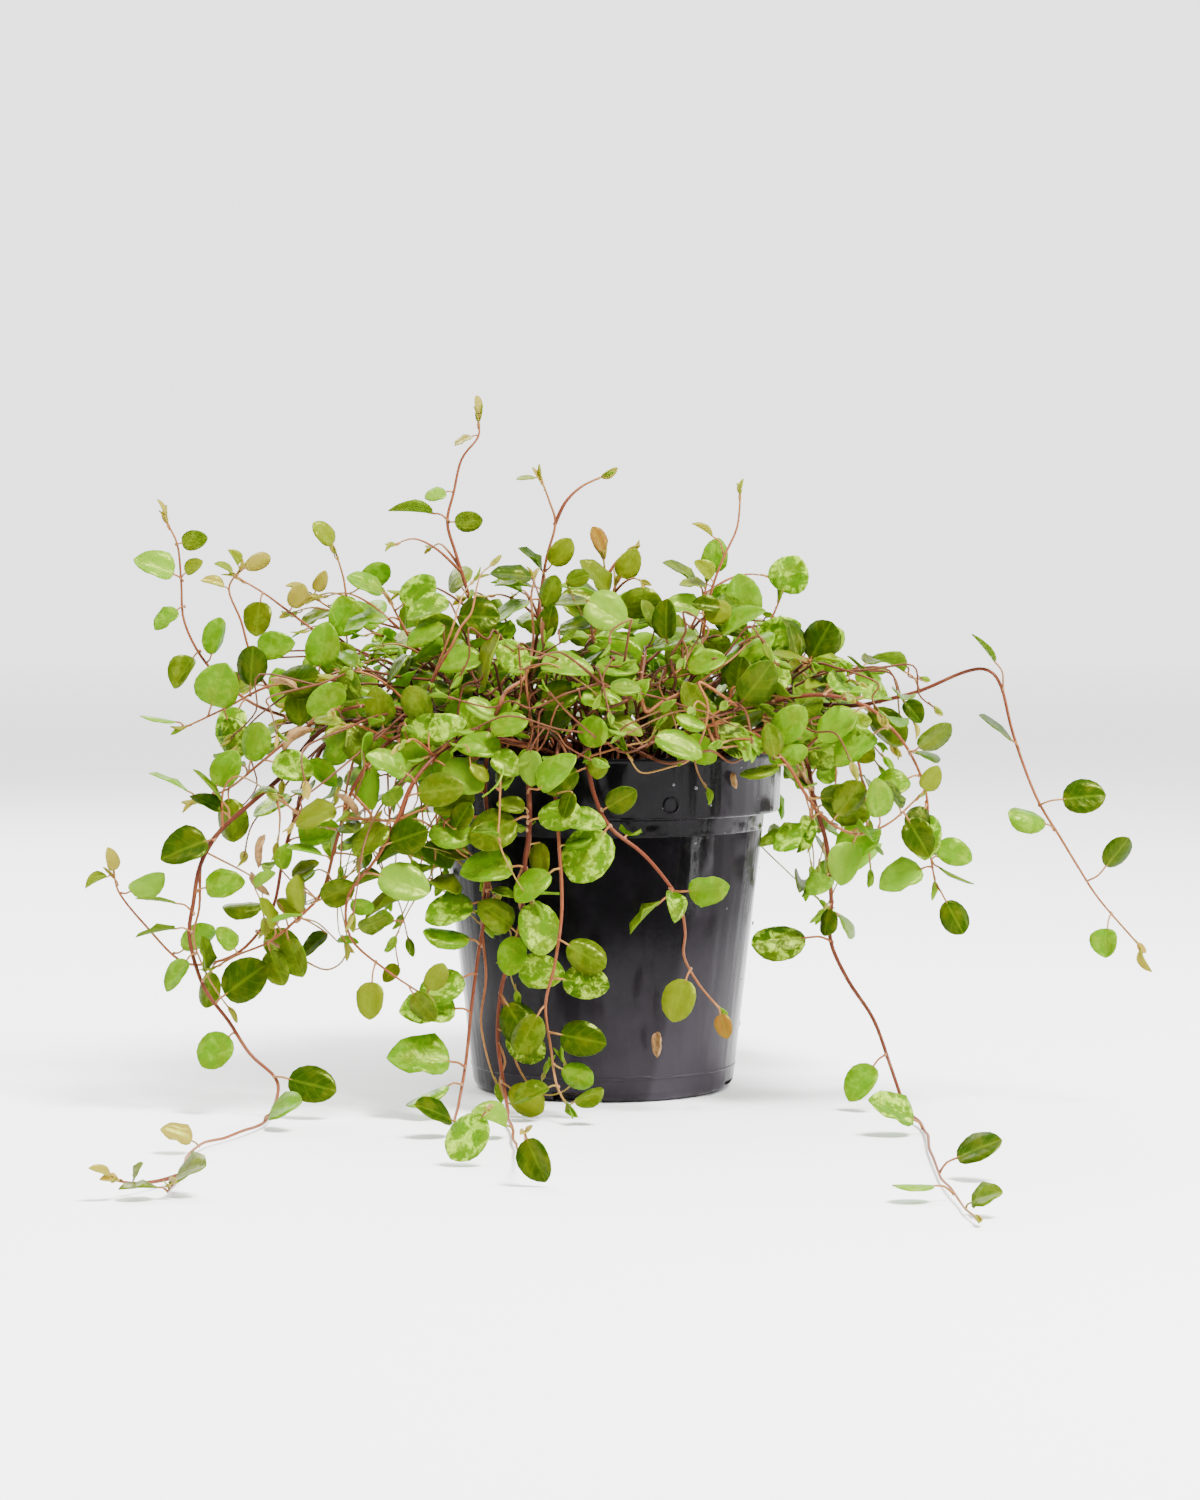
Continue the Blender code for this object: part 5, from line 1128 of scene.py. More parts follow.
# Small leaves on the dome's front and left, as the picture shows them: X, Z, heading from base to tip,
# length and width as seen, and the look's letter.
FRONT_LEAVES = (
    (-53, 147.5, 200, 14, 7, "m"), (-53.5, 140, 205, 12.5, 6.5, "g"), (-37, 145.5, 0, 12.5, 11.5, "d"),
    (-43, 132, 190, 14, 7.5, "g"), (-33.5, 132.5, 250, 17, 4, "y"), (-26.5, 133.5, 310, 12, 9, "m"),
    (-27.5, 158, 170, 12.5, 5, "d"), (-10.5, 131, 355, 16, 7, "g"), (4, 131, 0, 13, 6, "g"),
    (-12.5, 122.5, 20, 11.5, 9, "d"), (0, 121, 350, 13.5, 6.5, "g"), (-3, 112.5, 90, 9.5, 10, "g"),
    (-27.5, 114.5, 15, 11.5, 7, "g"), (-36.5, 108, 175, 13.5, 7.5, "g"), (-28, 103, 330, 10, 7.5, "m"),
    (-21, 102, 270, 10.5, 7, "p"), (-13.5, 101.5, 45, 14.5, 8, "g"), (-55.5, 113, 60, 13.5, 9, "m"),
    (-45.5, 113.5, 20, 11.5, 8, "m"), (-35.5, 118.5, 330, 10.5, 5.5, "p"), (-50, 124, 180, 9, 4, "d"),
    (-1.5, 102, 260, 6.5, 7, "o"), (-55, 100.5, 200, 10, 6.5, "p"), (-16, 144.5, 80, 10, 6.5, "d"),
    (-6.5, 143, 10, 13.5, 4, "d"), (-10.5, 150, 5, 13, 3.5, "o"), (-16, 153, 70, 10.5, 6.5, "o"),
    (-7.5, 157, 20, 7.5, 5.5, "o"), (1, 147, 330, 13.5, 12, "p"), (18.5, 145, 90, 12, 7.5, "d"),
    (13.5, 146.5, 110, 9, 4, "o"), (22.5, 141, 95, 11, 4, "o"), (30.5, 149, 170, 8.5, 5, "d"),
    (34, 147, 20, 8.5, 7.5, "y"), (41.5, 144, 35, 15, 5.5, "g"), (30.5, 132, 20, 12, 7, "g"),
    (43, 137, 30, 17, 7, "g"), (49.5, 128.5, 340, 13.5, 10.5, "m"), (40, 129, 80, 10, 10.5, "d"),
    (57, 138, 100, 11, 5.5, "d"), (22, 108.5, 340, 15, 7.5, "g"), (25.5, 115.5, 340, 9.5, 4.5, "g"),
    (6.5, 114, 340, 11, 5, "o"), (41.5, 111.5, 20, 10, 5.5, "p"), (55, 105.5, 20, 10.5, 6, "g"),
    (49, 110, 100, 10, 6.5, "o"), (11, 124.5, 60, 7, 4.5, "g"), (-41.5, 101.5, 225, 9, 4.5, "o"),
    (-46, 85, 195, 10.5, 4.5, "m"), (-41, 88, 60, 9, 6.5, "d"), (-44.5, 78, 340, 11.5, 6, "d"),
    (-46, 99, 215, 13, 2.5, "m"), (-36, 100.5, 320, 7, 4, "y"), (-51.5, 93.5, 250, 6, 4.5, "d"),
    (-18.5, 75, 270, 10, 6, "k"), (-44, 64, 60, 8, 4.5, "g"), (-32, 62, 60, 7.5, 2.5, "n"),
    (-79, 79, 260, 7, 2, "p"), (-93.5, 75.5, 75, 8, 5.5, "g"), (-87.5, 72, 30, 9, 4, "k"),
    (-91.5, 61, 340, 9.5, 4.5, "y"), (-75, 50.5, 0, 6.5, 2, "g"), (-85, 49.5, 220, 10, 4.5, "d"),
    (-62.5, 41, 225, 6.5, 4.5, "k"), (-27, 91, 170, 8.5, 5, "o"), (-10.5, 91.5, 250, 8, 5, "d"),
    (-88.5, 69, 210, 9, 3.5, "p"), (-99.5, 69, 35, 7.5, 3.5, "p"),
)
# Where a front leaf that touches another may go instead: nearer, farther, turned or smaller.
FRONT_NUDGES = [(0, 0, 1), (-3, 0, 1), (3, 0, 1), (-6, 0, 1), (6, 0, 1), (-9, 0, 1), (0, 15, 0.95),
                (-5, -15, 0.9), (9, 0, 1), (-12, 0, 1), (0, 25, 0.85), (-15, 0, 0.95), (5, -25, 0.85)]


class SetLeaf(Leaf):
    """A leaf whose blade stands in a given place, wherever its stalk comes from."""

    def blade_base(self):
        return self.base


def front_leaf(row, nudge, anchors):
    """The leaf of a row above, at the dome's front, its face turned up so that it looks as wide."""
    x, z, heading, length, width, _ = row
    nearer, turn, size = nudge
    reach = FRONT_REACH - FRONT_SLOPE * max(0.0, z - FRONT_MIDDLE)
    depth = SIDE_DEPTH if x < SIDE_START else -math.sqrt(max(reach * reach - 0.6 * x * x, 25.0 ** 2))
    way = picture_way(heading, 6)
    ratio = min(1.0, max(1.06 * width / length, 0.66))
    tilt = max(20.0, math.degrees(math.acos(min(1.0, width / length / ratio))))
    upwards = -1 if math.cos(math.radians(heading)) > 0 else 1
    face = Matrix.Rotation(math.radians(upwards * tilt + turn), 3, way) @ Vector((0, -1, 0.05))
    base = Vector((x, depth + nearer, z)) - way * length / 2
    owner, root = min(anchors, key=lambda each: (each[1] - base).length)
    made = SetLeaf(owner, root, way, face, length * size, 0.2, ratio, 0.08)
    made.base = base
    return made


def front_leaves(stems, bodies):
    """The listed front leaves that find a place clear of the large leaves and of each other."""
    anchors = [(stem.owner, stem.point(at)) for stem in stems
               for at in along_stem(stem, 0.3, stem.places[-1], 3)]
    anchors = [each for each in anchors if each[1].y < -14]
    added = []
    for row in FRONT_LEAVES:
        for nudge in FRONT_NUDGES:
            item = front_leaf(row, nudge, anchors)
            shape = leaf_body(item, FINE_CLEARANCE, blade_only=True)
            body = Body(item.owner, shape, shape)
            if any(body.tree.overlap(other.tree) for other in bodies if not body.is_apart(other)):
                continue
            bodies.append(body)
            item.look = Look(*LOOKS[row[-1]])
            added.append(item)
            break
    return added


def is_leafy(stem, at, draw):
    """Small leaves fill the plant over and beside the pot. The long trails stay bare.

    So do many stems at the right of the crown, where the picture shows them crossing.
    """
    point = stem.point(at)
    if is_within(point, FRONT_ZONE):
        return False
    if is_within(point, BARE_PATCH) and draw.random() < BARE_SHARE:
        return False
    reach = from_middle(point) / FILL_REACH
    return reach < 1 and FILL_LOWEST < point.z < FILL_HIGHEST - FILL_SLOPE * reach * reach


def small_leaf(stem, at, side, size, draw, turn):
    """A small leaf of the same rule as the large ones, on a shorter stalk."""
    item = ruled_leaf(stem, at, side, draw, (turn, turn, 1))
    face = item.face.lerp(UP, draw.uniform(0.1, 0.6))
    return Leaf(stem.owner, item.root, item.way, face, size * draw.uniform(0.7, 1.3),
                draw.uniform(0.15, 0.35), draw.uniform(0.5, 0.8), draw.uniform(0.03, 0.2))


def small_leaf_places(stems, twigs, runners):
    """Where small leaves may stand: rows of stem, place, number on it, size and series of draws."""
    wanted = []
    for number, stem in enumerate(twigs):
        for k, at in enumerate(along_stem(stem, 0.5, stem.places[-1], FINE_LEAF_SPACING)):
            wanted.append((stem, at, k, FINE_LEAF, TWIG_LEAF_DRAWS + 40 * number + k))
    for number, stem in enumerate(runners):
        spacing = UNDERGROWTH_LEAF_SPACING if stem.owner == "undergrowth" else RUNNER_LEAF_SPACING
        for k, at in enumerate(along_stem(stem, 1.2, stem.places[-1], spacing)):
            wanted.append((stem, at, k, FINE_LEAF * 1.25, RUNNER_LEAF_DRAWS + 40 * number + k))
    for number, stem in enumerate(stems):
        last = stem.places[-1]
        for k, at in enumerate(along_stem(stem, min(0.8, 0.5 * last), last, FILL_SPACING)):
            wanted.append((stem, at, k, FILL_LEAF, FILL_LEAF_DRAWS + 60 * number + k))
    return [each for each in wanted if is_leafy(each[0], each[1], own_draw(each[4], 0))]


def add_small_leaves(stems, twigs, runners, leaves):
    """Small leaves wherever they stand clear: on twigs and runners, and between the large leaves."""
    bodies = [Body("pot", pot_body())]
    bodies += [Body(s.owner, tube_body(s, FINE_CLEARANCE)) for s in stems]
    bodies += [leaf_test_body(item, FINE_CLEARANCE) for item in leaves]
    added = front_leaves(stems + twigs + runners, bodies)
    for stem, at, k, size, seed in small_leaf_places(stems, twigs, runners):
        side = 1 if k % 2 else -1
        settle(lambda turn: small_leaf(stem, at, side, size, own_draw(seed, 0), turn),
               SMALL_TURNS, FINE_CLEARANCE, SMALL_LOWEST, bodies, added)
    return added


def tip_leaves(stems):
    """The narrow young leaves that end every stem, two on each."""
    tips = []
    for number, stem in enumerate(stems):
        draw = own_draw(TIP_DRAWS, number)
        end, way = stem.points[-1], stem.direction(stem.places[-1])
        side = way.orthogonal().normalized()
        for k in range(2):
            turned_side = Matrix.Rotation(2.2 * k + draw.uniform(-0.5, 0.5), 3, way) @ side
            direction = way + turned_side * draw.uniform(0.05, 0.5)
            length = draw.uniform(3.6, 6.6)
            if end.z + direction.normalized().z * length < 1.2:
                direction.z = abs(direction.z) + 0.3
            root = end - way * (0.6 * length - 1 + 0.8 * k)
            tips.append(Leaf(stem.owner, root, direction, -turned_side + UP * 0.2, length,
                             0.08, draw.uniform(0.3, 0.5), draw.uniform(-0.1, 0.1)))
    return tips


# How a leaf looks: shares from 0 to 1 for its green, its marbling, its youth and its paleness.
LOOKS = {
    "d": (0.1, 0.0, 0.0, 0.0),
    "o": (0.28, 0.15, 0.3, 0.0),
    "g": (0.75, 0.2, 0.0, 0.0),
    "m": (0.68, 1.0, 0.0, 0.1),
    "t": (0.3, 0.75, 0.0, 0.0),
    "p": (0.6, 0.3, 0.0, 0.9),
    "y": (0.85, 0.2, 0.6, 0.0),
    "b": (0.5, 0.0, 0.95, 0.0),
    "n": (0.6, 0.0, 0.7, 0.55),
    "k": (0.15, 0.2, 0.42, 0.0),
}
# The look of each listed leaf, in the order of its shoot's list: d dark, o olive, g bright, m marbled, t
# dark with light patches, p pale, which on some leaves is a painted whitish sheen, y young, b bronze, n
# tan, k brownish. A dash is left to the plain rule.
SHOWN_LOOKS = {
    "crown_leader": "oopnn", "twin_tip": "yydog", "back_sprig": "bpo", "pink_riser": "nyydpdoo",
    "high_right": "mgmoo", "right_pair": "ddmy", "left_tip": "nopygogmg", "left_fork": "nnygod",
    "left_rider": "knogy", "left_bud": "ygmg", "bronze_tuft": "nnyo", "crown_right": "gomd",
    "crown_middle": "ypoog", "crown_left": "gmgog", "right_arch": "dodooddgdgn",
    "right_fork": "gogm-gddp", "right_fall": "tdgmotgmdpo", "right_curl": "ydgpotdog",
    "front_drape": "mdgoybd", "front_cascade": "omgmgomdt-ypd", "front_curtain": "ogmgmmgmdm",
    "front_tangle": "mgotodgoo", "left_cascade": "dogodgodgdgnkkyn", "left_star": "nypgooog-",
    "middle_fall": "yoyopdoog-", "pink_knot": "gooyo-gyoy", "left_sprawl": "pgogm-got",
    "left_high_sprawl": "pgtddogg", "rim_front": "ogodogo", "rim_left": "-ogmogo",
}


class Look:
    """The four shares that a leaf's material reads."""

    def __init__(self, green, marbled, youth, pale):
        self.green = green
        self.marbled = marbled
        self.youth = youth
        self.pale = pale
        self.large = 0.0


# A leaf is young within this distance of its stem's end. Some leaves are marbled, and some are pale,
# partly a painted whitish sheen.
YOUNG_REACH = 18
MARBLED_SHARE = 0.30
PALE_SHARE = 0.10


def free_look(item, ends, draw):
    """The look of a leaf that the picture doesn't settle: younger near its stem's end."""
    reach = min((item.root - end).length for end in ends[item.owner])
    youth = max(0.0, 1 - reach / YOUNG_REACH) * draw.uniform(0.0, 0.8)
    if item.root.z > OLIVE_HEIGHT:
        youth = max(youth, draw.uniform(-0.1, 0.5))
    # Leaves low in the dome's middle get a darker green: painted shade.
    inwards = max(0.0, 1 - from_middle(item.root) / 60)
    depth = inwards * max(0.0, 1 - (item.root.z - 100) / 34)
    green = min(1.0, max(0.0, draw.gauss(0.46, 0.32) - 0.5 * depth))
    marbled = draw.uniform(0.5, 1.0) if draw.random() < MARBLED_SHARE else draw.uniform(0, 0.2)
    pale = draw.uniform(0.3, 0.8) if draw.random() < PALE_SHARE else 0.0
    return Look(green, marbled, youth, pale)


def shown_look(item, shoots):
    """The look that the list above gives to a listed leaf, if it gives one."""
    listed = SHOWN_LOOKS.get(item.owner)
    spec = getattr(item, "spec", None)
    if listed is None or spec is None:
        return None
    own = shoots[item.owner]["leaves"] + [each for side in shoots[item.owner]["twigs"]
                                          for each in side["leaves"]]
    for each, letter in zip(own, listed):
        if each is spec and letter in LOOKS:
            return Look(*LOOKS[letter])
    return None


# Meshes.
def linked(name, data, collection):
    """A new object of the data, in the collection."""
    made = bpy.data.objects.new(name, data)
    collection.objects.link(made)
    return made


def mesh_object(name, points, faces, collection, smooth=False):
    mesh = bpy.data.meshes.new(name)
    mesh.from_pydata([tuple(p) for p in points], [], faces)
    if smooth:
        mesh.shade_smooth()
    return linked(name, mesh, collection)


def worked_object(name, work, collection):
    """An object of the mesh that was worked on."""
    mesh = bpy.data.meshes.new(name)
    work.to_mesh(mesh)
    work.free()
    return linked(name, mesh, collection)


def give_finish(made, material):
    """Gives the object this material and no other."""
    made.data.materials.clear()
    made.data.materials.append(material)


def new_collection(name):
    made = bpy.data.collections.new(name)
    bpy.context.scene.collection.children.link(made)
    return made


def plain_copy(source, name, collection):
    """A plain mesh of an object as its modifiers or its curve make it. The object is removed."""
    bpy.context.view_layer.update()
    graph = bpy.context.evaluated_depsgraph_get()
    mesh = bpy.data.meshes.new_from_object(source.evaluated_get(graph), depsgraph=graph)
    bpy.data.objects.remove(source)
    mesh.name = name
    return linked(name, mesh, collection)


LEAF_STATIONS = (0.0, 0.04, 0.14, 0.30, 0.48, 0.66, 0.82, 0.92, 0.97, 1.0)
LEAF_RIBS = (-1.0, -0.5, 0.0, 0.5, 1.0)
PATTERN_CURL = 0.1
# (fold up from the midrib, waviness of the edge, widest place, slimness of both ends) of each shape.
LEAF_PATTERNS = (("leaf_a_flat", 0.14, 0.12, 0.47, 0.53), ("leaf_b_folded", 0.44, 0.06, 0.45, 0.57),
                 ("leaf_c_waved", 0.20, 0.30, 0.42, 0.55), ("leaf_d_cupped", -0.24, 0.08, 0.50, 0.52),
                 ("leaf_e_ovate", 0.30, 0.14, 0.40, 0.60), ("leaf_f_elliptic", 0.40, 0.10, 0.45, 0.72),
                 ("leaf_g_pointed", 0.30, 0.16, 0.40, 0.86))
ROUND_PATTERNS = 5
SLIM_RATIO = 0.6


def half_width(share, widest, slimness):
    """An ovate outline with a small point: 0 at both ends and 0.5 at its widest."""
    if share <= 0 or share >= 1:
        return 0.0
    skewed = share ** (math.log(0.5) / math.log(widest))
    point = 1 - 0.4 * max(0.0, (share - 0.9) / 0.1)
    return 0.5 * point * (4 * skewed * (1 - skewed)) ** slimness


def leaf_pattern(name, fold, wave, widest, slimness, collection):
    """One open blade of unit length along X, faced up, with its outline, fold, waves and droop."""
    points, uvs, rows = [], [], []
    for share in LEAF_STATIONS:
        width = half_width(share, widest, slimness)
        row = []
        for rib in LEAF_RIBS:
            if width == 0 and row:
                row.append(row[0])
                continue
            across = rib * width
            ripple = wave * 0.3 * math.sin(12.5 * share + 2.2 * rib) * rib * rib * width
            bowl = fold * (0.4 * abs(across) + 1.3 * across * across)
            height = bowl - PATTERN_CURL * share * share + ripple
            row.append(len(points))
            points.append((share, across, height))
            uvs.append((share, 0.5 if width == 0 else 0.5 + 0.5 * rib))
        rows.append(row)
    faces = []
    for low, high in zip(rows, rows[1:]):
        for k in range(len(LEAF_RIBS) - 1):
            corners = [low[k], high[k], high[k + 1], low[k + 1]]
            faces.append(tuple(dict.fromkeys(corners)))
    made = mesh_object(name, points, [tuple(reversed(f)) for f in faces], collection, smooth=True)
    layer = made.data.uv_layers.new(name="blade")
    for loop in made.data.loops:
        layer.data[loop.index].uv = uvs[loop.vertex_index]
    if made.data.polygons[4].normal.z < 0:
        made.data.flip_normals()
    return made


def collar_pattern(collection):
    """The papery sheath round a stem where a leaf leaves it, of unit radius, along Z."""
    points, faces = lathe_points([(0.7, -1.7), (1.25, -0.7), (1.4, 0.2), (1.15, 1.3), (0.6, 1.9)], 7)
    return mesh_object("collar_sheath", points, faces, collection, smooth=True)


def husk_pattern(name, roll, collection):
    """A dead leaf of unit length along X, rolled about its length and twisted towards its tip."""
    points, faces = [], []
    for i, share in enumerate(LEAF_STATIONS):
        width = 0.42 * max(0.12, half_width(share, 0.45, 0.46) * 2)
        for j in range(7):
            bend = roll * (j - 3) / 3 * (0.6 + 0.5 * share) + 0.9 * share
            radius = width / roll
            crease = 0.03 * math.sin(9 * share + 2.4 * j)
            points.append((share + 0.05 * math.sin(2 * j), (radius + crease) * math.sin(bend),
                           radius - (radius + crease) * math.cos(bend) - 0.25 * share * share))
            if i and j:
                here = 7 * i + j
                faces.append((here, here - 1, here - 8, here - 7))
    return mesh_object(name, points, faces, collection, smooth=True)


def crumb_pattern(name, seed, stretch, collection):
    """A rough crumb of the mix, about a unit across."""
    work = bmesh.new()
    bmesh.ops.create_icosphere(work, subdivisions=1, radius=0.5)
    draw = random.Random(seed)
    for vertex in work.verts:
        vertex.co *= draw.uniform(0.65, 1.25)
        vertex.co.x *= stretch
        vertex.co.z *= 0.7
    return worked_object(name, work, collection)


def drop_pattern(collection):
    """A water drop that sits on a surface, of unit radius, along Z."""
    profile = [(1.0, -0.1), (0.97, 0.12), (0.75, 0.36), (0.35, 0.5), (0.001, 0.54)]
    points, faces = lathe_points(profile, 9)
    return mesh_object("drop_round", points, faces, collection, smooth=True)


# Node trees for what repeats or follows a path.
class Nodes:
    """A node tree under construction."""

    def __init__(self, tree):
        self.nodes = tree.nodes
        self.links = tree.links

    def link(self, source, target):
        self.links.new(source, target)

    def add(self, kind, links=None, **settings):
        """A node with its settings. Each input named in links gets an output or a value."""
        node = self.nodes.new(kind)
        for key, value in settings.items():
            setattr(node, key, value)
        for socket, source in (links or {}).items():
            if isinstance(source, bpy.types.NodeSocket):
                self.link(source, node.inputs[socket])
            else:
                node.inputs[socket].default_value = source
        return node


class Tree(Nodes):
    """A Geometry Nodes tree with named inputs."""

    def __init__(self, name, inputs):
        self.tree = bpy.data.node_groups.new(name, "GeometryNodeTree")
        super().__init__(self.tree)
        face = self.tree.interface
        face.new_socket("Geometry", in_out="INPUT", socket_type="NodeSocketGeometry")
        self.keys = {}
        for label, kind in inputs:
            self.keys[label] = face.new_socket(label, in_out="INPUT", socket_type=kind).identifier
        face.new_socket("Geometry", in_out="OUTPUT", socket_type="NodeSocketGeometry")
        self.entry = self.add("NodeGroupInput")
        self.exit = self.add("NodeGroupOutput")

    def shapes(self):
        """The shapes of the collection at the input Shapes, each one by itself."""
        return self.add("GeometryNodeCollectionInfo", {
            "Collection": self.entry.outputs["Shapes"], "Separate Children": True,
            "Reset Children": True}).outputs[0]

    def between(self, seed, low, high):
        """A number for each place, at random between two others."""
        return self.add("FunctionNodeRandomValue", {"Seed": seed, 2: low, 3: high},
                        data_type="FLOAT").outputs[1]

    def named(self, name, kind):
        """A named attribute's output of this kind."""
        node = self.add("GeometryNodeInputNamedAttribute", {"Name": name}, data_type=kind)
        return next(s for s in node.outputs if s.enabled and s.name == "Attribute")

    def finish(self, geometry):
        """Makes the geometry real, gives it its material and ends the tree with it."""
        whole = self.add("GeometryNodeRealizeInstances", {"Geometry": geometry})
        finished = self.add("GeometryNodeSetMaterial", {
            "Geometry": whole.outputs[0], "Material": self.entry.outputs["Finish"]})
        self.link(finished.outputs[0], self.exit.inputs[0])

    def put_on(self, thing, values):
        """Adds the tree to an object as a modifier, with its inputs set."""
        grown = thing.modifiers.new(self.tree.name, "NODES")
        grown.node_group = self.tree
        for label, value in values.items():
            grown[self.keys[label]] = value


def shapes_on_places():
    """Sets shapes from a collection on places that carry their turn, size and shape number."""
    grower = Tree("shapes on places", [("Shapes", "NodeSocketCollection"),
                                       ("Finish", "NodeSocketMaterial")])
    shapes = grower.shapes()
    placed = grower.add("GeometryNodeInstanceOnPoints", {
        "Points": grower.entry.outputs["Geometry"], "Instance": shapes,
        "Pick Instance": True, "Instance Index": grower.named("shape", "INT"),
        "Rotation": grower.named("turning", "QUATERNION"),
        "Scale": grower.named("size", "FLOAT_VECTOR")})
    grower.finish(placed.outputs[0])
    return grower


def round_stems():
    """Carries a circle along smooth lines, as thick as each point's radius."""
    grower = Tree("round stems", [("Sides", "NodeSocketInt"), ("Smoothness", "NodeSocketInt"),
                                  ("Finish", "NodeSocketMaterial")])
    smooth = grower.add("GeometryNodeCurveSplineType", {"Curve": grower.entry.outputs["Geometry"]},
                        spline_type="CATMULL_ROM")
    fine = grower.add("GeometryNodeSetSplineResolution", {
        "Geometry": smooth.outputs[0], "Resolution": grower.entry.outputs["Smoothness"]})
    radius = grower.add("GeometryNodeInputRadius")
    marked = grower.add("GeometryNodeStoreNamedAttribute", {
        "Geometry": fine.outputs[0], "Name": "girth", "Value": radius.outputs[0]},
        data_type="FLOAT", domain="POINT")
    ring = grower.add("GeometryNodeCurvePrimitiveCircle", {
        "Resolution": grower.entry.outputs["Sides"], "Radius": MM})
    tube = grower.add("GeometryNodeCurveToMesh", {
        "Curve": marked.outputs[0], "Profile Curve": ring.outputs[0], "Fill Caps": True})
    if "Scale" in tube.inputs:
        grower.link(radius.outputs[0], tube.inputs["Scale"])
    soft = grower.add("GeometryNodeSetShadeSmooth", {"Geometry": tube.outputs[0]})
    grower.finish(soft.outputs[0])
    return grower


def scatter_on_surface():
    """Strews shapes from a collection over a surface, turned and sized at random from a seed."""
    grower = Tree("scatter on surface", [
        ("Shapes", "NodeSocketCollection"), ("Per square metre", "NodeSocketFloat"),
        ("Seed", "NodeSocketInt"), ("Smallest", "NodeSocketFloat"), ("Largest", "NodeSocketFloat"),
        ("Finish", "NodeSocketMaterial")])
    entry = grower.entry.outputs
    spots = grower.add("GeometryNodeDistributePointsOnFaces", {
        "Mesh": entry["Geometry"], "Density": entry["Per square metre"], "Seed": entry["Seed"]})
    shapes = grower.shapes()
    spin = grower.between(entry["Seed"], 0.0, 2 * math.pi)
    turn = grower.add("FunctionNodeAxisAngleToRotation", {"Axis": (0, 0, 1), "Angle": spin})
    turned_round = grower.add("FunctionNodeRotateRotation", {
        "Rotation": spots.outputs["Rotation"], "Rotate By": turn.outputs[0]}, rotation_space="LOCAL")
    size = grower.between(entry["Seed"], entry["Smallest"], entry["Largest"])
    placed = grower.add("GeometryNodeInstanceOnPoints", {
        "Points": spots.outputs["Points"], "Instance": shapes, "Pick Instance": True,
        "Rotation": turned_round.outputs[0], "Scale": size})
    grower.finish(placed.outputs[0])
    return grower


# Materials.
class Finish(Nodes):
    """A material under construction: its node tree and its Principled shader."""

    def __init__(self, name, roughness, **inputs):
        self.material = bpy.data.materials.new(name)
        self.material.use_nodes = True
        super().__init__(self.material.node_tree)
        self.shader = self.nodes["Principled BSDF"]
        self.shader.inputs["Roughness"].default_value = roughness
        for label, value in inputs.items():
            self.shader.inputs[label.replace("_", " ")].default_value = value
        self.place = self.add("ShaderNodeTexCoord").outputs["Object"]

    def noise(self, scale, detail=3.0, roughness=0.55, distortion=0.0, stretch=None):
        place = self.place
        if stretch:
            place = self.add("ShaderNodeMapping", {"Vector": place, "Scale": stretch}).outputs[0]
        node = self.add("ShaderNodeTexNoise", {
            "Vector": place, "Scale": scale, "Detail": detail, "Roughness": roughness,
            "Distortion": distortion})
        return node.outputs[0]

    def attribute(self, name):
        return self.add("ShaderNodeAttribute", attribute_name=name).outputs["Fac"]

    def math(self, operation, first, second=0.0, third=0.0, clamp=False):
        node = self.add("ShaderNodeMath", {0: first, 1: second, 2: third}, operation=operation)
        node.use_clamp = clamp
        return node.outputs[0]

    def times(self, first, second):
        return self.math("MULTIPLY", first, second)

    def step(self, value, low, high):
        """0 below low, 1 above high, smooth between."""
        node = self.add("ShaderNodeMapRange", {
            "Value": value, "From Min": low, "From Max": high}, interpolation_type="SMOOTHSTEP")
        return node.outputs[0]

    def patch(self, value, low, high, most):
        """A share: 0 where the value is low, and the most where it is high."""
        return self.times(self.step(value, low, high), most)

    def ramp(self, value, stops):
        node = self.add("ShaderNodeValToRGB", {"Fac": value})
        band = node.color_ramp
        while len(band.elements) < len(stops):
            band.elements.new(0.5)
        for element, (place, colour) in zip(band.elements, stops):
            element.position = place
            element.color = (*colour, 1)
        return node.outputs[0]

    def mix(self, share, first, second):
        """Colour first, going over to second by share."""
        first, second = ((*tone, 1) if isinstance(tone, tuple) else tone for tone in (first, second))
        return self.add("ShaderNodeMix", {0: share, 6: first, 7: second}, data_type="RGBA").outputs[2]

    def colour(self, source):
        self.link(source, self.shader.inputs["Base Color"])

    def rough(self, source):
        self.link(source, self.shader.inputs["Roughness"])

    def glow(self, colour, share, brighter):
        """Lets light through from behind: a share of it, in a brighter tone of the colour."""
        tone = self.add("ShaderNodeHueSaturation", {"Color": colour, "Value": brighter})
        through = self.add("ShaderNodeBsdfTranslucent", {"Color": tone.outputs[0]})
        both = self.add("ShaderNodeMixShader", {
            0: share, 1: self.shader.outputs[0], 2: through.outputs[0]})
        self.link(both.outputs[0], self.nodes["Material Output"].inputs["Surface"])

    def bump(self, height, strength, distance):
        node = self.add("ShaderNodeBump", {"Height": height, "Strength": strength, "Distance": distance})
        self.link(node.outputs[0], self.shader.inputs["Normal"])


LEAF_GREENS = ((0.0, (0.013, 0.036, 0.0004)), (0.3, (0.030, 0.084, 0.0004)),
               (0.62, (0.073, 0.182, 0.0008)), (1.0, (0.150, 0.305, 0.0015)))
CREAM = (0.46, 0.62, 0.05)
YOUNG_OLIVE = (0.17, 0.165, 0.006)
BRONZE = (0.26, 0.10, 0.022)
TIP_TAN = (0.40, 0.25, 0.07)
PALE_GREEN = (0.19, 0.32, 0.020)
MIDRIB = (0.20, 0.29, 0.012)
WARM_SHEEN = (0.85, 1.0, 0.12, 1.0)
LEAF_GLOW = 0.45
LEAF_GLOW_TONE = 2.0


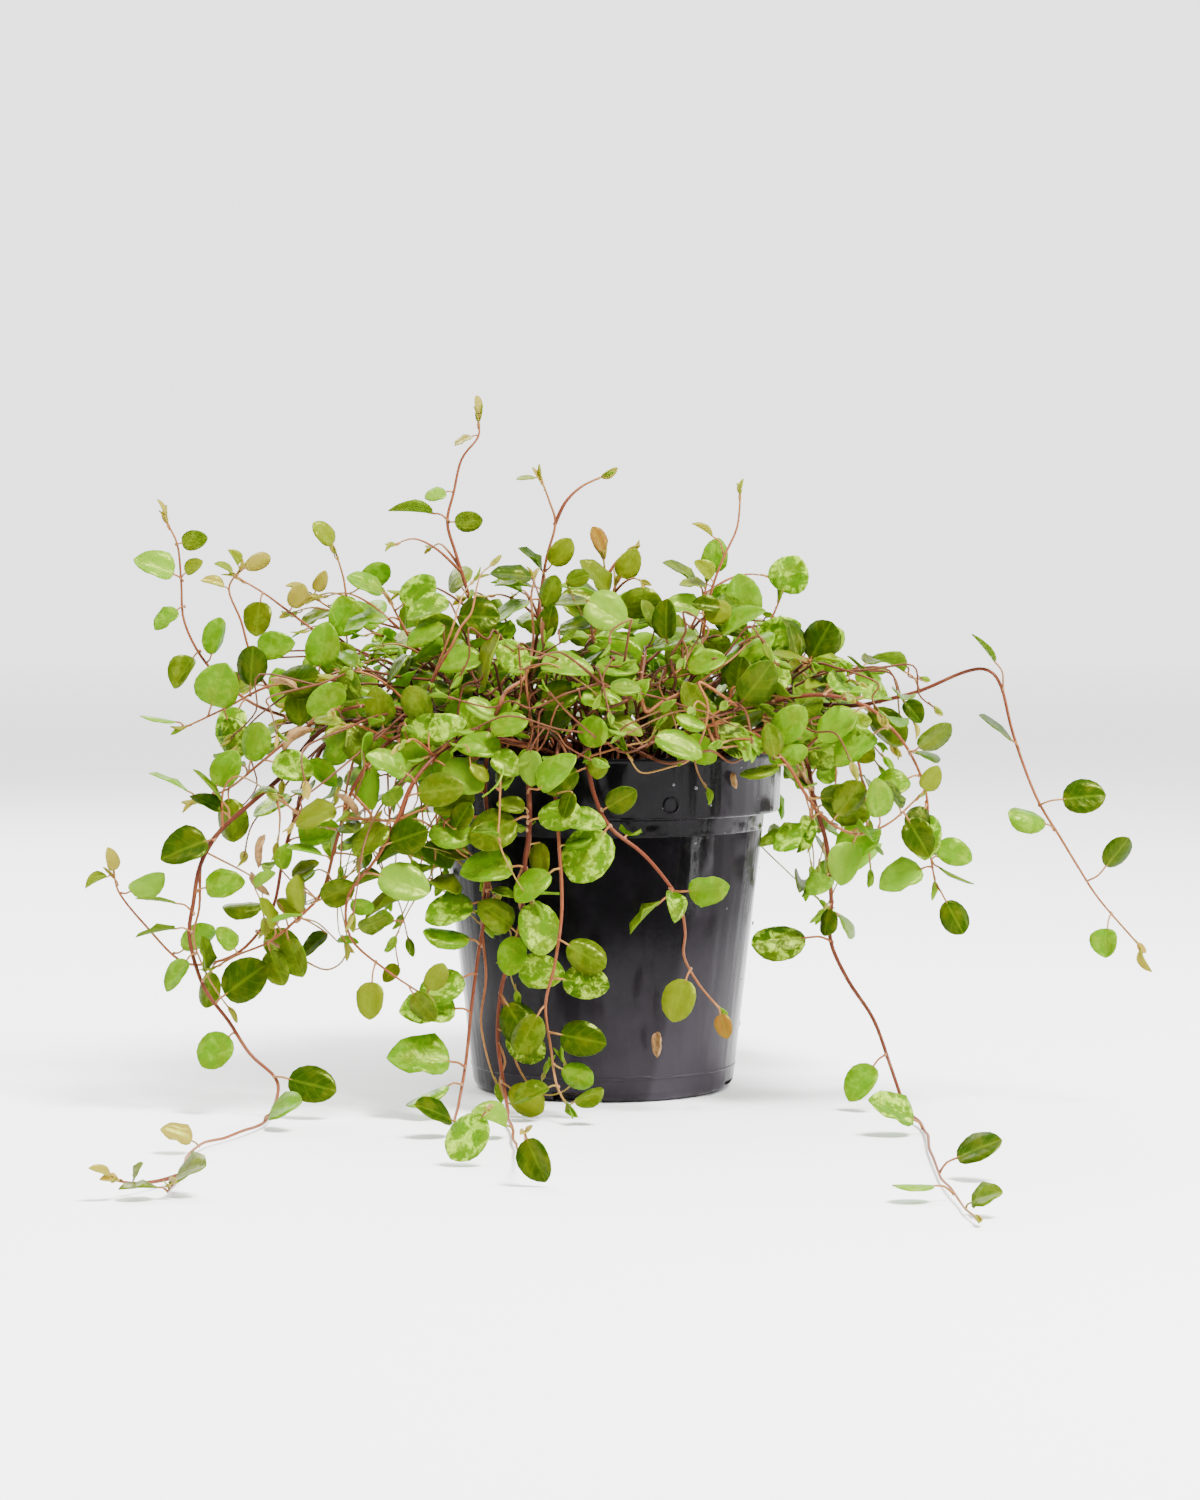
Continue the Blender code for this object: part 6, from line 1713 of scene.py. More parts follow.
def leaf_colours(finish, vein_share):
    """The colour of a blade from its four shares, its marbling and its veins, and the veins' relief."""
    green = finish.ramp(finish.attribute("green"), LEAF_GREENS)
    cloud = finish.noise(190, detail=2)
    green = finish.mix(finish.patch(cloud, 0.4, 0.75, 0.35), green, YOUNG_OLIVE)
    patches = finish.noise(350, detail=4, roughness=0.66, distortion=0.5)
    marbling = finish.times(finish.step(patches, 0.47, 0.60), finish.attribute("marbled"))
    colour = finish.mix(finish.times(marbling, 0.85), green, CREAM)
    specks = finish.noise(1100, detail=2)
    flecks = finish.times(finish.step(specks, 0.5, 0.66), finish.attribute("marbled"))
    colour = finish.mix(finish.times(flecks, 0.35), colour, LEAF_GREENS[1][1])
    youth = finish.attribute("youth")
    colour = finish.mix(finish.patch(youth, 0.1, 0.7, 0.75), colour, YOUNG_OLIVE)
    colour = finish.mix(finish.patch(youth, 0.55, 1.0, 0.85), colour, BRONZE)
    pale = finish.attribute("pale")
    colour = finish.mix(finish.times(pale, 0.8), colour, PALE_GREEN)
    colour = finish.mix(finish.patch(youth, 0.5, 0.7, pale), colour, TIP_TAN)
    blade = finish.add("ShaderNodeUVMap", uv_map="blade").outputs[0]
    parts = finish.add("ShaderNodeSeparateXYZ", {"Vector": blade})
    along = parts.outputs[0]
    aside = finish.math("ABSOLUTE", finish.math("MULTIPLY_ADD", parts.outputs[1], 2.0, -1.0))
    midrib = finish.math("SUBTRACT", 1.0, finish.step(aside, 0.03, 0.13))
    slant = finish.math("MULTIPLY_ADD", aside, -1.6, finish.times(along, 5.0))
    waves = finish.math("ABSOLUTE", finish.math("SUBTRACT", finish.math("FRACT", slant), 0.5))
    side_veins = finish.math("SUBTRACT", 1.0, finish.step(waves, 0.02, 0.12))
    veins = finish.math("MAXIMUM", midrib, finish.times(side_veins, 0.4))
    colour = finish.mix(finish.times(veins, vein_share), colour, MIDRIB)
    return colour, veins


def leaf_face_finish():
    """The upper side: satin green, marbled on some leaves, uneven, with sunken veins."""
    finish = Finish("leaf_face", 0.4, Specular_IOR_Level=0.45, Specular_Tint=WARM_SHEEN)
    colour, veins = leaf_colours(finish, 0.24)
    finish.colour(colour)
    swell = finish.noise(210, detail=2)
    finish.rough(finish.math("MULTIPLY_ADD", swell, 0.3, 0.14))
    sunken = finish.times(veins, finish.times(finish.attribute("large"), -0.09))
    finish.bump(finish.math("ADD", swell, sunken), 0.6, 0.0012)
    finish.glow(colour, LEAF_GLOW, LEAF_GLOW_TONE)
    return finish.material


def leaf_underside_finish():
    """The lower side: paler and duller, with raised veins."""
    finish = Finish("leaf_underside", 0.6, Specular_IOR_Level=0.12, Specular_Tint=WARM_SHEEN)
    colour, veins = leaf_colours(finish, 0.3)
    colour = finish.mix(0.35, colour, PALE_GREEN)
    finish.colour(colour)
    raised = finish.times(veins, finish.attribute("large"))
    finish.bump(raised, 0.4, 0.0002)
    finish.glow(colour, LEAF_GLOW, LEAF_GLOW_TONE)
    return finish.material


OLD_BARK = ((0.16, (0.16, 0.16, 0.02)), (0.27, (0.26, 0.125, 0.035)), (0.40, (0.20, 0.062, 0.021)),
            (0.56, (0.115, 0.027, 0.012)), (0.82, (0.042, 0.010, 0.006)))
# Darker bark for the stems inside the dome: painted shade.
SHADED_BARK = ((0.16, (0.10, 0.07, 0.014)), (0.30, (0.10, 0.034, 0.014)), (0.5, (0.06, 0.017, 0.008)),
             (0.82, (0.024, 0.007, 0.004)))
YOUNG_BARK = ((0.16, (0.16, 0.16, 0.02)), (0.27, (0.25, 0.12, 0.034)), (0.45, (0.21, 0.072, 0.025)),
              (0.9, (0.13, 0.038, 0.016)))
BARK_PATCH = (0.25, 0.10, 0.04)
BARK_STREAK = (0.06, 0.018, 0.01)
# Colours of the pot, its drops, the crumbs and the mix: dark, then light. The pot's light tone is its
# dust and its painted reflection.
POT_BLACKS = ((0.0025, 0.0021, 0.0027), (0.037, 0.031, 0.039))
DROP_TONES = ((0.01, 0.01, 0.012), (0.06, 0.06, 0.065))
CRUMB_TONES = ((0.012, 0.006, 0.003), (0.075, 0.04, 0.022))
MIX_TONES = ((0.008, 0.004, 0.002), (0.045, 0.025, 0.014))


def stem_finish(name, tones):
    """Wiry stems: dark where thick, tan where thin, and yellow-green on stalks."""
    finish = Finish(name, 0.42, Specular_IOR_Level=0.14, Specular_Tint=(1.0, 0.85, 0.7, 1.0))
    girth = finish.attribute("girth")
    age = finish.math("ADD", girth, finish.math("MULTIPLY_ADD", finish.noise(16), 0.5, -0.25))
    bark = finish.ramp(age, tones)
    patches = finish.noise(160, detail=3)
    bark = finish.mix(finish.patch(patches, 0.5, 0.8, 0.4), bark, BARK_PATCH)
    streaks = finish.noise(900, detail=3)
    bark = finish.mix(finish.patch(streaks, 0.5, 0.8, 0.35), bark, BARK_STREAK)
    finish.colour(bark)
    finish.bump(streaks, 0.5, 0.0002)
    return finish.material


def sheath_finish():
    """Papery tan sheaths at the joints of the stems."""
    finish = Finish("papery_sheath", 0.7)
    grain = finish.noise(1200, detail=3)
    finish.colour(finish.ramp(grain, ((0.3, (0.15, 0.05, 0.02)), (0.7, (0.34, 0.18, 0.075)))))
    finish.bump(grain, 0.5, 0.0002)
    return finish.material


def husk_finish():
    """Dry curled leaves, tan with brown blotches."""
    finish = Finish("dry_leaf", 0.75)
    blotch = finish.noise(420, detail=4)
    finish.colour(finish.ramp(blotch, ((0.3, (0.10, 0.04, 0.010)), (0.5, (0.24, 0.12, 0.03)),
                                       (0.75, (0.36, 0.23, 0.07)))))
    finish.bump(blotch, 0.8, 0.0004)
    return finish.material


def pot_finish():
    """Glossy black plastic with faint upright draw lines, a fine grain and specks of dust. Its colour is
    lighter towards the bottom, dust with a painted reflection of the floor, and lighter on its right
    side, a painted reflection.
    """
    finish = Finish("black_plastic", 0.1, Specular_IOR_Level=0.075)
    dust = finish.noise(75, detail=4)
    parts = finish.add("ShaderNodeSeparateXYZ", {"Vector": finish.place})
    height = parts.outputs[2]
    # Lighter towards the bottom: dust, and a painted reflection of the floor.
    low = finish.math("SUBTRACT", 1.0, finish.step(height, 0.0, 0.055))
    dust_and_painted_reflection = finish.math("MULTIPLY_ADD", finish.step(dust, 0.45, 0.8), 0.12, finish.times(low, 0.5))
    # Lighter on the right side, with a slanted edge: a painted reflection of a bright side.
    across = finish.math("MULTIPLY_ADD", height, -0.24, parts.outputs[0])
    dust_and_painted_reflection = finish.math("MULTIPLY_ADD", finish.step(across, 0.0115, 0.0145), 0.3, dust_and_painted_reflection, clamp=True)
    finish.colour(finish.mix(dust_and_painted_reflection, *POT_BLACKS))
    lines = finish.noise(110, detail=2, stretch=(1.0, 1.0, 0.03))
    grain = finish.noise(700, detail=2)
    finish.rough(finish.math("MULTIPLY_ADD", dust, 0.2, 0.06))
    relief = finish.math("MULTIPLY_ADD", grain, 0.06, finish.times(lines, 1.0))
    finish.bump(relief, 0.55, 0.0012)
    return finish.material


def drop_finish():
    """Beads of water, as dark as the wall behind them, with bright glints."""
    finish = Finish("water_drop", 0.03, Specular_IOR_Level=0.7)
    finish.colour(finish.mix(finish.noise(300), *DROP_TONES))
    return finish.material


def mix_finish(name, dark, light):
    """Damp peat and bark."""
    finish = Finish(name, 0.9)
    crumbs = finish.noise(450, detail=5, roughness=0.7)
    finish.colour(finish.ramp(crumbs, ((0.3, dark), (0.7, light))))
    finish.bump(crumbs, 1.0, 0.0015)
    return finish.material


# Pieces.
def as_piece(made, slot, *nodes):
    """Attaches a finished object to the plant's root body and hides the given solids."""
    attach(made, "root")
    if nodes:
        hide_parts(*nodes)


def finished_piece(source, name, slot, tools, *nodes):
    """The plain mesh of an object, as a piece of the plant."""
    as_piece(plain_copy(source, name, tools["plant"]), slot, *nodes)


def turning_of(way, face):
    """The turn that takes X to way and Z to face."""
    across = face.cross(way).normalized()
    upright = way.cross(across).normalized()
    return Matrix((way, across, upright)).transposed().to_quaternion()


def places_object(name, rows, collection):
    """Points that carry what the trees read: rows of (place, turning, size, shape, look)."""
    made = mesh_object(name, [row[0] * MM for row in rows], [], collection)
    mesh = made.data
    shares = ("green", "marbled", "youth", "pale", "large")
    for key, kind in (("turning", "QUATERNION"), ("size", "FLOAT_VECTOR"), ("shape", "INT"),
                      *((key, "FLOAT") for key in shares)):
        mesh.attributes.new(key, kind, "POINT")
    layers = mesh.attributes
    for k, (_, turn, scale, number, look) in enumerate(rows):
        layers["turning"].data[k].value = turn
        layers["size"].data[k].vector = [s * MM for s in scale]
        layers["shape"].data[k].value = number
        for key in shares:
            layers[key].data[k].value = getattr(look, key)
    return made


def leaf_row(item):
    """A leaf's place, turning, size, shape and look."""
    curl = max(0.25, abs(item.curl) / PATTERN_CURL)
    scale = (item.length, item.length * item.ratio, item.length * curl)
    return (item.blade_base(), turning_of(item.way, item.face), scale, item.pattern, item.look)


def collar_row(item, stem_way, girth):
    turn = stem_way.to_track_quat("Z", "Y")
    return (item.root, turn, (girth, girth, girth * 0.9), 0, item.look)


STEM_FINENESS = 1.04
STEM_THINNING = 0.42
STEM_WAVER = 0.55


def wavy_points(stem):
    """The stem's own points, each a little aside, so that it bends at its joints. Its ends stay."""
    draw = random.Random(len(stem.points) + round(100 * stem.points[0].x))
    points = [point.copy() for point in stem.points]
    for point in points[1:-1]:
        point += Vector([draw.uniform(-STEM_WAVER, STEM_WAVER) for _ in range(3)])
    return points


def shoot_lines(name, stems, leaves, collection):
    """One curve object with a line for each stem and each leaf stalk, their radii in millimetres."""
    curve = bpy.data.curves.new(name, "CURVE")
    curve.dimensions = "3D"

    def line(points, radii):
        made = curve.splines.new("POLY")
        made.points.add(len(points) - 1)
        for place, point, radius in zip(made.points, points, radii):
            place.co = (*(point * MM), 1)
            place.radius = radius

    for stem in stems:
        last = len(stem.points) - 1
        line(wavy_points(stem), [radius * (STEM_FINENESS - STEM_THINNING * k / last)
                                 for k, radius in enumerate(stem.radii)])
    for item in leaves:
        base = item.blade_base()
        middle = item.root.lerp(base, 0.5) + item.face * 0.16 * (base - item.root).length
        girth = 0.17 + 0.011 * item.length
        line([item.root, middle, base, base + item.way * 0.12 * item.length - item.face * 0.1],
             [girth * 1.15, girth, girth * 0.95, girth * 0.5])
    return linked(name, curve, collection)


BLADE_SHEET = 0.3
# Leaves from this length on have a sheath at their joint, scaled by this share of the stem's radius.
SHEATHED_LEAF = 7.5
SHEATH_GIRTH = 0.56
STEM_SIDES = 7
STEM_SMOOTHNESS = 5


def thin_wall(sheet):
    """Gives an open sheet the thickness of a blade."""
    shell = sheet.modifiers.new("Blade", "SOLIDIFY")
    shell.thickness = BLADE_SHEET * MM
    shell.offset = 0
    return shell


def sheath_rows(stems, leaves):
    """A row for the sheath of each leaf that has one, where it leaves its stem."""
    rows = []
    for item in leaves:
        if item.length < SHEATHED_LEAF:
            continue
        stem = min(stems, key=lambda s: min((p - item.root).length for p in s.points))
        nearest = min(range(len(stem.points)), key=lambda i: (stem.points[i] - item.root).length)
        way = stem.points[min(nearest + 1, len(stem.points) - 1)] - stem.points[max(nearest - 1, 0)]
        rows.append(collar_row(item, way.normalized(), stem.radii[nearest] * SHEATH_GIRTH))
    return rows


def dress_shoot(name, stems, leaves, bark, tools, nodes):
    """A shoot's fine pieces: its stems with their stalks, its sheaths, and its leaves."""
    shelf = tools["shelf"]
    lines = shoot_lines(name + "_lines", stems, leaves, shelf)
    tools["stems"].put_on(lines, {"Sides": STEM_SIDES, "Smoothness": STEM_SMOOTHNESS,
                                  "Finish": tools[bark]})
    stem_piece = plain_copy(lines, name + "_stems", tools["plant"])
    collars = sheath_rows(stems, leaves)
    if collars:
        spots = places_object(name + "_joints", collars, shelf)
        tools["places"].put_on(spots, {"Shapes": tools["collars"], "Finish": tools["sheath"]})
        finished_piece(spots, name + "_sheaths", "shoot", tools)
    as_piece(stem_piece, "shoot", *nodes)
    spots = places_object(name + "_places", [leaf_row(item) for item in leaves], shelf)
    tools["places"].put_on(spots, {"Shapes": tools["patterns"], "Finish": tools["leaf_face"]})
    sheet = plain_copy(spots, name + "_sheets", tools["plant"])
    sheet.data.materials.append(tools["leaf_underside"])
    shell = thin_wall(sheet)
    shell.material_offset = shell.material_offset_rim = 1
    finished_piece(sheet, name + "_leaves", "shoot", tools, *nodes)


POT_FINE_SIDES = 160
# Where the pot's rounded foot ends, and the angle in degrees from which its edges stay sharp.
FOOT_TOP = 3.4
SHARP_EDGE = 38
LOWER_LINE = 7.5
UPPER_GROOVE = 80.0


def wall_radius(z):
    return BASE_RADIUS + (BODY_TOP_RADIUS - BASE_RADIUS) * (z - FOOT_TOP) / (BAND_BOTTOM - FOOT_TOP)


def fine_pot_profile():
    """The pot's section from the middle of its floor up inside, over the rim and down outside."""
    inner_top = BODY_TOP_RADIUS - WALL
    inner_base = BASE_RADIUS - WALL
    inside = [(0, WALL), (inner_base - 3, WALL), (inner_base - 0.9, WALL + 0.6),
              (inner_base, WALL + 2.6), (inner_top, BAND_BOTTOM - 0.4),
              (RIM_RADIUS - 2.4, BAND_BOTTOM + 1.0),
              (RIM_RADIUS - WALL - 0.2, POT_HEIGHT - 0.9), (RIM_RADIUS - WALL + 0.2, POT_HEIGHT - 0.2),
              (RIM_RADIUS - WALL + 0.5, POT_HEIGHT)]
    rim = [(RIM_RADIUS - inwards, POT_HEIGHT - down) for inwards, down in (
        (0.35, 0), (0.1, 0.12), (0, 0.4), (0, 1.5), (0.25, 1.9))]
    rim += [(RIM_RADIUS - inwards, BAND_BOTTOM + up) for inwards, up in (
        (0.9, 1.1), (1.05, 0.5), (1.5, 0.1), (2.0, 0))]
    body = [(BODY_TOP_RADIUS + outwards, BAND_BOTTOM - down) for outwards, down in (
        (0.5, 0.1), (0.1, 0.4), (0, 1.0))]
    for line, depth in ((UPPER_GROOVE, 0.22), (LOWER_LINE, -0.3)):
        body += [(wall_radius(line + 0.5), line + 0.5), (wall_radius(line) - depth, line + 0.15),
                 (wall_radius(line) - depth, line - 0.15), (wall_radius(line - 0.5), line - 0.5)]
    foot = [(BASE_RADIUS - inwards, height) for inwards, height in (
        (0, FOOT_TOP), (0.35, 1.9), (1.1, 0.75), (2.0, 0.18), (3.0, 0), (BASE_RADIUS, 0))]
    return inside + rim + body + foot


def turned_body(name, profile, sides, collection):
    mesh = bpy.data.meshes.new(name)
    points = [(radius * MM, 0, height * MM) for radius, height in profile]
    mesh.from_pydata(points, [(i, i + 1) for i in range(len(points) - 1)], [])
    made = linked(name, mesh, collection)
    screw = made.modifiers.new("Turn", "SCREW")
    screw.axis = "Z"
    screw.steps = screw.render_steps = sides
    screw.use_merge_vertices = True
    screw.merge_threshold = 0.00001
    return made


def boxed(name, place, size, spin, collection):
    work = bmesh.new()
    bmesh.ops.create_cube(work, size=1)
    bmesh.ops.transform(work, matrix=Matrix.Translation(place) @ Matrix.Rotation(spin, 4, "Z")
                        @ Matrix.Diagonal((*size, 1)), verts=work.verts)
    return worked_object(name, work, collection)


def fine_pot(tools):
    """The pot with its rim lip, its two faint rings and its four drain slots."""
    pot = turned_body("pot_turned", fine_pot_profile(), POT_FINE_SIDES, tools["shelf"])
    slots = new_collection("slot_cutters")
    for k in range(SLOT_COUNT):
        angle = math.radians(SLOT_FIRST_ANGLE + 360 * k / SLOT_COUNT)
        reach = (BASE_RADIUS - 1.0) * MM
        place = (reach * math.cos(angle), reach * math.sin(angle), (SLOT_HEIGHT / 2 - 1) * MM)
        size = (10 * MM, SLOT_WIDTH * MM, (SLOT_HEIGHT + 2) * MM)
        boxed(f"slot_cutter_{k}", place, size, angle, slots)
    cut = pot.modifiers.new("Drain slots", "BOOLEAN")
    cut.operation = "DIFFERENCE"
    cut.operand_type = "COLLECTION"
    cut.collection = slots
    piece = plain_copy(pot, "pot_shell", tools["plant"])
    for each in list(slots.objects):
        bpy.data.objects.remove(each)
    bpy.data.collections.remove(slots)
    piece.data.shade_smooth()
    piece.data.set_sharp_from_angle(angle=math.radians(SHARP_EDGE))
    give_finish(piece, tools["plastic"])
    as_piece(piece, "black_plastic", "pot")


# The mould mark: its angle and height on the pot, its ring's radius and how thick the ring is.
MARK_ANGLE = -68.5
MARK_HEIGHT = 90.0
MARK_RADIUS = 2.3
MARK_THICK = 0.32


def mould_mark(tools):
    """The small raised ring on the rim band."""
    angle = math.radians(MARK_ANGLE)
    work = bmesh.new()
    ring, sides = 28, 8
    for i in range(ring):
        for k in range(sides):
            turn, tilt = 2 * math.pi * i / ring, 2 * math.pi * k / sides
            across = MARK_RADIUS + MARK_THICK * math.cos(tilt)
            work.verts.new((across * math.cos(turn) * MM, across * math.sin(turn) * MM,
                            MARK_THICK * math.sin(tilt) * MM))
    work.verts.ensure_lookup_table()
    for i in range(ring):
        for k in range(sides):
            corners = [(i, k), ((i + 1) % ring, k), ((i + 1) % ring, (k + 1) % sides),
                       (i, (k + 1) % sides)]
            work.faces.new([work.verts[a * sides + b] for a, b in corners])
    reach = (RIM_RADIUS - 0.55) * MM
    turn = Matrix.Rotation(angle, 4, "Z") @ Matrix.Rotation(math.radians(90), 4, "Y")
    place = Matrix.Translation((reach * math.cos(angle), reach * math.sin(angle), MARK_HEIGHT * MM))
    bmesh.ops.transform(work, matrix=place @ turn, verts=work.verts)
    bmesh.ops.recalc_face_normals(work, faces=work.faces)
    made = worked_object("pot_mould_mark", work, tools["plant"])
    made.data.shade_smooth()
    give_finish(made, tools["plastic"])
    as_piece(made, "black_plastic")


def strewn(name, surface, shapes, density, seed, smallest, largest, finish, slot, tools):
    tools["scatter"].put_on(surface, {
        "Shapes": shapes, "Per square metre": float(density), "Seed": seed,
        "Smallest": smallest * MM, "Largest": largest * MM, "Finish": finish})
    finished_piece(surface, name, slot, tools)


def wall_band(name, low, high, first, last, collection):
    """A strip of the pot's outer wall between two heights and two angles, in degrees."""
    points, faces = [], []
    steps = 24
    for radius, height in ((outer_radius_fine(low), low), (outer_radius_fine(high), high)):
        for k in range(steps + 1):
            x, y, z = on_ring(radius, first + (last - first) * k / steps, height)
            points.append((x * MM, y * MM, z * MM))
    for k in range(steps):
        faces.append((k, k + 1, k + steps + 2, k + steps + 1))
    return mesh_object(name, points, faces, collection)


def outer_radius_fine(height):
    """The turned wall's outer radius at a height."""
    if height > BAND_BOTTOM:
        climb = height - BAND_BOTTOM - 1.1
        return RIM_RADIUS - 0.9 + 0.65 * climb / (POT_HEIGHT - 1.9 - BAND_BOTTOM - 1.1)
    return wall_radius(height)


def wall_drops(tools):
    """Water drops on the wall: many on the right of the rim, fewer lower down."""
    bands = (("drops_rim", 88, 101, -75, -20, 9000), ("drops_body", 30, 84, -62, -10, 3000),
             ("drops_back", 25, 100, 0, 240, 900))
    for number, (name, low, high, first, last, density) in enumerate(bands):
        surface = wall_band(name + "_wall", low, high, first, last, tools["shelf"])
        strewn(name, surface, tools["drops"], density, 5 + number, 0.2, 0.8, tools["water"],
               "black_plastic", tools)


def mix_crumbs(tools):
    """Loose crumbs of peat and bark on the mix."""
    sides = 36
    ring = [(0, 0, (MIX_TOP + MIX_CROWN) * MM)]
    for radius, height in ((36, MIX_TOP + MIX_CROWN * 0.5), (51.5, MIX_TOP - 1.2)):
        ring += [tuple(c * MM for c in on_ring(radius, 360 * k / sides, height)) for k in range(sides)]
    faces = [(0, 1 + k, 1 + (k + 1) % sides) for k in range(sides)]
    faces += [(1 + k, 1 + sides + k, 1 + sides + (k + 1) % sides, 1 + (k + 1) % sides)
              for k in range(sides)]
    surface = mesh_object("mix_top", ring, faces, tools["shelf"])
    strewn("mix_crumbs", surface, tools["crumbs"], 190000, 3, 0.8, 3.4, tools["crumb_finish"],
           "potting_mix", tools)


# Dry curled leaves: place in millimetres, heading and turn in degrees, and length.
DRY_LEAVES = ((-99, -62, 82, 250, 40, 9), (-86, -46, 112, 200, 60, 10), (-92, -30, 124, 150, 30, 8),
              (-72, -62, 88, 120, 50, 8), (16, -45.2, 22, 265, 20, 7), (38.5, -39.5, 99, 280, 20, 4.5),
              (-104, -50, 70, 300, 60, 8), (58, -44, 100, 300, 40, 7), (20, 48, 108, 60, 30, 8),
              (-40, 40, 112, 150, 30, 8), (66, -30, 122, 40, 60, 7))


def dry_leaves(tools):
    """Dead leaves caught in the stems, and two bits stuck to the wet wall."""
    rows = []
    for number, (x, y, z, heading, turn, length) in enumerate(DRY_LEAVES):
        way = picture_way(heading, 10).normalized()
        face = Matrix.Rotation(math.radians(turn), 3, way) @ VIEWER
        turning = turning_of(way, (face - way * face.dot(way)).normalized())
        rows.append((Vector((x, y, z)), turning, (length,) * 3, number % 2, Look(0, 0, 0, 0)))
    spots = places_object("dry_places", rows, tools["shelf"])
    tools["places"].put_on(spots, {"Shapes": tools["husks"], "Finish": tools["husk"]})
    sheet = plain_copy(spots, "dry_sheets", tools["plant"])
    thin_wall(sheet)
    finished_piece(sheet, "dry_leaves", "shoot", tools)


# Stage.
CAMERA_PLACE = (-0.001, -1.148, 0.162)
CAMERA_DROP = 2.9
CAMERA_LENS = 89.5
SENSOR = 36
FLOOR_HALF = 6
# The room's brightness in front of the plant and behind it. It changes with how far a direction
# points backwards, between this much forwards and this much backwards.
FRONT_GLOW = 0.6
BACK_GLOW = 2.7
GLOW_REACH = 0.8


def lamp(name, place, target, size, power, colour=(1, 1, 1)):
    light = bpy.data.lights.new(name, "AREA")
    light.size = size
    light.energy = power
    light.color = colour
    made = linked(name, light, bpy.context.scene.collection)
    made.location = place
    made.rotation_euler = (Vector(target) - Vector(place)).to_track_quat("-Z", "Y").to_euler()


def paper_floor():
    """The light grey sheet that the pot stands on. Far off it glows, so that no horizon shows."""
    edge = FLOOR_HALF
    corners = [(-edge, -edge, 0), (edge, -edge, 0), (edge, edge, 0), (-edge, edge, 0)]
    floor = mesh_object("floor", corners, [(0, 1, 2, 3)], new_collection("stage"))
    paper = Finish("white_paper", 0.8, Base_Color=(0.93, 0.93, 0.93, 1), Emission_Color=(1, 1, 1, 1))
    reach = paper.add("ShaderNodeVectorMath", {0: paper.place}, operation="LENGTH").outputs["Value"]
    far = paper.add("ShaderNodeMapRange", {
        "Value": reach, "From Min": 0.7, "From Max": 5.0, "To Max": 1.1})
    paper.link(far.outputs[0], paper.shader.inputs["Emission Strength"])
    give_finish(floor, paper.material)
    return floor


def room_light():
    """A room that is dim in front and bright behind. The lens sees the bright side all round."""
    world = bpy.data.worlds.new("studio")
    world.use_nodes = True
    room = Nodes(world.node_tree)
    background = room.nodes["Background"]
    background.inputs["Color"].default_value = (1, 1, 1, 1)
    around = room.add("ShaderNodeTexCoord").outputs["Generated"]
    parts = room.add("ShaderNodeSeparateXYZ", {0: around})
    glow = room.add("ShaderNodeMapRange", {
        "Value": parts.outputs[1], "From Min": -GLOW_REACH, "From Max": GLOW_REACH,
        "To Min": FRONT_GLOW, "To Max": BACK_GLOW})
    seen = room.add("ShaderNodeLightPath").outputs["Is Camera Ray"]
    light = room.add("ShaderNodeMix", {0: seen, 2: glow.outputs[0], 3: BACK_GLOW})
    room.link(light.outputs[0], background.inputs["Strength"])
    bpy.context.scene.world = world


def picture_camera():
    camera = bpy.data.cameras.new("camera")
    camera.lens = CAMERA_LENS
    camera.sensor_fit = "VERTICAL"
    camera.sensor_width = camera.sensor_height = SENSOR
    made = linked("camera", camera, bpy.context.scene.collection)
    made.location = CAMERA_PLACE
    made.rotation_euler = (math.radians(90 - CAMERA_DROP), 0, 0)
    bpy.context.scene.camera = made


def set_stage():
    floor = paper_floor()
    room_light()
    lamp("key_window", (0.45, -0.55, 1.35), (0, 0, 0.12), 0.45, 92)
    lamp("back_glow", (-0.5, 0.9, 0.9), (0, 0, 0.14), 0.8, 24)
    lamp("side_strip", (1.1, -0.35, 0.3), (0, 0, 0.08), 0.35, 8)
    picture_camera()


def pattern_shelves(shelf):
    """Collections of small shapes that the trees repeat."""
    patterns, collars = new_collection("leaf_patterns"), new_collection("collar_patterns")
    for shape in LEAF_PATTERNS:
        leaf_pattern(*shape, patterns)
    collar_pattern(collars)
    husks = new_collection("husk_patterns")
    husk_pattern("husk_a", 1.5, husks)
    husk_pattern("husk_b", 2.3, husks)
    crumbs = new_collection("crumb_patterns")
    for k, stretch in enumerate((1.0, 1.3, 2.2, 0.9)):
        crumb_pattern(f"crumb_{k}", 50 + k, stretch, crumbs)
    drops = new_collection("drop_patterns")
    drop_pattern(drops)
    return {"patterns": patterns, "collars": collars, "husks": husks, "crumbs": crumbs, "drops": drops}


def all_shoots():
    """The listed shoots, then those that fill the dome and hang at the back."""
    shoots = UPRIGHT_SHOOTS + TRAILING_SHOOTS + LOW_SHOOTS
    shoots += [dome_shoot(k) for k in range(DOME_SHOOTS)]
    return shoots + [back_shoot(k) for k in range(BACK_SHOOTS)]


def give_looks(blades, stems, by_name):
    """Gives every leaf its look and the number of its shape."""
    ends = {}
    for stem in stems:
        ends.setdefault(stem.owner, []).append(stem.points[-1])
    for number, item in enumerate(blades):
        draw = own_draw(LOOK_DRAWS, number)
        item.look = (getattr(item, "look", None) or shown_look(item, by_name)
                     or free_look(item, ends, draw))
        item.pattern = draw.randrange(ROUND_PATTERNS)
        if item.ratio < SLIM_RATIO:
            item.pattern = draw.randrange(ROUND_PATTERNS, len(LEAF_PATTERNS))
        item.look.large = item.length / 20


def give_tip_looks(tips):
    """Tips differ in youth and paleness, spread evenly. Those at the outside are the youngest."""
    for number, item in enumerate(tips):
        outer = from_middle(item.root) > TIP_DOME_REACH or item.root.z > TIP_DOME_TOP
        item.look.youth = (0.5 if outer else 0.0) + 0.5 * (number * YOUTH_STEP % 1)
        item.look.marbled = 0
        item.look.pale = 0.3 + 0.65 * (number * PALE_STEP % 1)


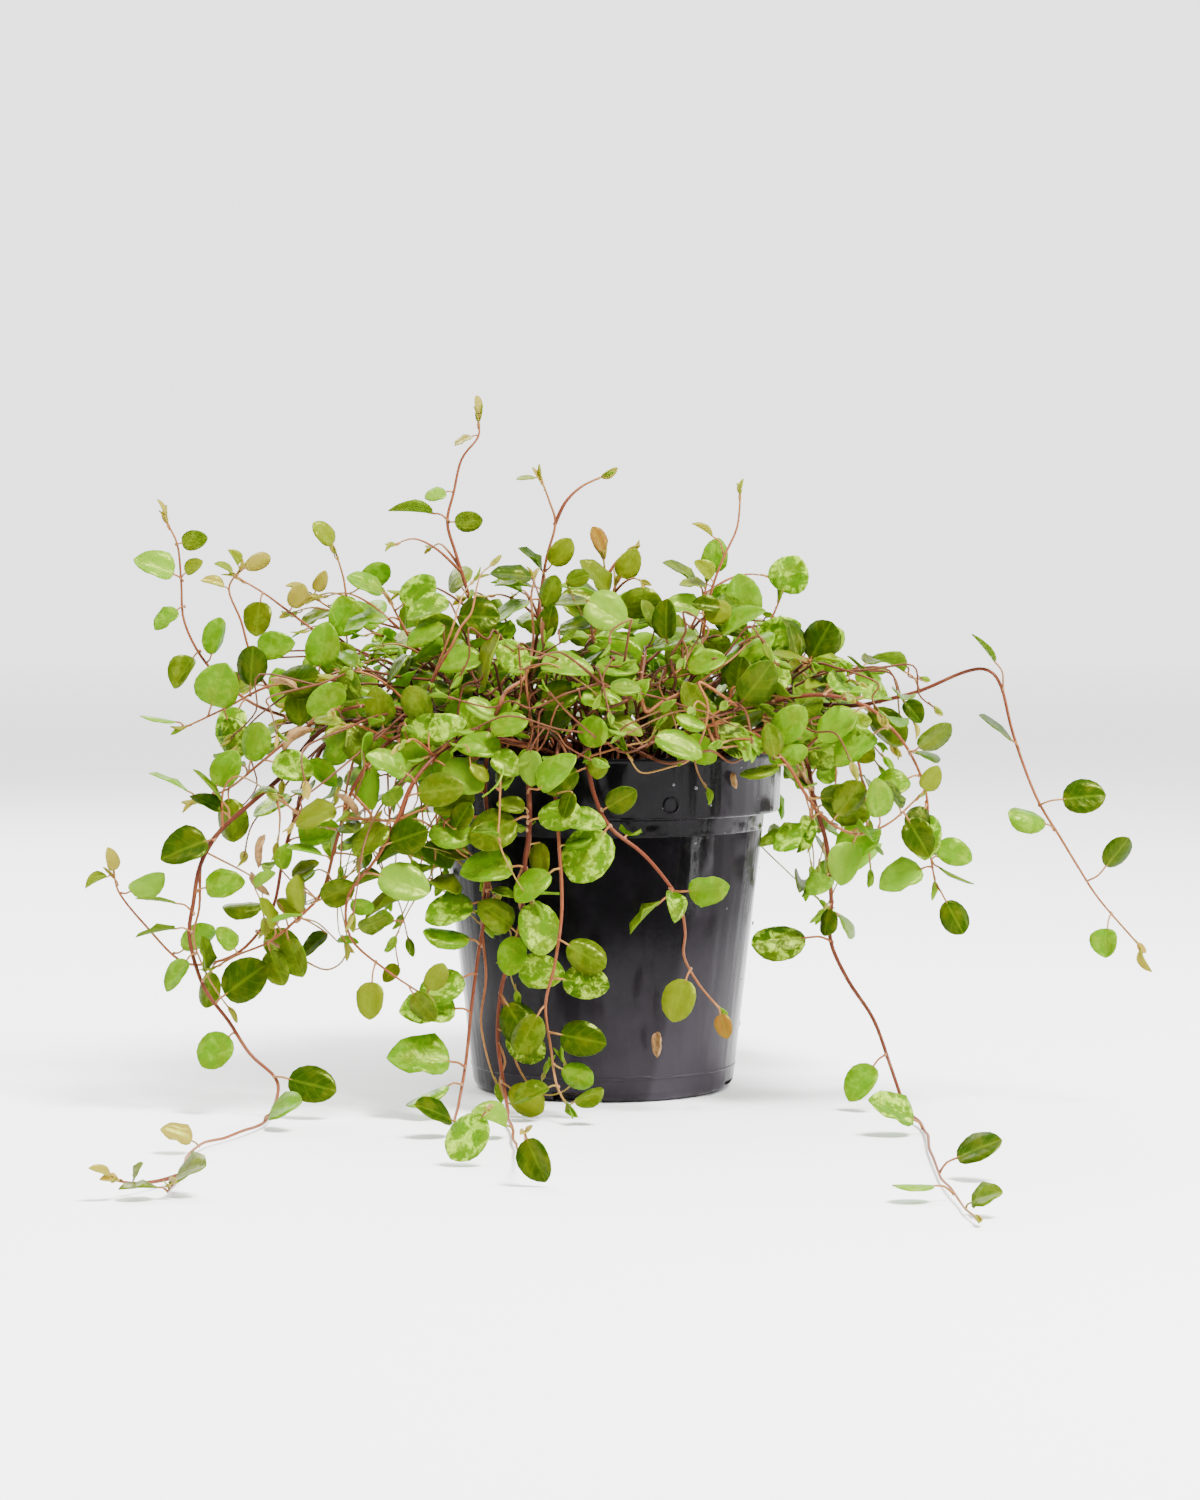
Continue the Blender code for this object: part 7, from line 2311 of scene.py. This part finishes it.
def make_tools():
    """The collections, trees and materials that the pieces are made with."""
    plant, shelf = new_collection("plant"), new_collection("shelf")
    return {"plant": plant, "shelf": shelf, **pattern_shelves(shelf),
            "places": shapes_on_places(), "stems": round_stems(), "scatter": scatter_on_surface(),
            "bark": stem_finish("stem_bark", OLD_BARK),
            "young_bark": stem_finish("young_bark", YOUNG_BARK),
            "deep_bark": stem_finish("deep_bark", SHADED_BARK),
            "sheath": sheath_finish(), "leaf_face": leaf_face_finish(),
            "leaf_underside": leaf_underside_finish(), "husk": husk_finish(), "plastic": pot_finish(),
            "water": drop_finish(), "crumb_finish": mix_finish("mix_crumbs", *CRUMB_TONES)}


def bark_of(name):
    """Runners, undergrowth and the shoots that fill the dome get the darker bark, a painted shade. Young
    strands are light.
    """
    if name == "young_strands":
        return "young_bark"
    inside = name in ("runners", "undergrowth") or name.startswith("dome_")
    return "deep_bark" if inside else "bark"


def clear_shelves(tools):
    """Removes the small shapes, which the pieces hold as copies."""
    for key in ("patterns", "collars", "husks", "crumbs", "drops", "shelf"):
        for each in list(tools[key].objects):
            bpy.data.objects.remove(each)
        bpy.data.collections.remove(tools[key])


def main():
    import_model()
    shoots = all_shoots()
    stems = bend_clear(grow_stems(shoots))
    leaves = grow_leaves(stems)
    twigs = fine_twigs(stems)
    runners = crown_runners() + rim_runners() + deep_runners() + drapes()
    sprigs = undergrowth()
    small = add_small_leaves(stems, twigs, runners + sprigs, leaves)
    strands = bare_strands("young_strands", YOUNG_STRANDS, stems)
    strands += bare_strands("old_strands", OLD_STRANDS, stems) + crown_wires()
    every_stem = stems + twigs + runners + sprigs + strands
    tips = tip_leaves(every_stem)
    blades = leaves + small + tips
    by_name = {each["name"]: each for each in shoots}
    give_looks(blades, every_stem, by_name)
    give_tip_looks(tips)
    tools = make_tools()
    for name in [*by_name, "runners", "drapes", "undergrowth", "young_strands", "old_strands"]:
        dress_shoot(name, [s for s in every_stem if s.owner == name],
                    [item for item in blades if item.owner == name],
                    bark_of(name), tools, [name] if name in by_name else [])
    fine_pot(tools)
    mould_mark(tools)
    wall_drops(tools)
    mix_crumbs(tools)
    dry_leaves(tools)
    give_finish(bpy.data.objects["potting_mix"], mix_finish("potting_mix", *MIX_TONES))
    clear_shelves(tools)
    set_stage()
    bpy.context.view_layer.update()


main()
